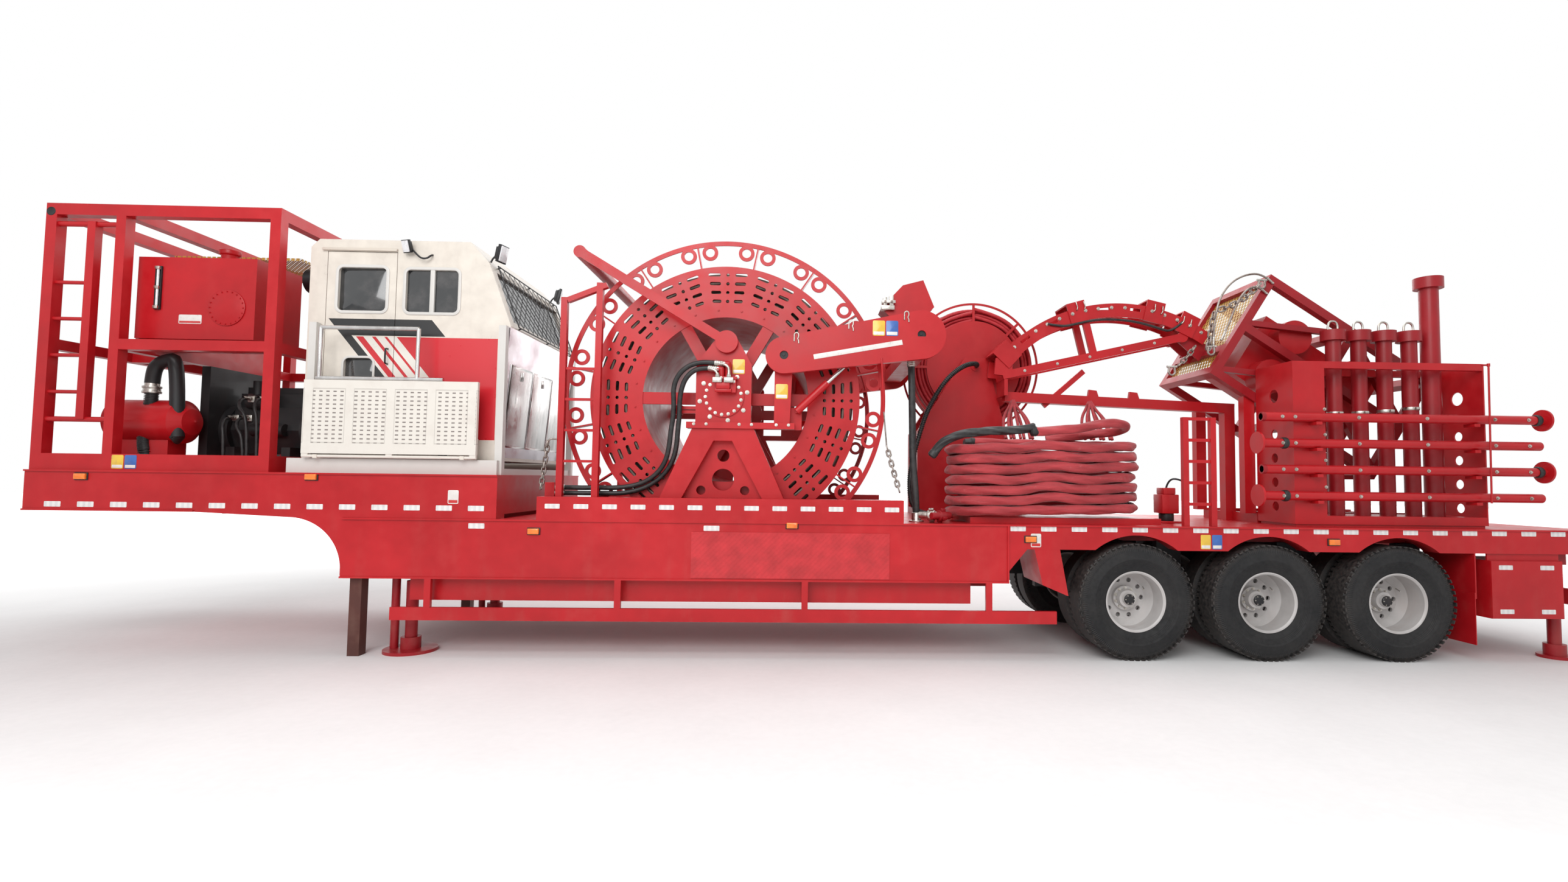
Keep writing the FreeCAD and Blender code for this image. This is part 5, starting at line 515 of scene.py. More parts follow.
def cabin_livery():
    """Cream paint with the black band, the red field and its white slashes, and a polished rear panel."""
    finish = Finish("cabin_livery", Coat_Weight=0.3, Coat_Roughness=0.1)
    x, y, z = finish.axes()
    fine = finish.clouds(6, 4)
    streaks = finish.clouds(5, 4, vector=finish.stretched((1, 1, 0.12)))
    cream = finish.mix(finish.spread(fine, 0.35, 0.7), (0.66, 0.60, 0.53), (0.76, 0.70, 0.62))
    cream = finish.mix(finish.spread(streaks, 0.55, 0.8) * 0.2, cream, (0.36, 0.27, 0.22))
    slanted = x + (z - 3.07) * 0.83
    on_side = (y < -0.99) * (x < -3.40)
    band = (slanted > -4.914) * (z < 3.246) * ((z > 3.08) * (slanted < -3.907)
                                               + (z < 3.0801) * (slanted < -4.82))
    field = (slanted > -4.82) * (z < 3.07) * (z > 2.06)
    slashes = (slanted < -4.785) + (slanted > -4.715) * (slanted < -4.631)
    slashes = slashes + (slanted > -4.594) * (slanted < -4.51) + (slanted > -4.482) * (slanted < -4.389)
    coat = finish.mix(field * on_side, cream, (0.58, 0.014, 0.024))
    coat = finish.mix(field * slashes * on_side, coat, cream_white)
    coat = finish.mix(band * on_side, coat, (0.012, 0.012, 0.013))
    polished = (x > -3.389) * (z < 3.19)
    smears = finish.spread(finish.clouds(3, 4), 0.35, 0.7)
    metal = finish.mix(smears, (0.45, 0.40, 0.43), (0.78, 0.75, 0.78))
    coat = finish.mix(polished, coat, metal)
    skin = finish.bump(finish.clouds(120, 2), 0.0005, 0.3)
    skin = finish.bump(finish.clouds(2.2, 2), 0.006, 0.35, skin)
    return finish.feed(Base_Color=coat, Metallic=polished * 0.9, Normal=skin,
                       Roughness=finish.spread(fine, 0.3, 0.7, 0.26, 0.36) - polished * 0.12)


def panel_with_slots():
    """White paint on the folding platform, with four recessed fields of small slots; the slots are painted
    dark as painted shade, and a line of painted shade runs round each field.
    """
    finish = Finish("slotted_white", Coat_Weight=0.2, Coat_Roughness=0.15)
    x, _, z = finish.axes()
    low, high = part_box("side_platform")
    along = (x - low.x - 0.05) / ((high.x - low.x - 0.1) / 4)
    field = along % 1
    inside = (field > 0.1) * (field < 0.9) * (z > low.z + 0.14) * (z < high.z - 0.08)
    column = (x - low.x) / 0.066 % 1
    row = (z - low.z) / 0.041 % 1
    slots_with_painted_shade = inside * (column > 0.25) * (column < 0.72) * (row > 0.3) * (row < 0.62)
    field_edge_shade = inside - (field > 0.115) * (field < 0.885) * (z > low.z + 0.15) * (z < high.z - 0.09)
    dirt = finish.spread(finish.clouds(7, 5), 0.5, 0.8) * 0.18
    coat = finish.mix(dirt, (0.74, 0.70, 0.64), (0.40, 0.30, 0.25))
    # The slots are painted nearly black: painted shade for the dark inside of the slots.
    coat = finish.mix(slots_with_painted_shade * 0.85, coat, (0.16, 0.13, 0.12))
    # A thin line of painted shade along the edge of each recessed field, where it steps down.
    coat = finish.mix(field_edge_shade * 0.4, coat, (0.33, 0.30, 0.27))
    skin = finish.bump(inside * -1, 0.012, 0.8)
    skin = finish.bump(slots_with_painted_shade * -1, 0.003, 0.8, skin)
    return finish.feed(Base_Color=coat, Roughness=dirt + 0.32, Normal=skin)


def striped(name, first, second, pitch, share, gloss=0.3):
    """Tape in blocks of two colours along X, with the cells of its reflective film."""
    finish = Finish(name, Coat_Weight=0.6, Coat_Roughness=0.08)
    x, _, z = finish.axes()
    block = (x / pitch) % 1 > share
    cells = finish.add("ShaderNodeTexVoronoi", inputs={"Vector": finish.place, "Scale": 260.0})
    worn = finish.spread(finish.clouds(18, 5), 0.55, 0.8) * 0.35
    film = finish.mix(block, first, second)
    film = finish.mix(worn, film, (0.35, 0.24, 0.22))
    return finish.feed(Base_Color=film, Roughness=worn + gloss, Normal=finish.bump(cells, 0.0006, 0.4))


def plain_plate(name, colour, mark, gloss=0.3):
    """A blank sign, label or plate: its ground, a little fading, and patches of grime."""
    finish = Finish(name, Coat_Weight=0.3, Coat_Roughness=0.1)
    fade = finish.clouds(11, 4)
    grime = finish.spread(finish.clouds(26, 5, 0.7), 0.55, 0.75) * 0.4
    ground = finish.mix(finish.spread(fade, 0.35, 0.7), colour, mark)
    ground = finish.mix(grime, ground, (0.22, 0.16, 0.14))
    return finish.feed(Base_Color=ground, Roughness=grime * 0.4 + gloss,
                       Normal=finish.bump(finish.clouds(60, 3), 0.0004, 0.3))


cream_white = (0.78, 0.74, 0.68)
rubber_tyre = tyre_rubber()
rim_silver = paint("rim_silver", (0.62, 0.60, 0.59), (0.40, 0.38, 0.37), gloss=0.32, dust=0.45)
mill_scale = bare_metal("mill_scale", (0.16, 0.12, 0.10), (0.045, 0.035, 0.032), 0.35, 0.6, 16, 0.8)
zinc = bare_metal("zinc_plate", (0.66, 0.64, 0.60), (0.38, 0.35, 0.31), 0.24, 0.5, 30)
stainless = bare_metal("stainless_tube", (0.74, 0.73, 0.72), (0.52, 0.50, 0.49), 0.12, 0.3, 14, 1.0,
                       brushed=(1, 1, 0.2))
chain_steel = bare_metal("chain_steel", (0.42, 0.38, 0.35), (0.18, 0.13, 0.11), 0.3, 0.6, 40)
black_hose = rubber("black_hose", (0.012, 0.012, 0.013), (0.05, 0.048, 0.047), 0.34)
red_hose = rubber("red_hose", (0.40, 0.012, 0.02), (0.58, 0.045, 0.055), 0.36)
sheath = woven_sheath()
engine_black = paint("engine_black", (0.022, 0.021, 0.022), (0.009, 0.009, 0.01), 0.42, 0.4, 0.8)
ochre_mesh = mesh_coat("ochre_mesh", (0.62, 0.37, 0.07), (0.40, 0.22, 0.03), 0.055, 0.34)
tinted_glass = glossy_glass("tinted_glass", (0.016, 0.018, 0.02), (0.07, 0.065, 0.065))
chequer = chequer_paint()
livery = cabin_livery()
slotted_white = panel_with_slots()
timber = paint("prop_timber", (0.10, 0.032, 0.024), (0.06, 0.02, 0.016), gloss=0.6, dust=0.6)
white_tape = striped("white_tape", (0.80, 0.78, 0.76), (0.70, 0.68, 0.68), 0.05, 0.5)
amber_lens = plain_plate("amber_lens", (0.80, 0.16, 0.02), (0.95, 0.26, 0.03), 0.12)
clear_lens = plain_plate("clear_lens", (0.70, 0.70, 0.72), (0.86, 0.86, 0.88), 0.08)
sign_white = plain_plate("sign_white", (0.78, 0.75, 0.72), (0.70, 0.66, 0.62))
sign_yellow = plain_plate("sign_yellow", (0.80, 0.52, 0.05), (0.70, 0.44, 0.05))
sign_blue = plain_plate("sign_blue", (0.04, 0.14, 0.45), (0.03, 0.10, 0.36))
sign_red = plain_plate("sign_red", (0.60, 0.02, 0.02), (0.46, 0.015, 0.015))
print("finishes:", len(bpy.data.materials))

# %% [markdown]
# ## Painting the frame
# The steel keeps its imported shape, so each node only needs its finish in its material slot. A short table
# says which finish each one gets, and everything not named there is gloss red.

# %% Paint the frame
finish_of = {
    "axles_and_springs": black_paint, "beam_door": chequer, "jack_housings": old_red_paint,
    "prop_posts": timber, "engine_block": engine_black, "exhaust_muffler": black_paint,
    "grating_panels": ochre_mesh, "cabin_shell": livery, "cabin_door": livery, "cabin_glazing": tinted_glass,
    "cabin_base": white_paint, "side_platform": slotted_white, "platform_handrail": stainless,
    "reel_hose_outer": black_hose, "reel_hose_inner": black_hose, "tubing_coil": mill_scale,
    "levelwind_rods": stainless, "hose_reel_hoses": red_hose, "hose_pile": sheath,
    "injector_cage": old_red_paint, "riser_pipes": old_red_paint,
}
for name, node in nodes.items():
    finish = finish_of.get(name, red_paint)
    if name.startswith("wheel_"):
        finish = rubber_tyre if name.endswith("tyres") else rim_silver
    if "_jack_" in name:
        finish = old_red_paint
    node.data.materials.clear()
    node.data.materials.append(finish)
print("nodes painted:", len(nodes))

# %% [markdown]
# ## Seating, bolts and plates
# A bolt or a sign has to sit on the steel, not near it. A ray cast at the node's own mesh gives the exact
# point, so nothing is placed by eye. One bolt is modelled and then copied to each place, turned to its
# face.


# %% Seats, bolts, plates and cords
def face_at(node, start, along):
    """Where a ray meets a node, or None."""
    hit, place, _, _ = nodes[node].ray_cast(Vector(start), Vector(along))
    return place if hit else None


def side_face(node, x, z, side=-1):
    """Where a level ray from the left, or from the right, meets a node."""
    return face_at(node, (x, side * 3, z), (0, -side, 0))


def seats(node, spots, side=-1):
    """The places on a node's side at several (x, z), wherever it has a face."""
    return [place for place in (side_face(node, x, z, side) for x, z in spots) if place]


def deck_at(x, y, tried=("deck_plates", "trailer_frame")):
    """The height of the deck at a place."""
    return next(hit.z for hit in (face_at(node, (x, y, 2.4), (0, 0, -1)) for node in tried) if hit)


def turned_to(place, along):
    """The matrix that stands a shape made along Z on a face that looks along a direction."""
    return Matrix.Translation(place) @ Vector(along).to_track_quat("Z", "Y").to_matrix().to_4x4()


def bolt_shape(name, radius):
    """A washer, a chamfered hexagon and the domed end of its screw."""
    washer = start_round(name, (0, 0, 0), (0, 0, radius * 0.25), radius * 1.25, 16)
    head = start_round(name, (0, 0, radius * 0.2), (0, 0, radius), radius, 6, radius * 0.93)
    end = start_round(name, (0, 0, radius * 0.8), (0, 0, radius * 1.35), radius * 0.5, 10, radius * 0.4)
    return join_all(name, [washer, head, end])


def bolts(name, body, places, along, radius, finish):
    """The same bolt on each of several places of a face."""
    row = at_each(bolt_shape(name, radius), name, [turned_to(place, along) for place in places])
    return finish_piece(row, body, finish)


def ring_of(centre, radius, count, along="Y", first=0.0, share=1.0):
    """Places on a circle round an axis."""
    made = []
    for i in range(count):
        angle = first + share * math.tau * i / count
        a, b = radius * math.cos(angle), radius * math.sin(angle)
        offset = {"X": (0, a, b), "Y": (a, 0, b), "Z": (a, b, 0)}[along]
        made.append(Vector(centre) + Vector(offset))
    return made


def plate_on(name, body, low, high, finish, bevel=0.002):
    """A thin plate with rounded corners and softened edges."""
    piece = start_block(name, low, high)
    thin = min(range(3), key=lambda i: high[i] - low[i])
    pick(piece, "EDGE", lambda middle, along: abs(along[thin]) > 0.9)
    corner = 0.12 * sorted(high[i] - low[i] for i in range(3))[1]
    bpy.ops.mesh.bevel(offset=corner, segments=4)
    return finish_piece(piece, body, finish, bevel, 2)


def spun(name, profile, centre, along="Y", steps=64):
    """A profile of (place along the axis, radius) turned round that axis."""
    leave_all()
    bpy.ops.mesh.primitive_plane_add(size=1)
    piece = named(name)
    where = {"X": lambda a, r: (a, 0, r), "Y": lambda a, r: (0, a, r), "Z": lambda a, r: (r, 0, a)}[along]
    points = [Vector(where(a, r)) + Vector(centre) for a, r in profile]
    piece.data.clear_geometry()
    piece.data.from_pydata(points, [(i, i + 1) for i in range(len(points) - 1)], [])
    bpy.ops.object.mode_set(mode="EDIT")
    bpy.ops.mesh.select_all(action="SELECT")
    axis = {"X": (1, 0, 0), "Y": (0, 1, 0), "Z": (0, 0, 1)}[along]
    bpy.ops.mesh.spin(steps=steps, angle=math.tau, center=centre, axis=axis)
    bpy.ops.mesh.select_all(action="SELECT")
    bpy.ops.mesh.remove_doubles(threshold=0.0002)
    bpy.ops.mesh.normals_make_consistent(inside=False)
    leave_all()
    return piece


def spline_of(name, points, radius, steps=6, sides=3):
    """One open NURBS spline through a route's control points, with a round section."""
    curve = bpy.data.curves.new(name, "CURVE")
    curve.dimensions = "3D"
    curve.resolution_u = steps
    spline = curve.splines.new("NURBS")
    spline.points.add(len(points) - 1)
    for point, place in zip(spline.points, points):
        point.co = (*place, 1)
    spline.order_u = 3
    spline.use_endpoint_u = True
    curve.bevel_depth = radius
    curve.bevel_resolution = sides
    curve.use_fill_caps = True
    piece = bpy.data.objects.new(name, curve)
    bpy.context.scene.collection.objects.link(piece)
    return piece


def spline_points(name, points, steps):
    """The points that a route's spline passes through, read from the curve without its section."""
    guide = spline_of(name, points, 0, steps)
    bpy.context.view_layer.update()
    mesh = bpy.data.meshes.new_from_object(guide)
    line = [vertex.co.copy() for vertex in mesh.vertices]
    bpy.data.objects.remove(guide)
    bpy.data.meshes.remove(mesh)
    return line


def length_of(points):
    return sum((b - a).length for a, b in zip(points, points[1:]))


def lay_cord(name, points, radius, body, finish, steps=6):
    """A hose or cable along a route, with its length printed."""
    piece = spline_of(name, points, radius, steps)
    piece.data.materials.append(finish)
    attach(piece, body)
    real = length_of(spline_points(name + "_guide", points, steps))
    print(name, "is", round(real, 2), "m")
    return piece


def start_bar(name, points, radius, steps=6, sides=4):
    """A bent round bar, as a mesh."""
    take(spline_of(name, points, radius, steps, sides))
    bpy.ops.object.convert(target="MESH")
    return bpy.context.object


def pipe(name, points, radius, body, finish, sides=4):
    """A bent steel bar or rigid tube, finished."""
    return finish_piece(start_bar(name, points, radius, sides=sides), body, finish)


print("seats, bolts and plates are ready")

# %% [markdown]
# ## The two hoses of the reel's swivel
# Oil reaches the turning reel through a swivel, and two wrapped hoses carry it there from the skid. They
# leave level, hang in an S under their own weight and lie on the skid. A NURBS spline needs only the points
# that bend it, and each hose gets a crimped sleeve and a hexagon at both ends.


# %% Swivel hoses
def sleeve(name, start, along, radius, body):
    """A crimped sleeve with grooves, and the hexagon of its nut."""
    grooves = []
    for i in range(4):
        grooves += [(i * 0.018, radius * 1.22), (i * 0.018 + 0.011, radius * 1.22),
                    (i * 0.018 + 0.013, radius * 1.12), (i * 0.018 + 0.016, radius * 1.12)]
    shell = spun(name, [(-0.012, radius * 1.03)] + grooves + [(0.074, radius * 1.03)], (0, 0, 0), "Z", 24)
    nut = start_round(name, (0, 0, -0.034), (0, 0, -0.010), radius * 1.35, 6)
    whole = join_all(name, [shell, nut])
    whole.data.transform(turned_to(start, along))
    return finish_piece(whole, body, zinc, 0.0008, 1)


hose_routes = {
    "reel_hose_outer": [
        (-1.143, -1.200, 2.827), (-1.267, -1.200, 2.841), (-1.390, -1.200, 2.836), (-1.504, -1.195, 2.790),
        (-1.589, -1.185, 2.701), (-1.628, -1.170, 2.579), (-1.622, -1.150, 2.448), (-1.626, -1.140, 2.315),
        (-1.649, -1.130, 2.167), (-1.664, -1.105, 2.025), (-1.700, -1.065, 1.882), (-1.785, -1.025, 1.756),
        (-1.917, -1.000, 1.664), (-2.069, -0.996, 1.620), (-2.235, -0.995, 1.605), (-2.380, -0.994, 1.609),
        (-2.520, -0.996, 1.603), (-2.655, -0.995, 1.607), (-2.785, -0.995, 1.604),
    ],
    "reel_hose_inner": [
        (-1.204, -1.205, 2.774), (-1.313, -1.205, 2.786), (-1.423, -1.200, 2.764), (-1.505, -1.190, 2.686),
        (-1.549, -1.170, 2.579), (-1.567, -1.150, 2.457), (-1.566, -1.140, 2.329), (-1.581, -1.125, 2.187),
        (-1.593, -1.095, 2.040), (-1.629, -1.055, 1.892), (-1.714, -1.015, 1.756), (-1.840, -0.996, 1.649),
        (-1.991, -0.994, 1.581), (-2.162, -0.995, 1.551), (-2.320, -0.996, 1.556), (-2.475, -0.995, 1.550),
        (-2.632, -0.996, 1.553), (-2.785, -0.995, 1.550),
    ],
}
for name, route in hose_routes.items():
    first, last = Vector(route[0]), Vector(route[-1])
    ends = [
        sleeve(name + "_near_sleeve", first + (Vector(route[1]) - first).normalized() * 0.012,
               Vector(route[1]) - first, 0.024, "trailer"),
        sleeve(name + "_far_sleeve", last + (Vector(route[-2]) - last).normalized() * 0.012,
               Vector(route[-2]) - last, 0.024, "trailer"),
    ]
    hose = lay_cord(name + "_rubber", route, 0.024, "trailer", black_hose)
    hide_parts(name)

# %% [markdown]
# ## Bundles of hose on the deck
# Each bundle is several hoses in one woven sheath, laid down in an oval, turn on turn. The oval's route
# needs fifteen points a turn. A loop writes them, with a little sway so that no two turns match. The sheath
# is loose over its hoses, so its section has three soft lobes that wind slowly round, and its cloth
# puckers.


# %% Hose bundles
def oval(centre_x, centre_y, half, radius, floor, rise, turns, sway, seed, start=0.75):
    """Route points round an oval that climbs, with its long side toward -Y drawn in and up at its middle."""
    chance = random.Random(seed)
    around = []
    for share, inward, up in ((0.0, 0, 0), (0.24, -0.012, -0.02), (0.5, 0.045, 0.035), (0.76, -0.012, -0.02),
                              (1.0, 0, 0)):
        around.append((-half + 2 * half * share, inward - radius, up))
    around += [(half + radius * math.cos(math.radians(a)), radius * math.sin(math.radians(a)), 0)
               for a in (-52, 0, 52)]
    for share in (0.0, 0.33, 0.67, 1.0):
        around.append((half - 2 * half * share, radius, 0))
    around += [(-half + radius * math.cos(math.radians(a)), radius * math.sin(math.radians(a)), 0)
               for a in (128, 180, 232)]
    made = []
    count = len(around)
    for i in range(int(turns * count) + 1):
        x, y, up = around[(i + int(start * count)) % count]
        lift = max(0, i - 2) * rise / count
        low = lift < rise
        made.append(Vector((
            centre_x + x + chance.uniform(-sway, sway) * 2.2,
            centre_y + y + chance.uniform(-sway, sway) * 0.5,
            floor + lift + (0 if low else up + chance.uniform(-sway, sway) * 0.55))))
    return made


def loose_sheath(name, line, radius, lobes, pitch, sides, seed):
    """A tube along a line with slowly winding lobes and small puckers."""
    chance = random.Random(seed)
    puckers = [(chance.uniform(2, 9), chance.uniform(0, 6.28), chance.randint(2, 6)) for _ in range(5)]
    rings, faces = [], []
    side = (line[1] - line[0]).cross(Vector((0, 0, 1))).normalized()
    run = 0.0
    for i, place in enumerate(line):
        ahead = (line[min(i + 1, len(line) - 1)] - line[max(i - 1, 0)]).normalized()
        side = (side - ahead * side.dot(ahead)).normalized()
        over = ahead.cross(side)
        if i:
            run += (place - line[i - 1]).length
        for k in range(sides):
            angle = math.tau * k / sides
            swell = 0.89 + 0.10 * math.cos(lobes * (angle - run * math.tau / pitch))
            for rate, phase, waves in puckers:
                swell += 0.011 * math.sin(rate * run * 4 + phase + waves * angle)
            rings.append(place + (side * math.cos(angle) + over * math.sin(angle)) * radius * swell)
    for i in range(len(line) - 1):
        for k in range(sides):
            a, b = i * sides + k, i * sides + (k + 1) % sides
            faces.append((a, b, b + sides, a + sides))
    last = (len(line) - 1) * sides
    faces.append(tuple(range(sides))[::-1])
    faces.append(tuple(range(last, last + sides)))
    mesh = bpy.data.meshes.new(name)
    mesh.from_pydata(rings, [], faces)
    piece = bpy.data.objects.new(name, mesh)
    bpy.context.scene.collection.objects.link(piece)
    return piece


def end_cap(name, line, profile):
    """A black cap on the end of a line."""
    cap = spun(name, profile, (0, 0, 0), "Z", 24)
    cap.data.transform(turned_to(line[-1], line[-1] - line[-2]))
    return finish_piece(cap, "trailer", black_hose)


pile_low, pile_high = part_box("hose_pile")
pile_x = (pile_low.x + pile_high.x) / 2
pile_y = (pile_low.y + pile_high.y) / 2
half_run = (pile_high.x - pile_low.x) / 2 - (pile_high.y - pile_low.y) / 2
bundle, climb, turns = 0.051, 0.1045, 7
stacked = []
for name, reach, sway, seed in (("outer", 0.335, 0.012, 3), ("inner", 0.222, 0.007, 8)):
    route = oval(pile_x, pile_y, half_run, reach, pile_low.z + bundle, climb, turns, sway, seed)
    line = spline_points(name + "_guide", route, 12)
    tube = loose_sheath("hose_bundle_" + name, line, bundle, 3, 1.3, 24, seed)
    finish_piece(tube, "trailer", sheath, angle=60)
    cap = end_cap("bundle_cap_" + name, line, [(-0.02, 0), (-0.02, 0.03), (0, 0.05), (0.03, 0.053),
                                               (0.05, 0.04), (0.1, 0.034), (0.1, 0)])
    if name == "outer":
        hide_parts("hose_pile")
    stacked += line
    print("bundle", name, "is", round(length_of(line), 1), "m long,", len(line), "points")

laid_over = (
    ("red", sheath, 0.05, 3, "limp",
     [(2.26, -0.60, 2.15), (2.46, -0.585, 2.20), (2.70, -0.57, 2.225), (2.90, -0.62, 2.245),
      (3.00, -0.79, 2.28), (2.93, -0.96, 2.315), (2.76, -1.04, 2.32), (2.56, -1.055, 2.29),
      (2.35, -1.06, 2.25), (2.12, -1.06, 2.225), (1.96, -1.06, 2.222)]),
    ("black", black_hose, 0.046, 5, "stiff",
     [(1.96, -1.06, 2.18), (1.82, -1.06, 2.23), (1.64, -1.065, 2.225), (1.46, -1.065, 2.215),
      (1.28, -1.065, 2.195), (1.14, -1.06, 2.16), (1.02, -1.05, 2.09), (0.95, -1.03, 1.99)]),
)
for name, finish, radius, lobes, stiffness, route in laid_over:
    leave = min(stacked, key=lambda place: (place - Vector(route[0])).length)
    line = spline_points(name + "_guide", [leave + Vector((0, 0, 0.045))] + route[1:], 12)
    tube = loose_sheath("top_bundle_" + name, line, radius, lobes, 1.3, 30, 5)
    stacked += line
    finish_piece(tube, "trailer", finish, angle=60)
    cap = end_cap("top_cap_" + name, line, [(-0.03, 0), (-0.03, radius * 0.8), (-0.01, radius * 1.02),
                                            (0.03, radius), (0.045, 0.03), (0.045, 0)])
    print("laid over the top:", name, round(length_of(line), 2), "m")

# %% [markdown]
# ## Hose wound on its reel
# The reel holds four layers of red hose. Each layer is a helix of eleven turns, fourteen points a turn,
# between the reel's two discs. A layer that lies on another starts where that one ends.

# %% Hose reel layers
reel_low, reel_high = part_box("hose_reel_hoses")
spool_x, spool_z = (reel_low.x + reel_high.x) / 2, (reel_low.z + reel_high.z) / 2
thick, turns, per_turn = 0.0455, 11, 14
swell = 1 / math.cos(math.pi / per_turn) ** 0.5
for layer in range(4):
    radius = (reel_high.z - reel_low.z) / 2 - thick / 2 - layer * thick
    near, far = reel_low.y + thick / 2 + 0.001, reel_high.y - thick / 2 - 0.001
    if layer % 2:
        near, far = far, near
    route = []
    for i in range(turns * per_turn + 1):
        angle = math.tau * i / per_turn
        route.append((spool_x + radius * swell * math.sin(angle),
                      near + (far - near) * i / (turns * per_turn),
                      spool_z + radius * swell * math.cos(angle)))
    hose = lay_cord(f"reel_hose_layer_{layer}", route, thick / 2, "hose_reel", red_hose,
                    5)
    if layer == 0:
        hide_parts("hose_reel_hoses")

# %% [markdown]
# ## Tubing on the main reel
# The coiled tubing lies turn beside turn, so one profile of half circles, spun round the shaft, gives the
# outer layer and the sides of the layers below. Spinning a profile makes far fewer faces than a helix.

# %% Tubing wraps
coil_low, coil_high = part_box("tubing_coil")
wrap, tube, depth = (coil_high.z - coil_low.z) / 2, 0.0603, 0.434
rows = int((coil_high.y - coil_low.y) / tube)
pitch = (coil_high.y - coil_low.y) / rows
reel_mid = Vector(((coil_low.x + coil_high.x) / 2, 0, (coil_low.z + coil_high.z) / 2))
layers = 7


def half_circle(y, radius, first, last, steps):
    """Half a tube's section, from one angle to another in half turns."""
    angles = [math.pi * (first + (last - first) * step / steps) for step in range(steps + 1)]
    return [(y + pitch / 2 * math.cos(angle), radius + pitch / 2 * math.sin(angle)) for angle in angles]


profile = [(coil_low.y, wrap - layers * pitch)]
for layer in range(layers - 1, -1, -1):
    profile += half_circle(coil_low.y + pitch / 2, wrap - pitch * (layer + 0.5), 1.5, 0.5, 5)
for row in range(rows):
    profile += half_circle(coil_low.y + pitch * (row + 0.5), wrap - pitch / 2, 1, 0, 6)
for layer in range(layers):
    profile += half_circle(coil_high.y - pitch / 2, wrap - pitch * (layer + 0.5), 0.5, -0.5, 5)
profile += [(coil_high.y, wrap - layers * pitch), (coil_high.y, wrap - depth), (coil_low.y, wrap - depth),
            profile[0]]
wraps = spun("tubing_wraps", profile, reel_mid, "Y", 128)
finish_piece(wraps, "reel", mill_scale, angle=50)
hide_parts("tubing_coil")
print("turns side by side:", rows, "faces:", len(wraps.data.polygons))

# %% [markdown]
# ## Wheels
# Seen from the side, a twin wheel shows the deep rim, the disc with its hand holes, the ring of nuts and
# the hub cap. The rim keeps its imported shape. Nuts, a valve, a capped hub and tread blocks are added, and
# one wheel's pieces are copied to the other five, mirrored for the right side.

# %% Wheel pieces
hub_face = side_face("wheel_front_left_rims", AXLE_X + 0.1, AXLE_Z)
print("the disc's face is at", round(hub_face.y, 3))
centre = Vector((AXLE_X, hub_face.y, AXLE_Z))
nuts = at_each(bolt_shape("nut", 0.014), "nut",
               [turned_to(place, (0, -1, 0)) for place in ring_of(centre, 0.1, 10, first=0.31)])
tip = side_face("wheel_front_left_rims", AXLE_X, AXLE_Z)
cap = spun("cap", [(0.001, 0.052), (-0.012, 0.052), (-0.018, 0.046), (-0.02, 0.036), (-0.02, 0)],
           (AXLE_X, tip.y, AXLE_Z), "Y", 32)
cap_bolts = at_each(bolt_shape("cap_bolt", 0.005), "cap_bolt",
                    [turned_to(place, (0, -1, 0))
                     for place in ring_of((AXLE_X, tip.y - 0.0175, AXLE_Z), 0.041, 6)])
stem_start = Vector((AXLE_X + 0.19, hub_face.y + 0.02, AXLE_Z + 0.11))
stem = start_round("stem", stem_start, stem_start + Vector((-0.03, -0.09, -0.016)), 0.005, 10)
lug_low = Vector((AXLE_X, 0, AXLE_Z))
tread_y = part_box("wheel_front_left_tyres")[0].y
blocks = []
for row, inward in enumerate((0.035, 0.28)):
    y = tread_y + inward
    block = start_block("block", (-0.019, y - 0.029, 0.553), (0.019, y + 0.029, 0.5628))
    pick(block, "FACE", lambda middle, normal: normal.z > 0.9)
    bpy.ops.transform.resize(value=(0.82, 0.9, 1))
    leave_all()
    blocks += [copy_mesh(block, "block", Matrix.Translation(lug_low) @ Matrix.Rotation(
        math.tau * (i + row / 2) / 60, 4, "Y")) for i in range(60)]
    bpy.data.objects.remove(block)
tread = join_all("tread", blocks)
for k, place in enumerate(("front", "middle", "rear")):
    step = Matrix.Translation((AXLE_PITCH * k, 0, 0))
    for side, mirror in zip(("left", "right"), TO_BOTH_SIDES):
        body = f"wheel_{place}_{side}"
        for part, finish, title in ((nuts, zinc, "nuts"), (cap, black_paint, "cap"), (stem, zinc, "valve"),
                                    (cap_bolts, zinc, "cap_bolts"), (tread, rubber_tyre, "tread")):
            twin = copy_mesh(part, f"{body}_{title}", step @ mirror)
            finish_piece(twin, body, finish)
for part in (nuts, cap, stem, cap_bolts, tread):
    bpy.data.objects.remove(part)
print("wheels dressed: 6")

# %% [markdown]
# ## Tapes, lamps and plates
# White reflective tape runs along both sides at a fixed pitch, in 150 mm lengths, and amber lamps sit
# between. Each tape is thin stock with rounded corners, made once and copied. The real plates carry
# printing, which is left off here, so each is a blank in its own colour.


# %% Tapes, lamps and plates
def tape_row(name, body, places, length, height):
    """The same length of tape at each of several places."""
    strip = start_block(name, (-length / 2, -0.0012, -height / 2), (length / 2, 0.0012, height / 2))
    pick(strip, "EDGE", lambda middle, along: abs(along.y) > 0.9)
    bpy.ops.mesh.bevel(offset=0.006, segments=3)
    leave_all()
    row = at_each(strip, name, [Matrix.Translation(place) for place in places])
    print(name, len(places))
    return finish_piece(row, body, white_tape)


def tapes(name, first, last, pitch, z, node, length=0.15, height=0.05):
    """A row of tape along X on both sides, wherever the steel behind a whole length is flat."""
    places = []
    for i in range(int((last - first) / pitch + 0.5) + 1):
        x = first + i * pitch
        for side in (-1, 1):
            met = seats(node, [(x + s * length / 2, z) for s in (0, -1, 1)], side)
            if len(met) == 3 and abs(met[1].y - met[0].y) + abs(met[2].y - met[0].y) < 0.002:
                places.append(met[0])
    tape_row(name, "trailer", places, length, height)


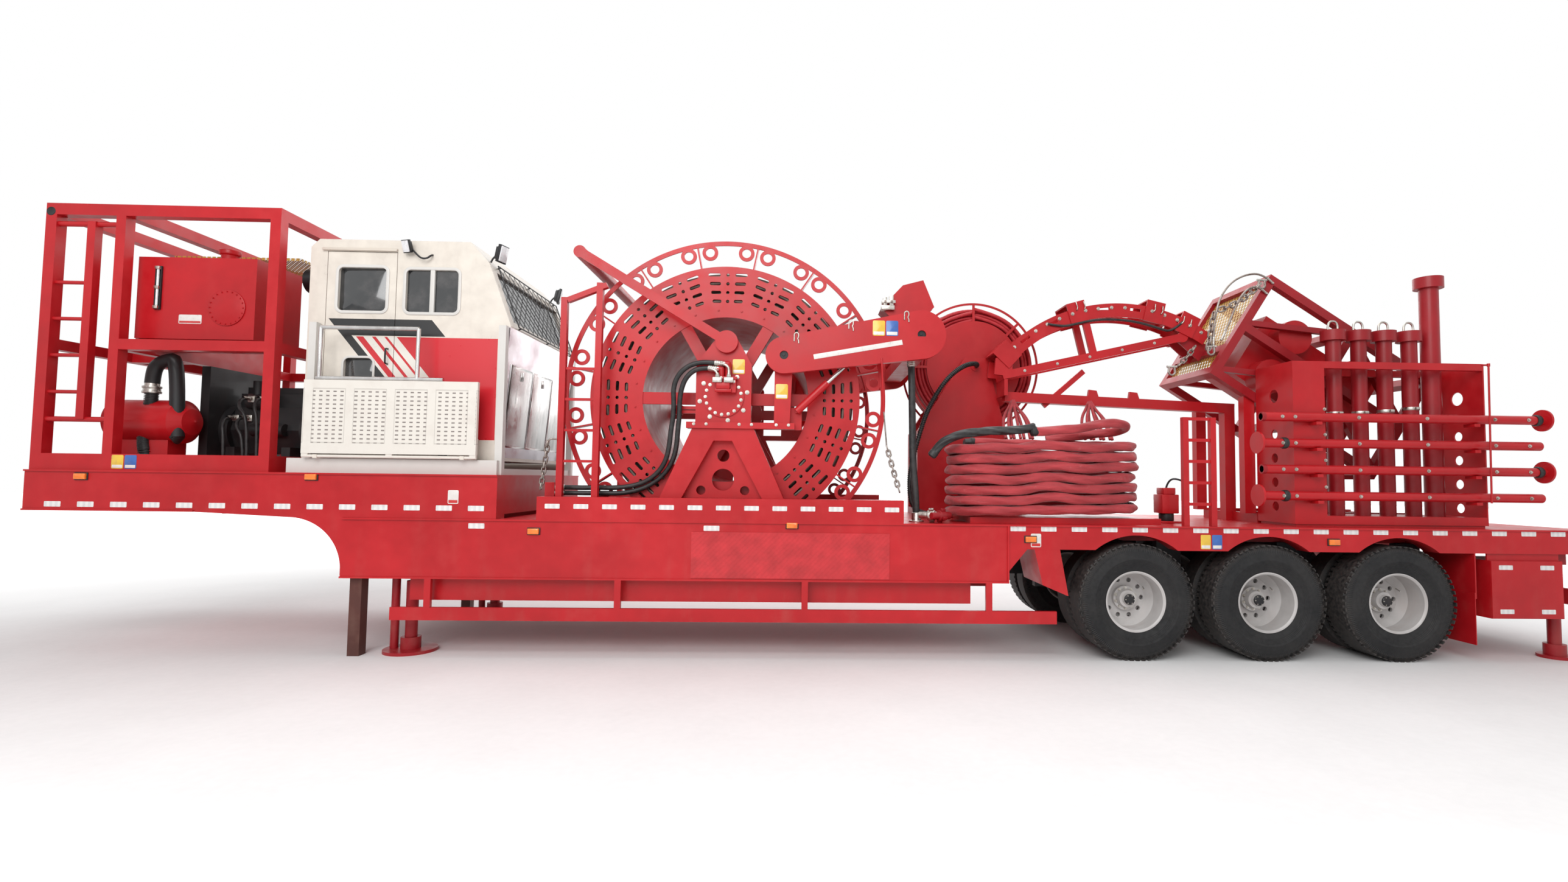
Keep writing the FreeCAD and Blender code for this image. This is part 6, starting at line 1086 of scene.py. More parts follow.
tapes("gooseneck_tape", -7.35, -3.2, 0.30, 1.40, "trailer_frame")
tapes("skid_tape", -2.73, 0.5, 0.27, 1.43, "reel_skid", 0.14, 0.045)
tapes("mid_tape", -3.44, -1.0, 2.22, 1.235, "trailer_frame")
tapes("rear_tape", 1.74, 7.2, 0.30, 1.262, "trailer_frame")
tapes("toolbox_tape", 6.46, 7.3, 0.35, 0.95, "lockers", 0.14, 0.045)
for side, title in ((-1, "left"), (1, "right")):
    door = f"toolbox_door_{title}"
    places = seats(door, [(x, z) for x in (6.58, 7.0) for z in (0.93, 0.50)], side)
    tape_row(f"door_tape_{title}", door, places, 0.14, 0.044)


def side_lamp(name, x, z):
    """An amber marker on both sides: a dark base and a stepped lens."""
    met = side_face("trailer_frame", x, z)
    base = start_block(name + "_base", (x - 0.062, met.y - 0.008, z - 0.035), (x + 0.062, met.y, z + 0.035))
    lens = start_block(name, (x - 0.052, met.y - 0.028, z - 0.027), (x + 0.052, met.y - 0.006, z + 0.027))
    pick(lens, "FACE", lambda middle, normal: normal.y < -0.9)
    bpy.ops.mesh.inset(thickness=0.008)
    bpy.ops.transform.translate(value=(0, -0.004, 0))
    leave_all()
    finish_piece(on_both_sides(base, name + "_bases"), "trailer", black_paint, 0.003)
    finish_piece(on_both_sides(lens, name + "_lenses"), "trailer", amber_lens, 0.004, 3)


lamp_spots = (-4.99, 1.68), (-2.9, 1.19), (-0.45, 1.27), (1.86, 1.16), (4.86, 1.16), (-7.1, 1.66)
for i, (x, z) in enumerate(lamp_spots):
    side_lamp(f"marker_{i}", x, z)


def sign(name, x, z, width, height, finish, field, node, body="trailer"):
    """A blank plate, with a field of a second colour along its foot."""
    met = side_face(node, x, z)
    low = (x - width / 2, met.y - 0.002, z - height / 2)
    high = (x + width / 2, met.y + 0.0005, z + height / 2)
    margin, band = 0.008, 0.22 * height
    plate_on(name, body, low, high, finish, 0.0006)
    plate_on(name + "_field", body, (low[0] + margin, met.y - 0.0028, low[2] + margin),
             (high[0] - margin, met.y - 0.0012, low[2] + margin + band), field, 0.0004)


sign("gooseneck_sign", -3.667, 1.506, 0.10, 0.13, sign_white, sign_red, "trailer_frame")
sign("rear_sign", 1.914, 1.150, 0.10, 0.13, sign_white, sign_red, "trailer_frame")
sign("rear_yellow_sign", 3.587, 1.150, 0.10, 0.14, sign_yellow, sign_white, "trailer_frame")
sign("rear_blue_sign", 3.70, 1.150, 0.10, 0.14, sign_blue, sign_white, "trailer_frame")
sign("pack_yellow_sign", -6.815, 1.80, 0.11, 0.13, sign_yellow, sign_white, "power_pack_frame")
sign("pack_blue_sign", -6.695, 1.80, 0.11, 0.13, sign_blue, sign_white, "power_pack_frame")
sign("tank_sign", -6.39, 3.21, 0.22, 0.09, sign_white, sign_red, "tanks")
sign("housing_sign", -0.997, 2.81, 0.12, 0.145, sign_yellow, sign_white, "reel_stand")
sign("arm_post_sign", -0.572, 2.572, 0.12, 0.145, sign_yellow, sign_white, "reel_stand")
sign("arm_yellow_sign", 0.370, 3.20, 0.12, 0.15, sign_yellow, sign_white, "levelwind_arm", "levelwind")
sign("arm_blue_sign", 0.500, 3.20, 0.12, 0.15, sign_blue, sign_white, "levelwind_arm", "levelwind")
lean = math.atan2(0.162, 0.88)
band = start_block("arm_stripe", (-0.44, -0.0015, -0.024), (0.44, 0.0015, 0.024))
pick(band, "FACE", lambda middle, normal: abs(normal.x) > 0.9)
bpy.ops.mesh.inset(thickness=0.004)
leave_all()
arm_face = side_face("levelwind_arm", 0.2, 3.0)
at_middle = Matrix.Translation((0.169, arm_face.y - 0.001, 2.985))
band.data.transform(at_middle @ Matrix.Rotation(-lean, 4, "Y"))
print("signs and stripe are on")
finish_piece(band, "levelwind", sign_white, 0.0006)

# %% [markdown]
# ## Reel fittings
# Round the swivel runs a ring of screws, and more bolts hold the bearing plates, a shelf on the stand and the
# reel's disc segments. A ring helper gives the places, and the seat helper puts every bolt on its face.

# %% Reel bolts
def ring_seats(node, radius, count, first, side, near, far):
    """Places round the reel's shaft on a node, where its face is between two distances from the middle."""
    ring = [(place.x, place.z) for place in ring_of((reel_mid.x, 0, reel_mid.z), radius, count, first=first)]
    return [met for met in seats(node, ring, side) if near < abs(met.y) < far]


for side, title in ((-1, "left"), (1, "right")):
    for name, radius, count, size in (("swivel_ring", 0.175, 17, 0.013), ("bearing_ring", 0.235, 8, 0.017)):
        places = ring_seats("reel_stand", radius, count, 0.2, side, 1.1, 3)
        if places:
            bolts(f"{name}_{title}", "trailer", places, (0, side, 0), size, zinc)
    places = seats("reel_stand", [(x, 2.24) for x in (-1.42, -1.30, -0.98, -0.86, -0.62, -0.50)], side)
    bolts(f"shelf_bolts_{title}", "trailer", places, (0, side, 0), 0.012, zinc)
    for radius, count in ((1.40, 32), (0.905, 24)):
        places = ring_seats("reel_drum", radius, count, 0.1, side, 0.9, 0.99)
        if places:
            bolts(f"disc_bolts_{count}_{title}", "reel", places, (0, side, 0), 0.011, red_paint)
        print("disc ring", count, title, len(places))


def chain(name, body, points, bar, finish):
    """Oval links along a line, each turned a quarter from the last."""
    line = [Vector(point) for point in points]
    run = [0.0]
    for a, b in zip(line, line[1:]):
        run.append(run[-1] + (b - a).length)
    length, width = 5.2 * bar, 3.4 * bar
    leave_all()
    bpy.ops.mesh.primitive_torus_add(major_segments=14, minor_segments=6, major_radius=(width - bar) / 2,
                                     minor_radius=bar / 2)
    link = named(name)
    for vertex in link.data.vertices:
        vertex.co.x += math.copysign((length - width) / 2, vertex.co.x)
    changes = []
    pitch = length - 2 * bar
    for i in range(int(run[-1] / pitch)):
        along = (i + 0.5) * pitch
        k = max(j for j in range(len(run) - 1) if run[j] <= along)
        share = (along - run[k]) / (run[k + 1] - run[k])
        place = line[k].lerp(line[k + 1], share)
        heading = (line[k + 1] - line[k]).normalized()
        turn_to = heading.to_track_quat("X", "Z").to_matrix().to_4x4()
        changes.append(Matrix.Translation(place) @ turn_to @ Matrix.Rotation(math.pi / 2 * (i % 2), 4, "X"))
    row = at_each(link, name, changes)
    return finish_piece(row, body, finish, angle=60)


def sagging(start, end, sag, count=12):
    """Points on a hanging line between two places."""
    start, end = Vector(start), Vector(end)
    made = []
    for i in range(count + 1):
        share = i / count
        made.append(start.lerp(end, share) - Vector((0, 0, 4 * sag * share * (1 - share))))
    return made

print("chains are ready")

# %% [markdown]
# ## Cabin dressing
# Each window sits in a raised white frame with rounded corners, and the door has dark glass of its own. The
# windscreen carries a guard of crossed wires. Lamps on bent brackets and thin panel doors finish the shell.


# %% Cabin pieces
def window_frame(name, body, low, high, width=0.03):
    """A rounded frame round an opening, standing proud of a left side."""
    leave_all()
    centre = ((low[0] + high[0]) / 2, -1.003, (low[1] + high[1]) / 2)
    bpy.ops.mesh.primitive_plane_add(size=1, location=centre, rotation=(math.pi / 2, 0, 0))
    bpy.context.object.scale = (high[0] - low[0] + 2 * width, high[1] - low[1] + 2 * width, 1)
    bpy.ops.object.transform_apply(location=True, rotation=True, scale=True)
    piece = named(name)
    bpy.ops.object.mode_set(mode="EDIT")
    bpy.ops.mesh.select_all(action="SELECT")
    bpy.ops.mesh.bevel(offset=0.075, segments=6, affect="VERTICES")
    bpy.ops.mesh.select_all(action="SELECT")
    bpy.ops.mesh.inset(thickness=width)
    bpy.ops.mesh.delete(type="FACE")
    take(piece)
    thick = piece.modifiers.new("thick", "SOLIDIFY")
    thick.thickness = 0.012
    thick.offset = 0
    bpy.ops.object.modifier_apply(modifier="thick")
    return finish_piece(piece, body, white_paint, 0.004)


door_glass = (-4.976, 3.328), (-4.512, 3.759)
low_glass = (-4.890, 2.560), (-4.610, 2.855)
side_glass = (-4.317, 3.324), (-3.807, 3.747)
window_frame("door_window_frame", "cabin_door", *door_glass)
window_frame("door_low_window_frame", "cabin_door", *low_glass, 0.022)
window_frame("side_window_frame", "cabin", *side_glass)
for name, (low, high) in (("door_glass", door_glass), ("door_low_glass", low_glass)):
    plate_on(name, "cabin_door", (low[0] - 0.004, -0.973, low[1] - 0.004),
             (high[0] + 0.004, -0.967, high[1] + 0.004), tinted_glass, 0.001)
middle = (side_glass[0][0] + side_glass[1][0]) / 2
plate_on("sliding_bar", "cabin", (middle - 0.022, -1.004, side_glass[0][1] - 0.004),
         (middle + 0.022, -0.975, side_glass[1][1] + 0.004), white_paint, 0.004)
drip = start_block("door_drip_rail", (-5.14, -1.028, 3.925), (-4.41, -0.999, 3.952))
pick(drip, "FACE", lambda place, normal: normal.z > 0.9)
bpy.ops.transform.translate(value=(0, 0.01, 0))
leave_all()
finish_piece(drip, "cabin", cream_paint, 0.004)
bow = (-1.0, 2.95), (-1.04, 2.95), (-1.045, 2.93), (-1.045, 2.82), (-1.04, 2.80), (-1.0, 2.80)
pipe("door_handle", [(-4.47, y, z) for y, z in bow], 0.008, "cabin_door", black_paint)

glass_low, glass_high = Vector((-3.278, 0, 3.203)), Vector((-3.51, 0, 3.83))
slope_up = (glass_high - glass_low).normalized()
outward = Vector((slope_up.z, 0, -slope_up.x))
lines, half_width, lean_over = 13, 0.86, 0.35


def on_guard(across, share):
    """A place on the guard, from its foot at 0 to its head at 1."""
    return glass_low + (glass_high - glass_low) * share + outward * 0.03 + Vector((0, across, 0))


wires = []
for lean in (-lean_over, lean_over):
    for i in range(-lines, lines + 1):
        (y0, s0), (y1, s1) = (i * 1.72 / lines - lean, 0.0), (i * 1.72 / lines + lean, 1.0)
        for edge in (-half_width, half_width):
            if (y0 - edge) * (y1 - edge) < 0:
                cut_at = s0 + (s1 - s0) * (edge - y0) / (y1 - y0)
                if (y0 < edge) == (edge < 0):
                    y0, s0 = edge, cut_at
                else:
                    y1, s1 = edge, cut_at
        if max(abs(y0), abs(y1)) < half_width + 0.0001:
            wires.append(start_round("wire", on_guard(y0, s0), on_guard(y1, s1), 0.003, 6))
for y in (-half_width, half_width):
    wires.append(start_round("wire", on_guard(y, 0), on_guard(y, 1), 0.007, 8))
for share in (0, 1):
    wires.append(start_round("wire", on_guard(-half_width, share), on_guard(half_width, share), 0.007, 8))
    for y in (-0.8, 0, 0.8):
        place = on_guard(y, share)
        wires.append(start_round("wire", place, place - outward * 0.036, 0.008, 8))
finish_piece(join_all("windscreen_guard", wires), "cabin", black_paint, angle=60)

rear_foot = Vector((-3.392, 0, 1.86))
turn_rear = Matrix.Rotation(math.atan2(0.114, 1.343), 4, "Y")
doors = []
for y in (-0.60, 0, 0.60):
    door = start_block("rear_door", (0, y - 0.285, 0.14), (0.008, y + 0.285, 0.98))
    pick(door, "FACE", lambda place, normal: normal.x > 0.9)
    bpy.ops.mesh.inset(thickness=0.03)
    bpy.ops.transform.translate(value=(0.004, 0, 0))
    leave_all()
    doors.append(door)
    doors.append(start_block("rear_latch", (0.006, y - 0.035, 0.86), (0.02, y + 0.035, 0.90)))
    doors.append(start_block("rear_latch", (0.012, y - 0.012, 0.84), (0.028, y + 0.012, 0.93)))
rear_set = join_all("rear_locker_doors", doors)
rear_set.data.transform(Matrix.Translation(rear_foot) @ turn_rear)
finish_piece(rear_set, "cabin", stainless, 0.002)


def flood_lamp(name, body, foot, aim, size, arm):
    """A work lamp: a finned case, a bezel, a lens, and its bracket."""
    case = start_block(name, (-0.6 * size, -size, -0.7 * size), (0.0, size, 0.7 * size))
    pick(case, "FACE", lambda place, normal: normal.x < -0.9)
    bpy.ops.transform.resize(value=(1, 0.6, 0.6))
    leave_all()
    fins = [start_block(name, (-0.55 * size, -0.75 * size, z * size - 0.003),
                        (0.02, 0.75 * size, z * size + 0.003)) for z in (-0.5, -0.25, 0, 0.25, 0.5)]
    bezel = start_block(name, (-0.01, -1.05 * size, -0.75 * size), (0.02, 1.05 * size, 0.75 * size))
    lens = start_block(name + "_lens", (0.012, -0.92 * size, -0.62 * size), (0.03, 0.92 * size, 0.62 * size))
    whole = join_all(name, [case, bezel] + fins)
    place = turned_to(foot, aim) @ Matrix.Rotation(-math.pi / 2, 4, "Y")
    whole.data.transform(place)
    lens.data.transform(place)
    finish_piece(whole, body, black_paint, 0.003)
    finish_piece(lens, body, clear_lens, 0.004)
    pipe(name + "_bracket", arm, 0.009, body, black_paint)


for side, title in ((-1, "left"), (1, "right")):
    y = 0.86 * side
    arm = [(x, y, z) for x, z in ((-3.50, 3.955), (-3.53, 3.93), (-3.55, 3.90), (-3.56, 3.87))]
    flood_lamp(f"rear_flood_{title}", "cabin", (-3.45, y, 3.965), (0.9, 0.25 * side, -0.2), 0.085, arm)
flood_lamp("door_lamp", "cabin", (-4.29, -1.06, 3.965), (-0.3, -0.9, -0.3), 0.06,
           [(-4.27, -1.03, 3.96), (-4.22, -1.05, 3.91), (-4.16, -1.05, 3.85), (-4.10, -1.05, 3.85),
            (-4.07, -1.03, 3.89), (-4.07, -0.999, 3.90)])
print("cabin dressed")

# %% [markdown]
# ## Power pack dressing
# The tank has a sight tube, a bolted inspection cover and a filler neck. A ribbed suction hose comes down
# from an elbow under it, and smaller hoses loop from the pumps to the deck. Each ends in a steel fitting.

# %% Power pack pieces
tank_face = side_face("tanks", -6.3, 3.4).y
tube_x = -6.704
channel = start_block("sight_channel", (tube_x - 0.03, tank_face - 0.02, 3.30),
                      (tube_x + 0.03, tank_face, 3.73))
pick(channel, "FACE", lambda place, normal: normal.y < -0.9)
bpy.ops.mesh.inset(thickness=0.008)
bpy.ops.mesh.extrude_region_move(TRANSFORM_OT_translate={"value": (0, 0.012, 0)})
leave_all()
finish_piece(channel, "trailer", black_paint, 0.002)
glass_foot = Vector((tube_x, tank_face - 0.02, 3.33))
glass = start_round("sight_glass", glass_foot, glass_foot + Vector((0, 0, 0.37)), 0.011, 16)
finish_piece(glass, "trailer", clear_lens)
ends = [start_block("sight_end", (tube_x - 0.022, tank_face - 0.04, z - 0.016),
                    (tube_x + 0.022, tank_face - 0.002, z + 0.016)) for z in (3.32, 3.515, 3.71)]
finish_piece(join_all("sight_ends", ends), "trailer", zinc, 0.004)
cover_at = Vector((-6.042, tank_face, 3.328))
cover = spun("tank_cover", [(0.001, 0.178), (-0.010, 0.178), (-0.012, 0.174), (-0.012, 0.120),
                            (-0.015, 0.112), (-0.015, 0)], cover_at, "Y", 48)
finish_piece(cover, "trailer", red_paint)
bolts("tank_cover_bolts", "trailer", ring_of(cover_at + Vector((0, -0.012, 0)), 0.162, 20), (0, -1, 0),
      0.007, red_paint)
neck = spun("filler_neck", [(-0.01, 0.075), (0.10, 0.075), (0.11, 0.092), (0.15, 0.092), (0.158, 0.086),
                            (0.165, 0.06), (0.165, 0)], (-6.26, -0.72, 3.825), "Z", 32)
finish_piece(neck, "trailer", red_paint, 0.002)
deck_z = deck_at(-6.92, -0.75, ("trailer_frame", "deck_plates"))
print("deck under the pack at", round(deck_z, 3))
tank_base = face_at("tanks", (-6.66, -0.75, 2.0), (0, 0, 1)).z
elbow = ((-6.66, tank_base + 0.01), (-6.66, tank_base - 0.06), (-6.70, 2.86), (-6.80, 2.84), (-6.89, 2.80),
         (-6.93, 2.72), (-6.935, 2.60))
pipe("suction_elbow", [(x, -0.75, z) for x, z in elbow], 0.062, "trailer", engine_black, 6)
collar = spun("suction_coupling", [(0, 0.05), (0, 0.078), (0.02, 0.078), (0.022, 0.07), (0.05, 0.07),
                                   (0.052, 0.078), (0.07, 0.078), (0.072, 0.06), (0.12, 0.06), (0.12, 0.045)],
              (-6.935, -0.75, 2.50), "Z", 32)
finish_piece(collar, "trailer", zinc, 0.001)
foot_flange = spun("suction_flange", [(0, 0), (0, 0.10), (0.018, 0.10), (0.02, 0.062), (0.075, 0.062),
                                      (0.075, 0.05)], (-6.94, -0.75, deck_z), "Z", 32)
finish_piece(foot_flange, "trailer", engine_black, 0.002)


def ribs_along(name, line, places, half, radius):
    """Rings of rubber round a hose, square to its line."""
    rings = []
    for i in places:
        ahead = (line[i + 1] - line[i]).normalized()
        rings.append(start_round("rib", line[i] - ahead * half, line[i] + ahead * half, radius, 20))
    return finish_piece(join_all(name, rings), "trailer", black_hose)


route = [(x, -0.75, z) for x, z in ((-6.94, deck_z + 0.02), (-6.955, 1.88), (-6.98, 1.98), (-6.985, 2.09),
                                    (-6.965, 2.20), (-6.945, 2.31), (-6.937, 2.42), (-6.935, 2.505))]
line = spline_points("suction_guide", route, 24)
suction = loose_sheath("suction_hose", line, 0.055, 1, 50, 20, 4)
hose_ribs = ribs_along("suction_ribs", line, range(0, len(line) - 1, 3), 0.004, 0.0575)
finish_piece(suction, "trailer", black_hose, angle=60)

ports = (-6.50, 2.30, -6.42), (-6.36, 2.30, -6.22), (-6.28, 2.50, -6.12), (-6.12, 2.50, -6.02)
for i, (x, z, foot_x) in enumerate(ports):
    y = side_face("engine_block", x, z).y
    block = start_block(f"pump_port_{i}", (x - 0.035, y - 0.03, z - 0.035), (x + 0.035, y + 0.004, z + 0.035))
    finish_piece(block, "trailer", zinc, 0.006)
    low_y = y - 0.25
    route = [(x, y - 0.02, z), (x, y - 0.11, z), (x + 0.01, y - 0.19, z - 0.03),
             (x + 0.03, y - 0.235, z - 0.11), (foot_x - 0.02, low_y, z - 0.22),
             (foot_x, low_y, deck_z + 0.17), (foot_x, low_y, deck_z + 0.02)]
    stop = spun(f"port_foot_{i}", [(0, 0), (0, 0.05), (0.012, 0.05), (0.014, 0.026), (0.05, 0.026),
                                   (0.05, 0)], (foot_x, low_y, deck_z), "Z", 24)
    finish_piece(stop, "trailer", zinc)
    ends = [sleeve(f"port_sleeve_{i}_a", (x, y - 0.064, z), (0, -1, 0), 0.016, "trailer"),
            sleeve(f"port_sleeve_{i}_b", (foot_x, low_y, deck_z + 0.08), (0, 0, 1), 0.016, "trailer")]
    lay_cord(f"pump_hose_{i}", route, 0.016, "trailer", black_hose)
for x in (-7.576, -5.39):
    for side in (-1, 1):
        met = side_face("power_pack_frame", x, 4.19, side)
        if met:
            ring = spun("corner_eye", [(0, 0.0), (side * 0.002, 0.034), (side * 0.004, 0.038), (0, 0.042)],
                        met, "Y", 24)
            finish_piece(ring, "trailer", engine_black)
print("power pack dressed")

# %% [markdown]
# ## Arch, injector and rack dressing
# Round bolt heads dot the arch, wire slings and chains hang on the injector's cage, and red web slings tie
# the hose bundles to the beam. Chain links are one torus, drawn out, and turned a quarter from each to the
# next.

# %% Arch and injector pieces
def on_arch(degrees):
    """A place on the arch's curved side, at an angle round its centre."""
    angle = math.radians(degrees)
    return 3.28 + 1.80 * math.cos(angle), 1.94 + 1.80 * math.sin(angle)


curve_spots = [on_arch(degrees) for degrees in range(58, 138, 5)]
chord_spots = [(1.92 + share * 2.1, 2.93 + share * 0.48) for share in (0.12, 0.3, 0.48, 0.66, 0.84)]
for name, places, size in (("arch_bolts", curve_spots, 0.016), ("chord_bolts", chord_spots, 0.013)):
    places = [place for place in seats("guide_arch", places) if place.y < 0]
    bolts(name, "guide_arch", places, (0, -1, 0), size, zinc)
    print(name, len(places))
cage_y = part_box("injector_cage")[0].y
slings = [
    [(4.80, 3.96), (4.68, 4.04), (4.50, 4.03), (4.33, 3.94), (4.21, 3.78), (4.155, 3.60), (4.13, 3.42),
     (4.12, 3.25)],
    [(4.73, 3.84), (4.62, 3.91), (4.48, 3.85), (4.37, 3.66), (4.30, 3.48), (4.22, 3.32)],
]
for i, bends in enumerate(slings):
    start = side_face("injector_cage", *bends[0])
    route = [Vector((start.x, start.y - 0.014, start.z))]
    route += [Vector((x, cage_y - 0.045, z)) for x, z in bends[1:]]
    ends = []
    for at, ahead in ((route[0], route[1]), (route[-1], route[-2])):
        ends.append(sleeve(f"sling_{i}_end_{len(ends)}", at, ahead - at, 0.011, "trailer"))
    lay_cord(f"wire_sling_{i}", route, 0.011, "trailer", chain_steel)
cage_chains = (("top", (4.66, 3.93), (4.14, 3.62), 0.06, 0.022),
               ("side", (4.14, 3.60), (4.06, 3.16), 0.0, 0.022),
               ("low", (3.92, 3.22), (3.70, 2.98), 0.02, 0.018))
for name, (x0, z0), (x1, z1), sag, bar in cage_chains:
    hang = sagging((x0, cage_y - 0.035, z0), (x1, cage_y - 0.035, z1), sag)
    chain(f"cage_chain_{name}", "trailer", hang, bar, chain_steel)


def shackle(name, body, place, size):
    """A bow of round bar with its pin."""
    x, y, z = place
    bow = pipe(name, [(x - size, y, z), (x - size, y, z - size), (x - 1.2 * size, y, z - 2.2 * size),
                      (x, y, z - 3.1 * size), (x + 1.2 * size, y, z - 2.2 * size), (x + size, y, z - size),
                      (x + size, y, z)], 0.36 * size, body, chain_steel)
    pin = start_round(name + "_pin", (x - 1.7 * size, y, z), (x + 1.7 * size, y, z), 0.42 * size, 12)
    finish_piece(pin, body, zinc)
    return bow


for i, (x, z) in enumerate(((4.10, 3.22), (3.66, 2.99), (4.68, 3.97))):
    shackle(f"cage_shackle_{i}", "trailer", (x, cage_y - 0.035, z), 0.032)
strands = []
for x in (2.03, 2.92):
    for k, spread in enumerate((-0.15, -0.105, -0.055, 0.0, 0.055, 0.105, 0.15)):
        side = -0.05 * (k % 2) - 0.03
        fall = ((0, 0, 2.64), (0.25, 0.03, 2.57), (0.8, 0.10, 2.46), (1.05, 0.19, 2.33), (1, 0.28, 2.19))
        route = [(x + share * spread, side - out, z) for share, out, z in fall]
        strands.append(start_bar("web", route, 0.017, 5, 2))
    strands.append(spun("web_knot", [(-0.03, 0.02), (-0.03, 0.036), (-0.015, 0.043), (0.012, 0.04),
                                     (0.03, 0.028), (0.03, 0.02)], (x, -0.055, 2.60), "Z", 16))
finish_piece(join_all("web_slings", strands), "trailer", sheath, angle=60)
pipe_x = [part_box("riser_rack")[0].x + 0.61 + 0.273 * k for k in range(4)]
pipe_y = -0.82
for k, x in enumerate(pipe_x):
    met = face_at("riser_pipes", (x, pipe_y, 5), (0, 0, -1))
    eye = (-0.05, -0.005), (-0.055, 0.05), (-0.03, 0.10), (0.03, 0.10), (0.055, 0.05), (0.05, -0.005)
    pipe(f"riser_eye_{k}", [(x + across, pipe_y, met.z + up) for across, up in eye], 0.011, "trailer", zinc)
leg_heights = [1.61 + 0.263 * k for k in range(4)]
legs = seats("stabiliser_legs", [(x, z) for z in leg_heights for x in (4.42, 4.55, 5.2, 5.9, 6.6, 6.95)])
bolts("leg_pins", "trailer", legs, (0, -1, 0), 0.014, zinc)
print("leg pins:", len(legs))
skid_hang = sagging((-2.80, -1.215, 2.05), (-2.86, -1.215, 1.56), 0.01)
chain("skid_chain_left", "trailer", skid_hang, 0.016, chain_steel)
pipe("chain_post_link", [(-2.73, -1.19, 2.07), (-2.76, -1.215, 2.075), (-2.79, -1.22, 2.065),
                         (-2.80, -1.215, 2.045)], 0.008, "trailer", chain_steel)
pipe("arm_drop_bar", [(0.40, -1.232, 2.90), (0.402, -1.24, 2.86), (0.41, -1.235, 2.66), (0.425, -1.22, 2.38)],
     0.010, "levelwind", red_paint)
pipe("arm_drop_line", [(0.425, -1.22, 2.39), (0.435, -1.215, 2.28), (0.45, -1.20, 2.15), (0.46, -1.19, 2.04)],
     0.007, "levelwind", chain_steel)
chain("arm_chain", "levelwind", sagging((0.46, -1.19, 2.05), (0.60, -1.21, 1.56), 0.01), 0.016, chain_steel)

# %% [markdown]
# ## Fittings on the reel's arm and swivel
# The arm is held at its pivots by black-capped pins, and spare hair-pin clips hang along its upper edge. A
# silver clamp holds the counter head, and the swivel's two hoses meet it at steel elbows on a short
# manifold.

# %% Arm and swivel pieces
for i, (x, z) in enumerate(((-0.556, 2.927), (0.788, 3.152))):
    met = side_face("levelwind_arm", x, z) or arm_face
    ring = spun(f"pivot_cap_{i}", [(0.004, 0.062), (-0.010, 0.062), (-0.012, 0.058), (-0.012, 0.046),
                                   (-0.008, 0.044), (-0.008, 0.016), (-0.014, 0.014), (-0.014, 0)],
                (x, met.y, z), "Y", 40)
    finish_piece(ring, "levelwind", black_paint)
hair_pin = ((-0.022, -0.075), (-0.022, -0.02), (-0.02, 0), (0, 0.012), (0.02, 0), (0.022, -0.03),
            (0.010, -0.05), (0.022, -0.07), (0.022, -0.095))
for i, (x, z) in enumerate(((-0.434, 3.13), (0.097, 3.262), (0.641, 3.36))):
    y = (side_face("levelwind_arm", x, z - 0.06) or arm_face).y - 0.008
    pipe(f"hair_pin_{i}", [(x + across, y, z + up) for across, up in hair_pin], 0.006, "levelwind", zinc, 3)
clamp_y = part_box("counter_head")[0].y + 0.012
clamp = [start_block("clamp", (0.46, clamp_y - 0.06, 3.53), (0.60, clamp_y + 0.03, 3.58)),
         start_block("clamp", (0.48, clamp_y - 0.055, 3.578), (0.52, clamp_y + 0.02, 3.67)),
         start_block("clamp", (0.545, clamp_y - 0.055, 3.578), (0.59, clamp_y + 0.02, 3.69)),
         start_block("clamp", (0.465, clamp_y - 0.065, 3.60), (0.61, clamp_y + 0.025, 3.635))]
finish_piece(join_all("counter_clamp", clamp), "counter_head", zinc, 0.006)
bolts("counter_clamp_bolts", "counter_head", [(x, clamp_y - 0.065, 3.618) for x in (0.50, 0.57)], (0, -1, 0),
      0.012, chain_steel)

swivel_y = side_face("reel_stand", -1.13, 2.60).y
manifold = [start_block("manifold", (-1.235, swivel_y - 0.055, 2.635), (-1.145, swivel_y + 0.004, 2.685)),
            start_block("manifold", (-1.125, swivel_y - 0.055, 2.635), (-1.035, swivel_y + 0.004, 2.685)),
            start_block("manifold", (-1.20, swivel_y - 0.04, 2.575), (-1.07, swivel_y + 0.004, 2.637)),
            start_block("manifold", (-1.215, swivel_y - 0.03, 2.545), (-1.055, swivel_y + 0.004, 2.578))]
finish_piece(join_all("swivel_manifold", manifold[:2]), "trailer", zinc, 0.005)
finish_piece(join_all("swivel_block", manifold[2:]), "trailer", red_paint, 0.005)
front = swivel_y - 0.032
for i, (x, top) in enumerate(((-1.19, 2.735), (-1.08, 2.785))):
    pipe(f"swivel_elbow_{i}", [(x, front, 2.68), (x, front, top - 0.04), (x - 0.005, front, top),
                               (x - 0.04, front + 0.004, top + 0.03), (x - 0.09, front + 0.02, top + 0.04)],
         0.013, "trailer", zinc)
    nuts = [start_round("nut", (x, front, 2.684), (x, front, 2.712), 0.023, 6),
            start_round("nut", (x, front, 2.712), (x, front, 2.728), 0.018, 16)]
    finish_piece(join_all(f"swivel_nuts_{i}", nuts), "trailer", zinc, 0.002)
print("arm and swivel fittings are on")

# %% [markdown]
# ## Hoses beside the hose reel
# A black hose stands upright between the two reels, and a ribbed one comes down from the small reel's hub,
# lies on the deck and ends in a coupling beside the stacked bundles. The ribs are rings of the same rubber,
# set along the hose every few centimetres.

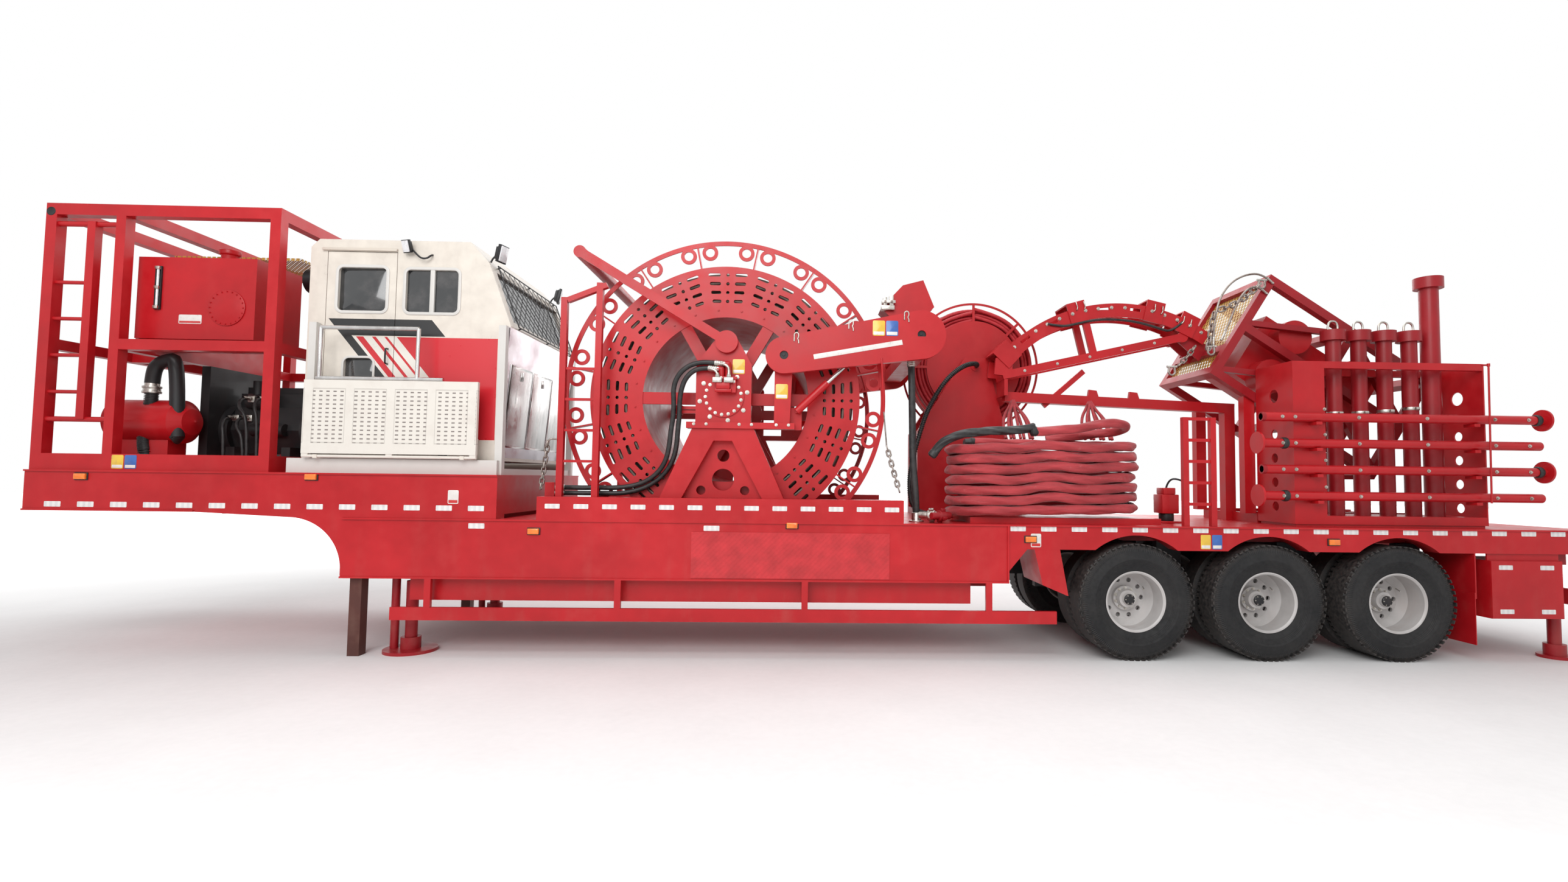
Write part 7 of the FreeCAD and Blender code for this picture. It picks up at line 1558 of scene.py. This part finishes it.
# %% Hoses between the reels
low_z = deck_at(0.80, -0.90)
head_at = Vector((0.74, -0.88, 2.95))
upright = [(0.80, -0.90, low_z + 0.02), (0.795, -0.90, low_z + 0.25), (0.76, -0.90, low_z + 0.60),
           (0.755, -0.90, 2.25), (0.75, -0.90, 2.50), (0.745, -0.90, 2.75), head_at]
foot = spun("upright_foot", [(0, 0), (0, 0.075), (0.014, 0.075), (0.016, 0.048), (0.09, 0.048),
                             (0.095, 0.036)], (0.80, -0.90, low_z), "Z", 32)
finish_piece(foot, "trailer", zinc, 0.002)
head = sleeve("upright_head", head_at, (0, -0.05, -1), 0.036, "trailer")
lay_cord("upright_hose", upright, 0.036, "trailer", black_hose)

ribbed_route = [(1.700, 0.310, 3.090), (1.690, 0.150, 3.095), (1.500, 0.020, 3.060), (1.290, 0.010, 2.900),
                (1.109, 0.030, 2.613), (1.017, 0.020, 2.389), (0.906, 0.000, 2.008), (0.850, -0.010, 1.720),
                (0.880, -0.030, low_z + 0.08), (1.120, -0.060, low_z + 0.032), (1.240, -0.090, low_z + 0.032)]
line = spline_points("ribbed_guide", ribbed_route, 24)
ribbed = loose_sheath("ribbed_hose", line, 0.025, 1, 50, 20, 6)
ribs_on_hose = ribs_along("ribbed_hose_ribs", line, range(2, len(line) - 2, 2), 0.005, 0.0285)
finish_piece(ribbed, "trailer", black_hose, angle=60)
coupling = start_round("deck_coupling", line[-1], line[-1] + Vector((0.10, -0.02, 0)), 0.042, 24)
claw = start_block("deck_coupling", (line[-1].x + 0.05, line[-1].y - 0.06, line[-1].z - 0.02),
                   (line[-1].x + 0.08, line[-1].y + 0.03, line[-1].z + 0.03))
coupled = finish_piece(join_all("deck_coupling", [coupling, claw]), "trailer", zinc, 0.004)
print("hoses between the reels are laid")

# %% [markdown]
# ## Loose couplings on the deck
# Two hammer unions lie on the deck by the bundles. Each is a short tube, a ring nut with four lugs, and a
# threaded end.

# %% Hammer unions
for i, (x, y, lean) in enumerate(((1.02, -1.10, 0.5), (0.93, -1.06, -0.35))):
    body = spun(f"union_{i}", [(-0.13, 0), (-0.13, 0.034), (-0.045, 0.034), (-0.04, 0.052), (0.03, 0.052),
                               (0.034, 0.040), (0.10, 0.036), (0.10, 0)], (0, 0, 0), "X", 24)
    lug = start_block("lug", (-0.028, -0.014, 0.045), (0.02, 0.014, 0.074))
    lugs = at_each(lug, "lug", [Matrix.Rotation(k * math.tau / 4 + 0.4, 4, "X") for k in range(4)])
    whole = join_all(f"hammer_union_{i}", [body, lugs])
    whole.data.transform(Matrix.Translation((x, y, low_z + 0.073)) @ Matrix.Rotation(lean, 4, "Z"))
    finish_piece(whole, "trailer", zinc if i else old_red_paint, 0.003)
print("unions lie on the deck")

# %% [markdown]
# ## Details at the rack and on the deck
# The stabiliser legs carry black rubber collars behind their round pads. Thin steel bands clamp the riser
# pipes, a drop rod locks the legs in their cradles, and a small hand pump stands on the deck by the ladder.

# %% Rack pieces
leg_y = -1.125
collars, mouths = [], []
for k, z in enumerate(leg_heights):
    low = 7.05 if k % 2 else 4.435
    high = low + 0.05
    collars.append(spun("collar", [(low, 0.044), (low, 0.053), (low + 0.012, 0.058), (high - 0.012, 0.058),
                                   (high, 0.053), (high, 0.044)], (0, leg_y, z), "X", 32))
    mouth_x, out = (4.405, -1) if k % 2 else (7.305, 1)
    met = face_at("stabiliser_legs", (mouth_x + out, leg_y, z), (-out, 0, 0))
    if met and abs(met.x - mouth_x) < 0.2:
        mouths.append(spun("mouth", [(0, 0), (0, 0.034), (out * 0.004, 0.034), (out * 0.004, 0.047),
                                     (-out * 0.03, 0.047)], (met.x, leg_y, z), "X", 32))
finish_piece(join_all("leg_collars", collars), "trailer", black_hose)
finish_piece(join_all("leg_mouths", mouths), "trailer", old_red_paint)
bands = []
for x, z in zip(pipe_x, (2.47, 2.48, 2.50, 2.53)):
    met = side_face("riser_pipes", x, 2.50)
    reach = pipe_y - met.y
    bands.append(spun("band", [(-0.016, reach * 0.98), (-0.016, reach + 0.004), (0.016, reach + 0.004),
                               (0.016, reach * 0.98)], (x, pipe_y, z), "Z", 32))
    bands.append(start_block("band", (x - 0.02, met.y - 0.026, z - 0.012),
                             (x + 0.02, met.y + 0.004, z + 0.012)))
finish_piece(join_all("pipe_bands", bands), "trailer", zinc, 0.001)
rod = [start_round("rod", (6.475, -1.235, 1.56), (6.49, -1.235, 2.94), 0.009, 12),
       start_round("rod", (6.49, -1.235, 2.94), (6.49, -1.16, 2.95), 0.009, 12),
       start_round("rod", (6.49, -1.235, 2.925), (6.49, -1.235, 2.955), 0.014, 12)]
finish_piece(join_all("leg_lock_rod", rod), "trailer", red_paint, angle=50)
cradle_spots = [(x, z) for x in (4.93, 6.46) for z in (1.70, 1.97, 2.23, 2.49)]
bolts("cradle_bolts", "trailer", seats("riser_rack", cradle_spots), (0, -1, 0), 0.013, zinc)

foot = deck_at(3.52, -0.6)
case = [start_block("pump", (3.43, -0.70, foot + 0.10), (3.61, -0.50, foot + 0.30)),
        start_block("pump", (3.455, -0.68, foot + 0.30), (3.585, -0.52, foot + 0.37)),
        start_block("pump", (3.41, -0.72, foot), (3.63, -0.48, foot + 0.02))]
finish_piece(join_all("hand_pump_case", case), "trailer", red_paint, 0.008)
tank = start_round("hand_pump_tank", (3.52, -0.60, foot + 0.02), (3.52, -0.60, foot + 0.11), 0.075, 32)
finish_piece(tank, "trailer", engine_black, 0.006)
pipe("hand_pump_lever", [(3.52, -0.60, foot + 0.36), (3.53, -0.62, foot + 0.44), (3.60, -0.66, foot + 0.48),
                         (3.70, -0.70, foot + 0.42)], 0.010, "trailer", black_paint)
print("rack and deck pieces are on")

# %% [markdown]
# ## Roller boxes on the arch
# Each roller box of the guide arch is closed by spring clips. A hose follows the arch's inside from one
# clip to another.

# %% Arch clips
bow = ((0, 0, 0.05), (0, -0.018, 0.05), (0, -0.022, 0.02), (0.012, -0.018, -0.01), (0, -0.016, -0.04),
       (0, 0, -0.045))
clips = []
for x, z, lean in ((2.81, 3.74, 0.10), (3.72, 3.72, -0.25), (4.05, 3.58, -0.42)):
    seat = Matrix.Translation(side_face("guide_arch", x, z)) @ Matrix.Rotation(-lean, 4, "Y")
    for shift in (-0.045, 0.045):
        clip = start_bar("clip", [(shift + across, y, up) for across, y, up in bow], 0.006, 4, 2)
        clip.data.transform(seat)
        clips.append(clip)
finish_piece(join_all("arch_clips", clips), "guide_arch", zinc, angle=60)
leave, meet = seats("guide_arch", [on_arch(118), on_arch(66)])
along_arch = ((2.60, 3.50), (2.74, 3.53), (2.98, 3.59), (3.24, 3.60), (3.50, 3.57), (3.74, 3.50),
              (3.88, 3.46))
front = leave.y - 0.016
route = [(leave.x, front, leave.z)] + [(x, front, z) for x, z in along_arch] + [(meet.x, front, meet.z)]
lay_cord("arch_hose", route, 0.014, "guide_arch", black_hose)
print("arch clips:", len(clips))

# %% [markdown]
# ## The floor and the close
# The floor is pale, wide, and glows white to the eye far away, so that it fades into the white behind it and
# still takes the unit's shadow. It counts as the stage and not as part of the unit.

# %% Close
leave_all()
bpy.ops.mesh.primitive_cylinder_add(vertices=96, radius=70, depth=0.02, location=(0, 0, -0.01))
floor = named("floor")
bpy.ops.object.transform_apply(location=True, rotation=True, scale=True)
ground = Finish("pale_concrete", Roughness=0.8, Emission_Strength=1.0)
east, north, _ = ground.axes()
far_off = ground.spread(east * east * 0.35 + north * north, 22, 130)
to_the_eye = ground.add("ShaderNodeLightPath", output="Is Camera Ray")
grain = ground.spread(ground.clouds(1.3, 5) * 0.6 + ground.clouds(14, 4) * 0.4, 0.3, 0.7)
floor.data.materials.append(ground.feed(
    Base_Color=ground.mix(grain, (0.78, 0.78, 0.78), (0.84, 0.84, 0.84)),
    Emission_Color=ground.mix(far_off * to_the_eye, (0, 0, 0), (1, 1, 1)),
    Normal=ground.bump(ground.clouds(60, 3), 0.0006, 0.3)))
bpy.context.scene.view_settings.view_transform = "Standard"
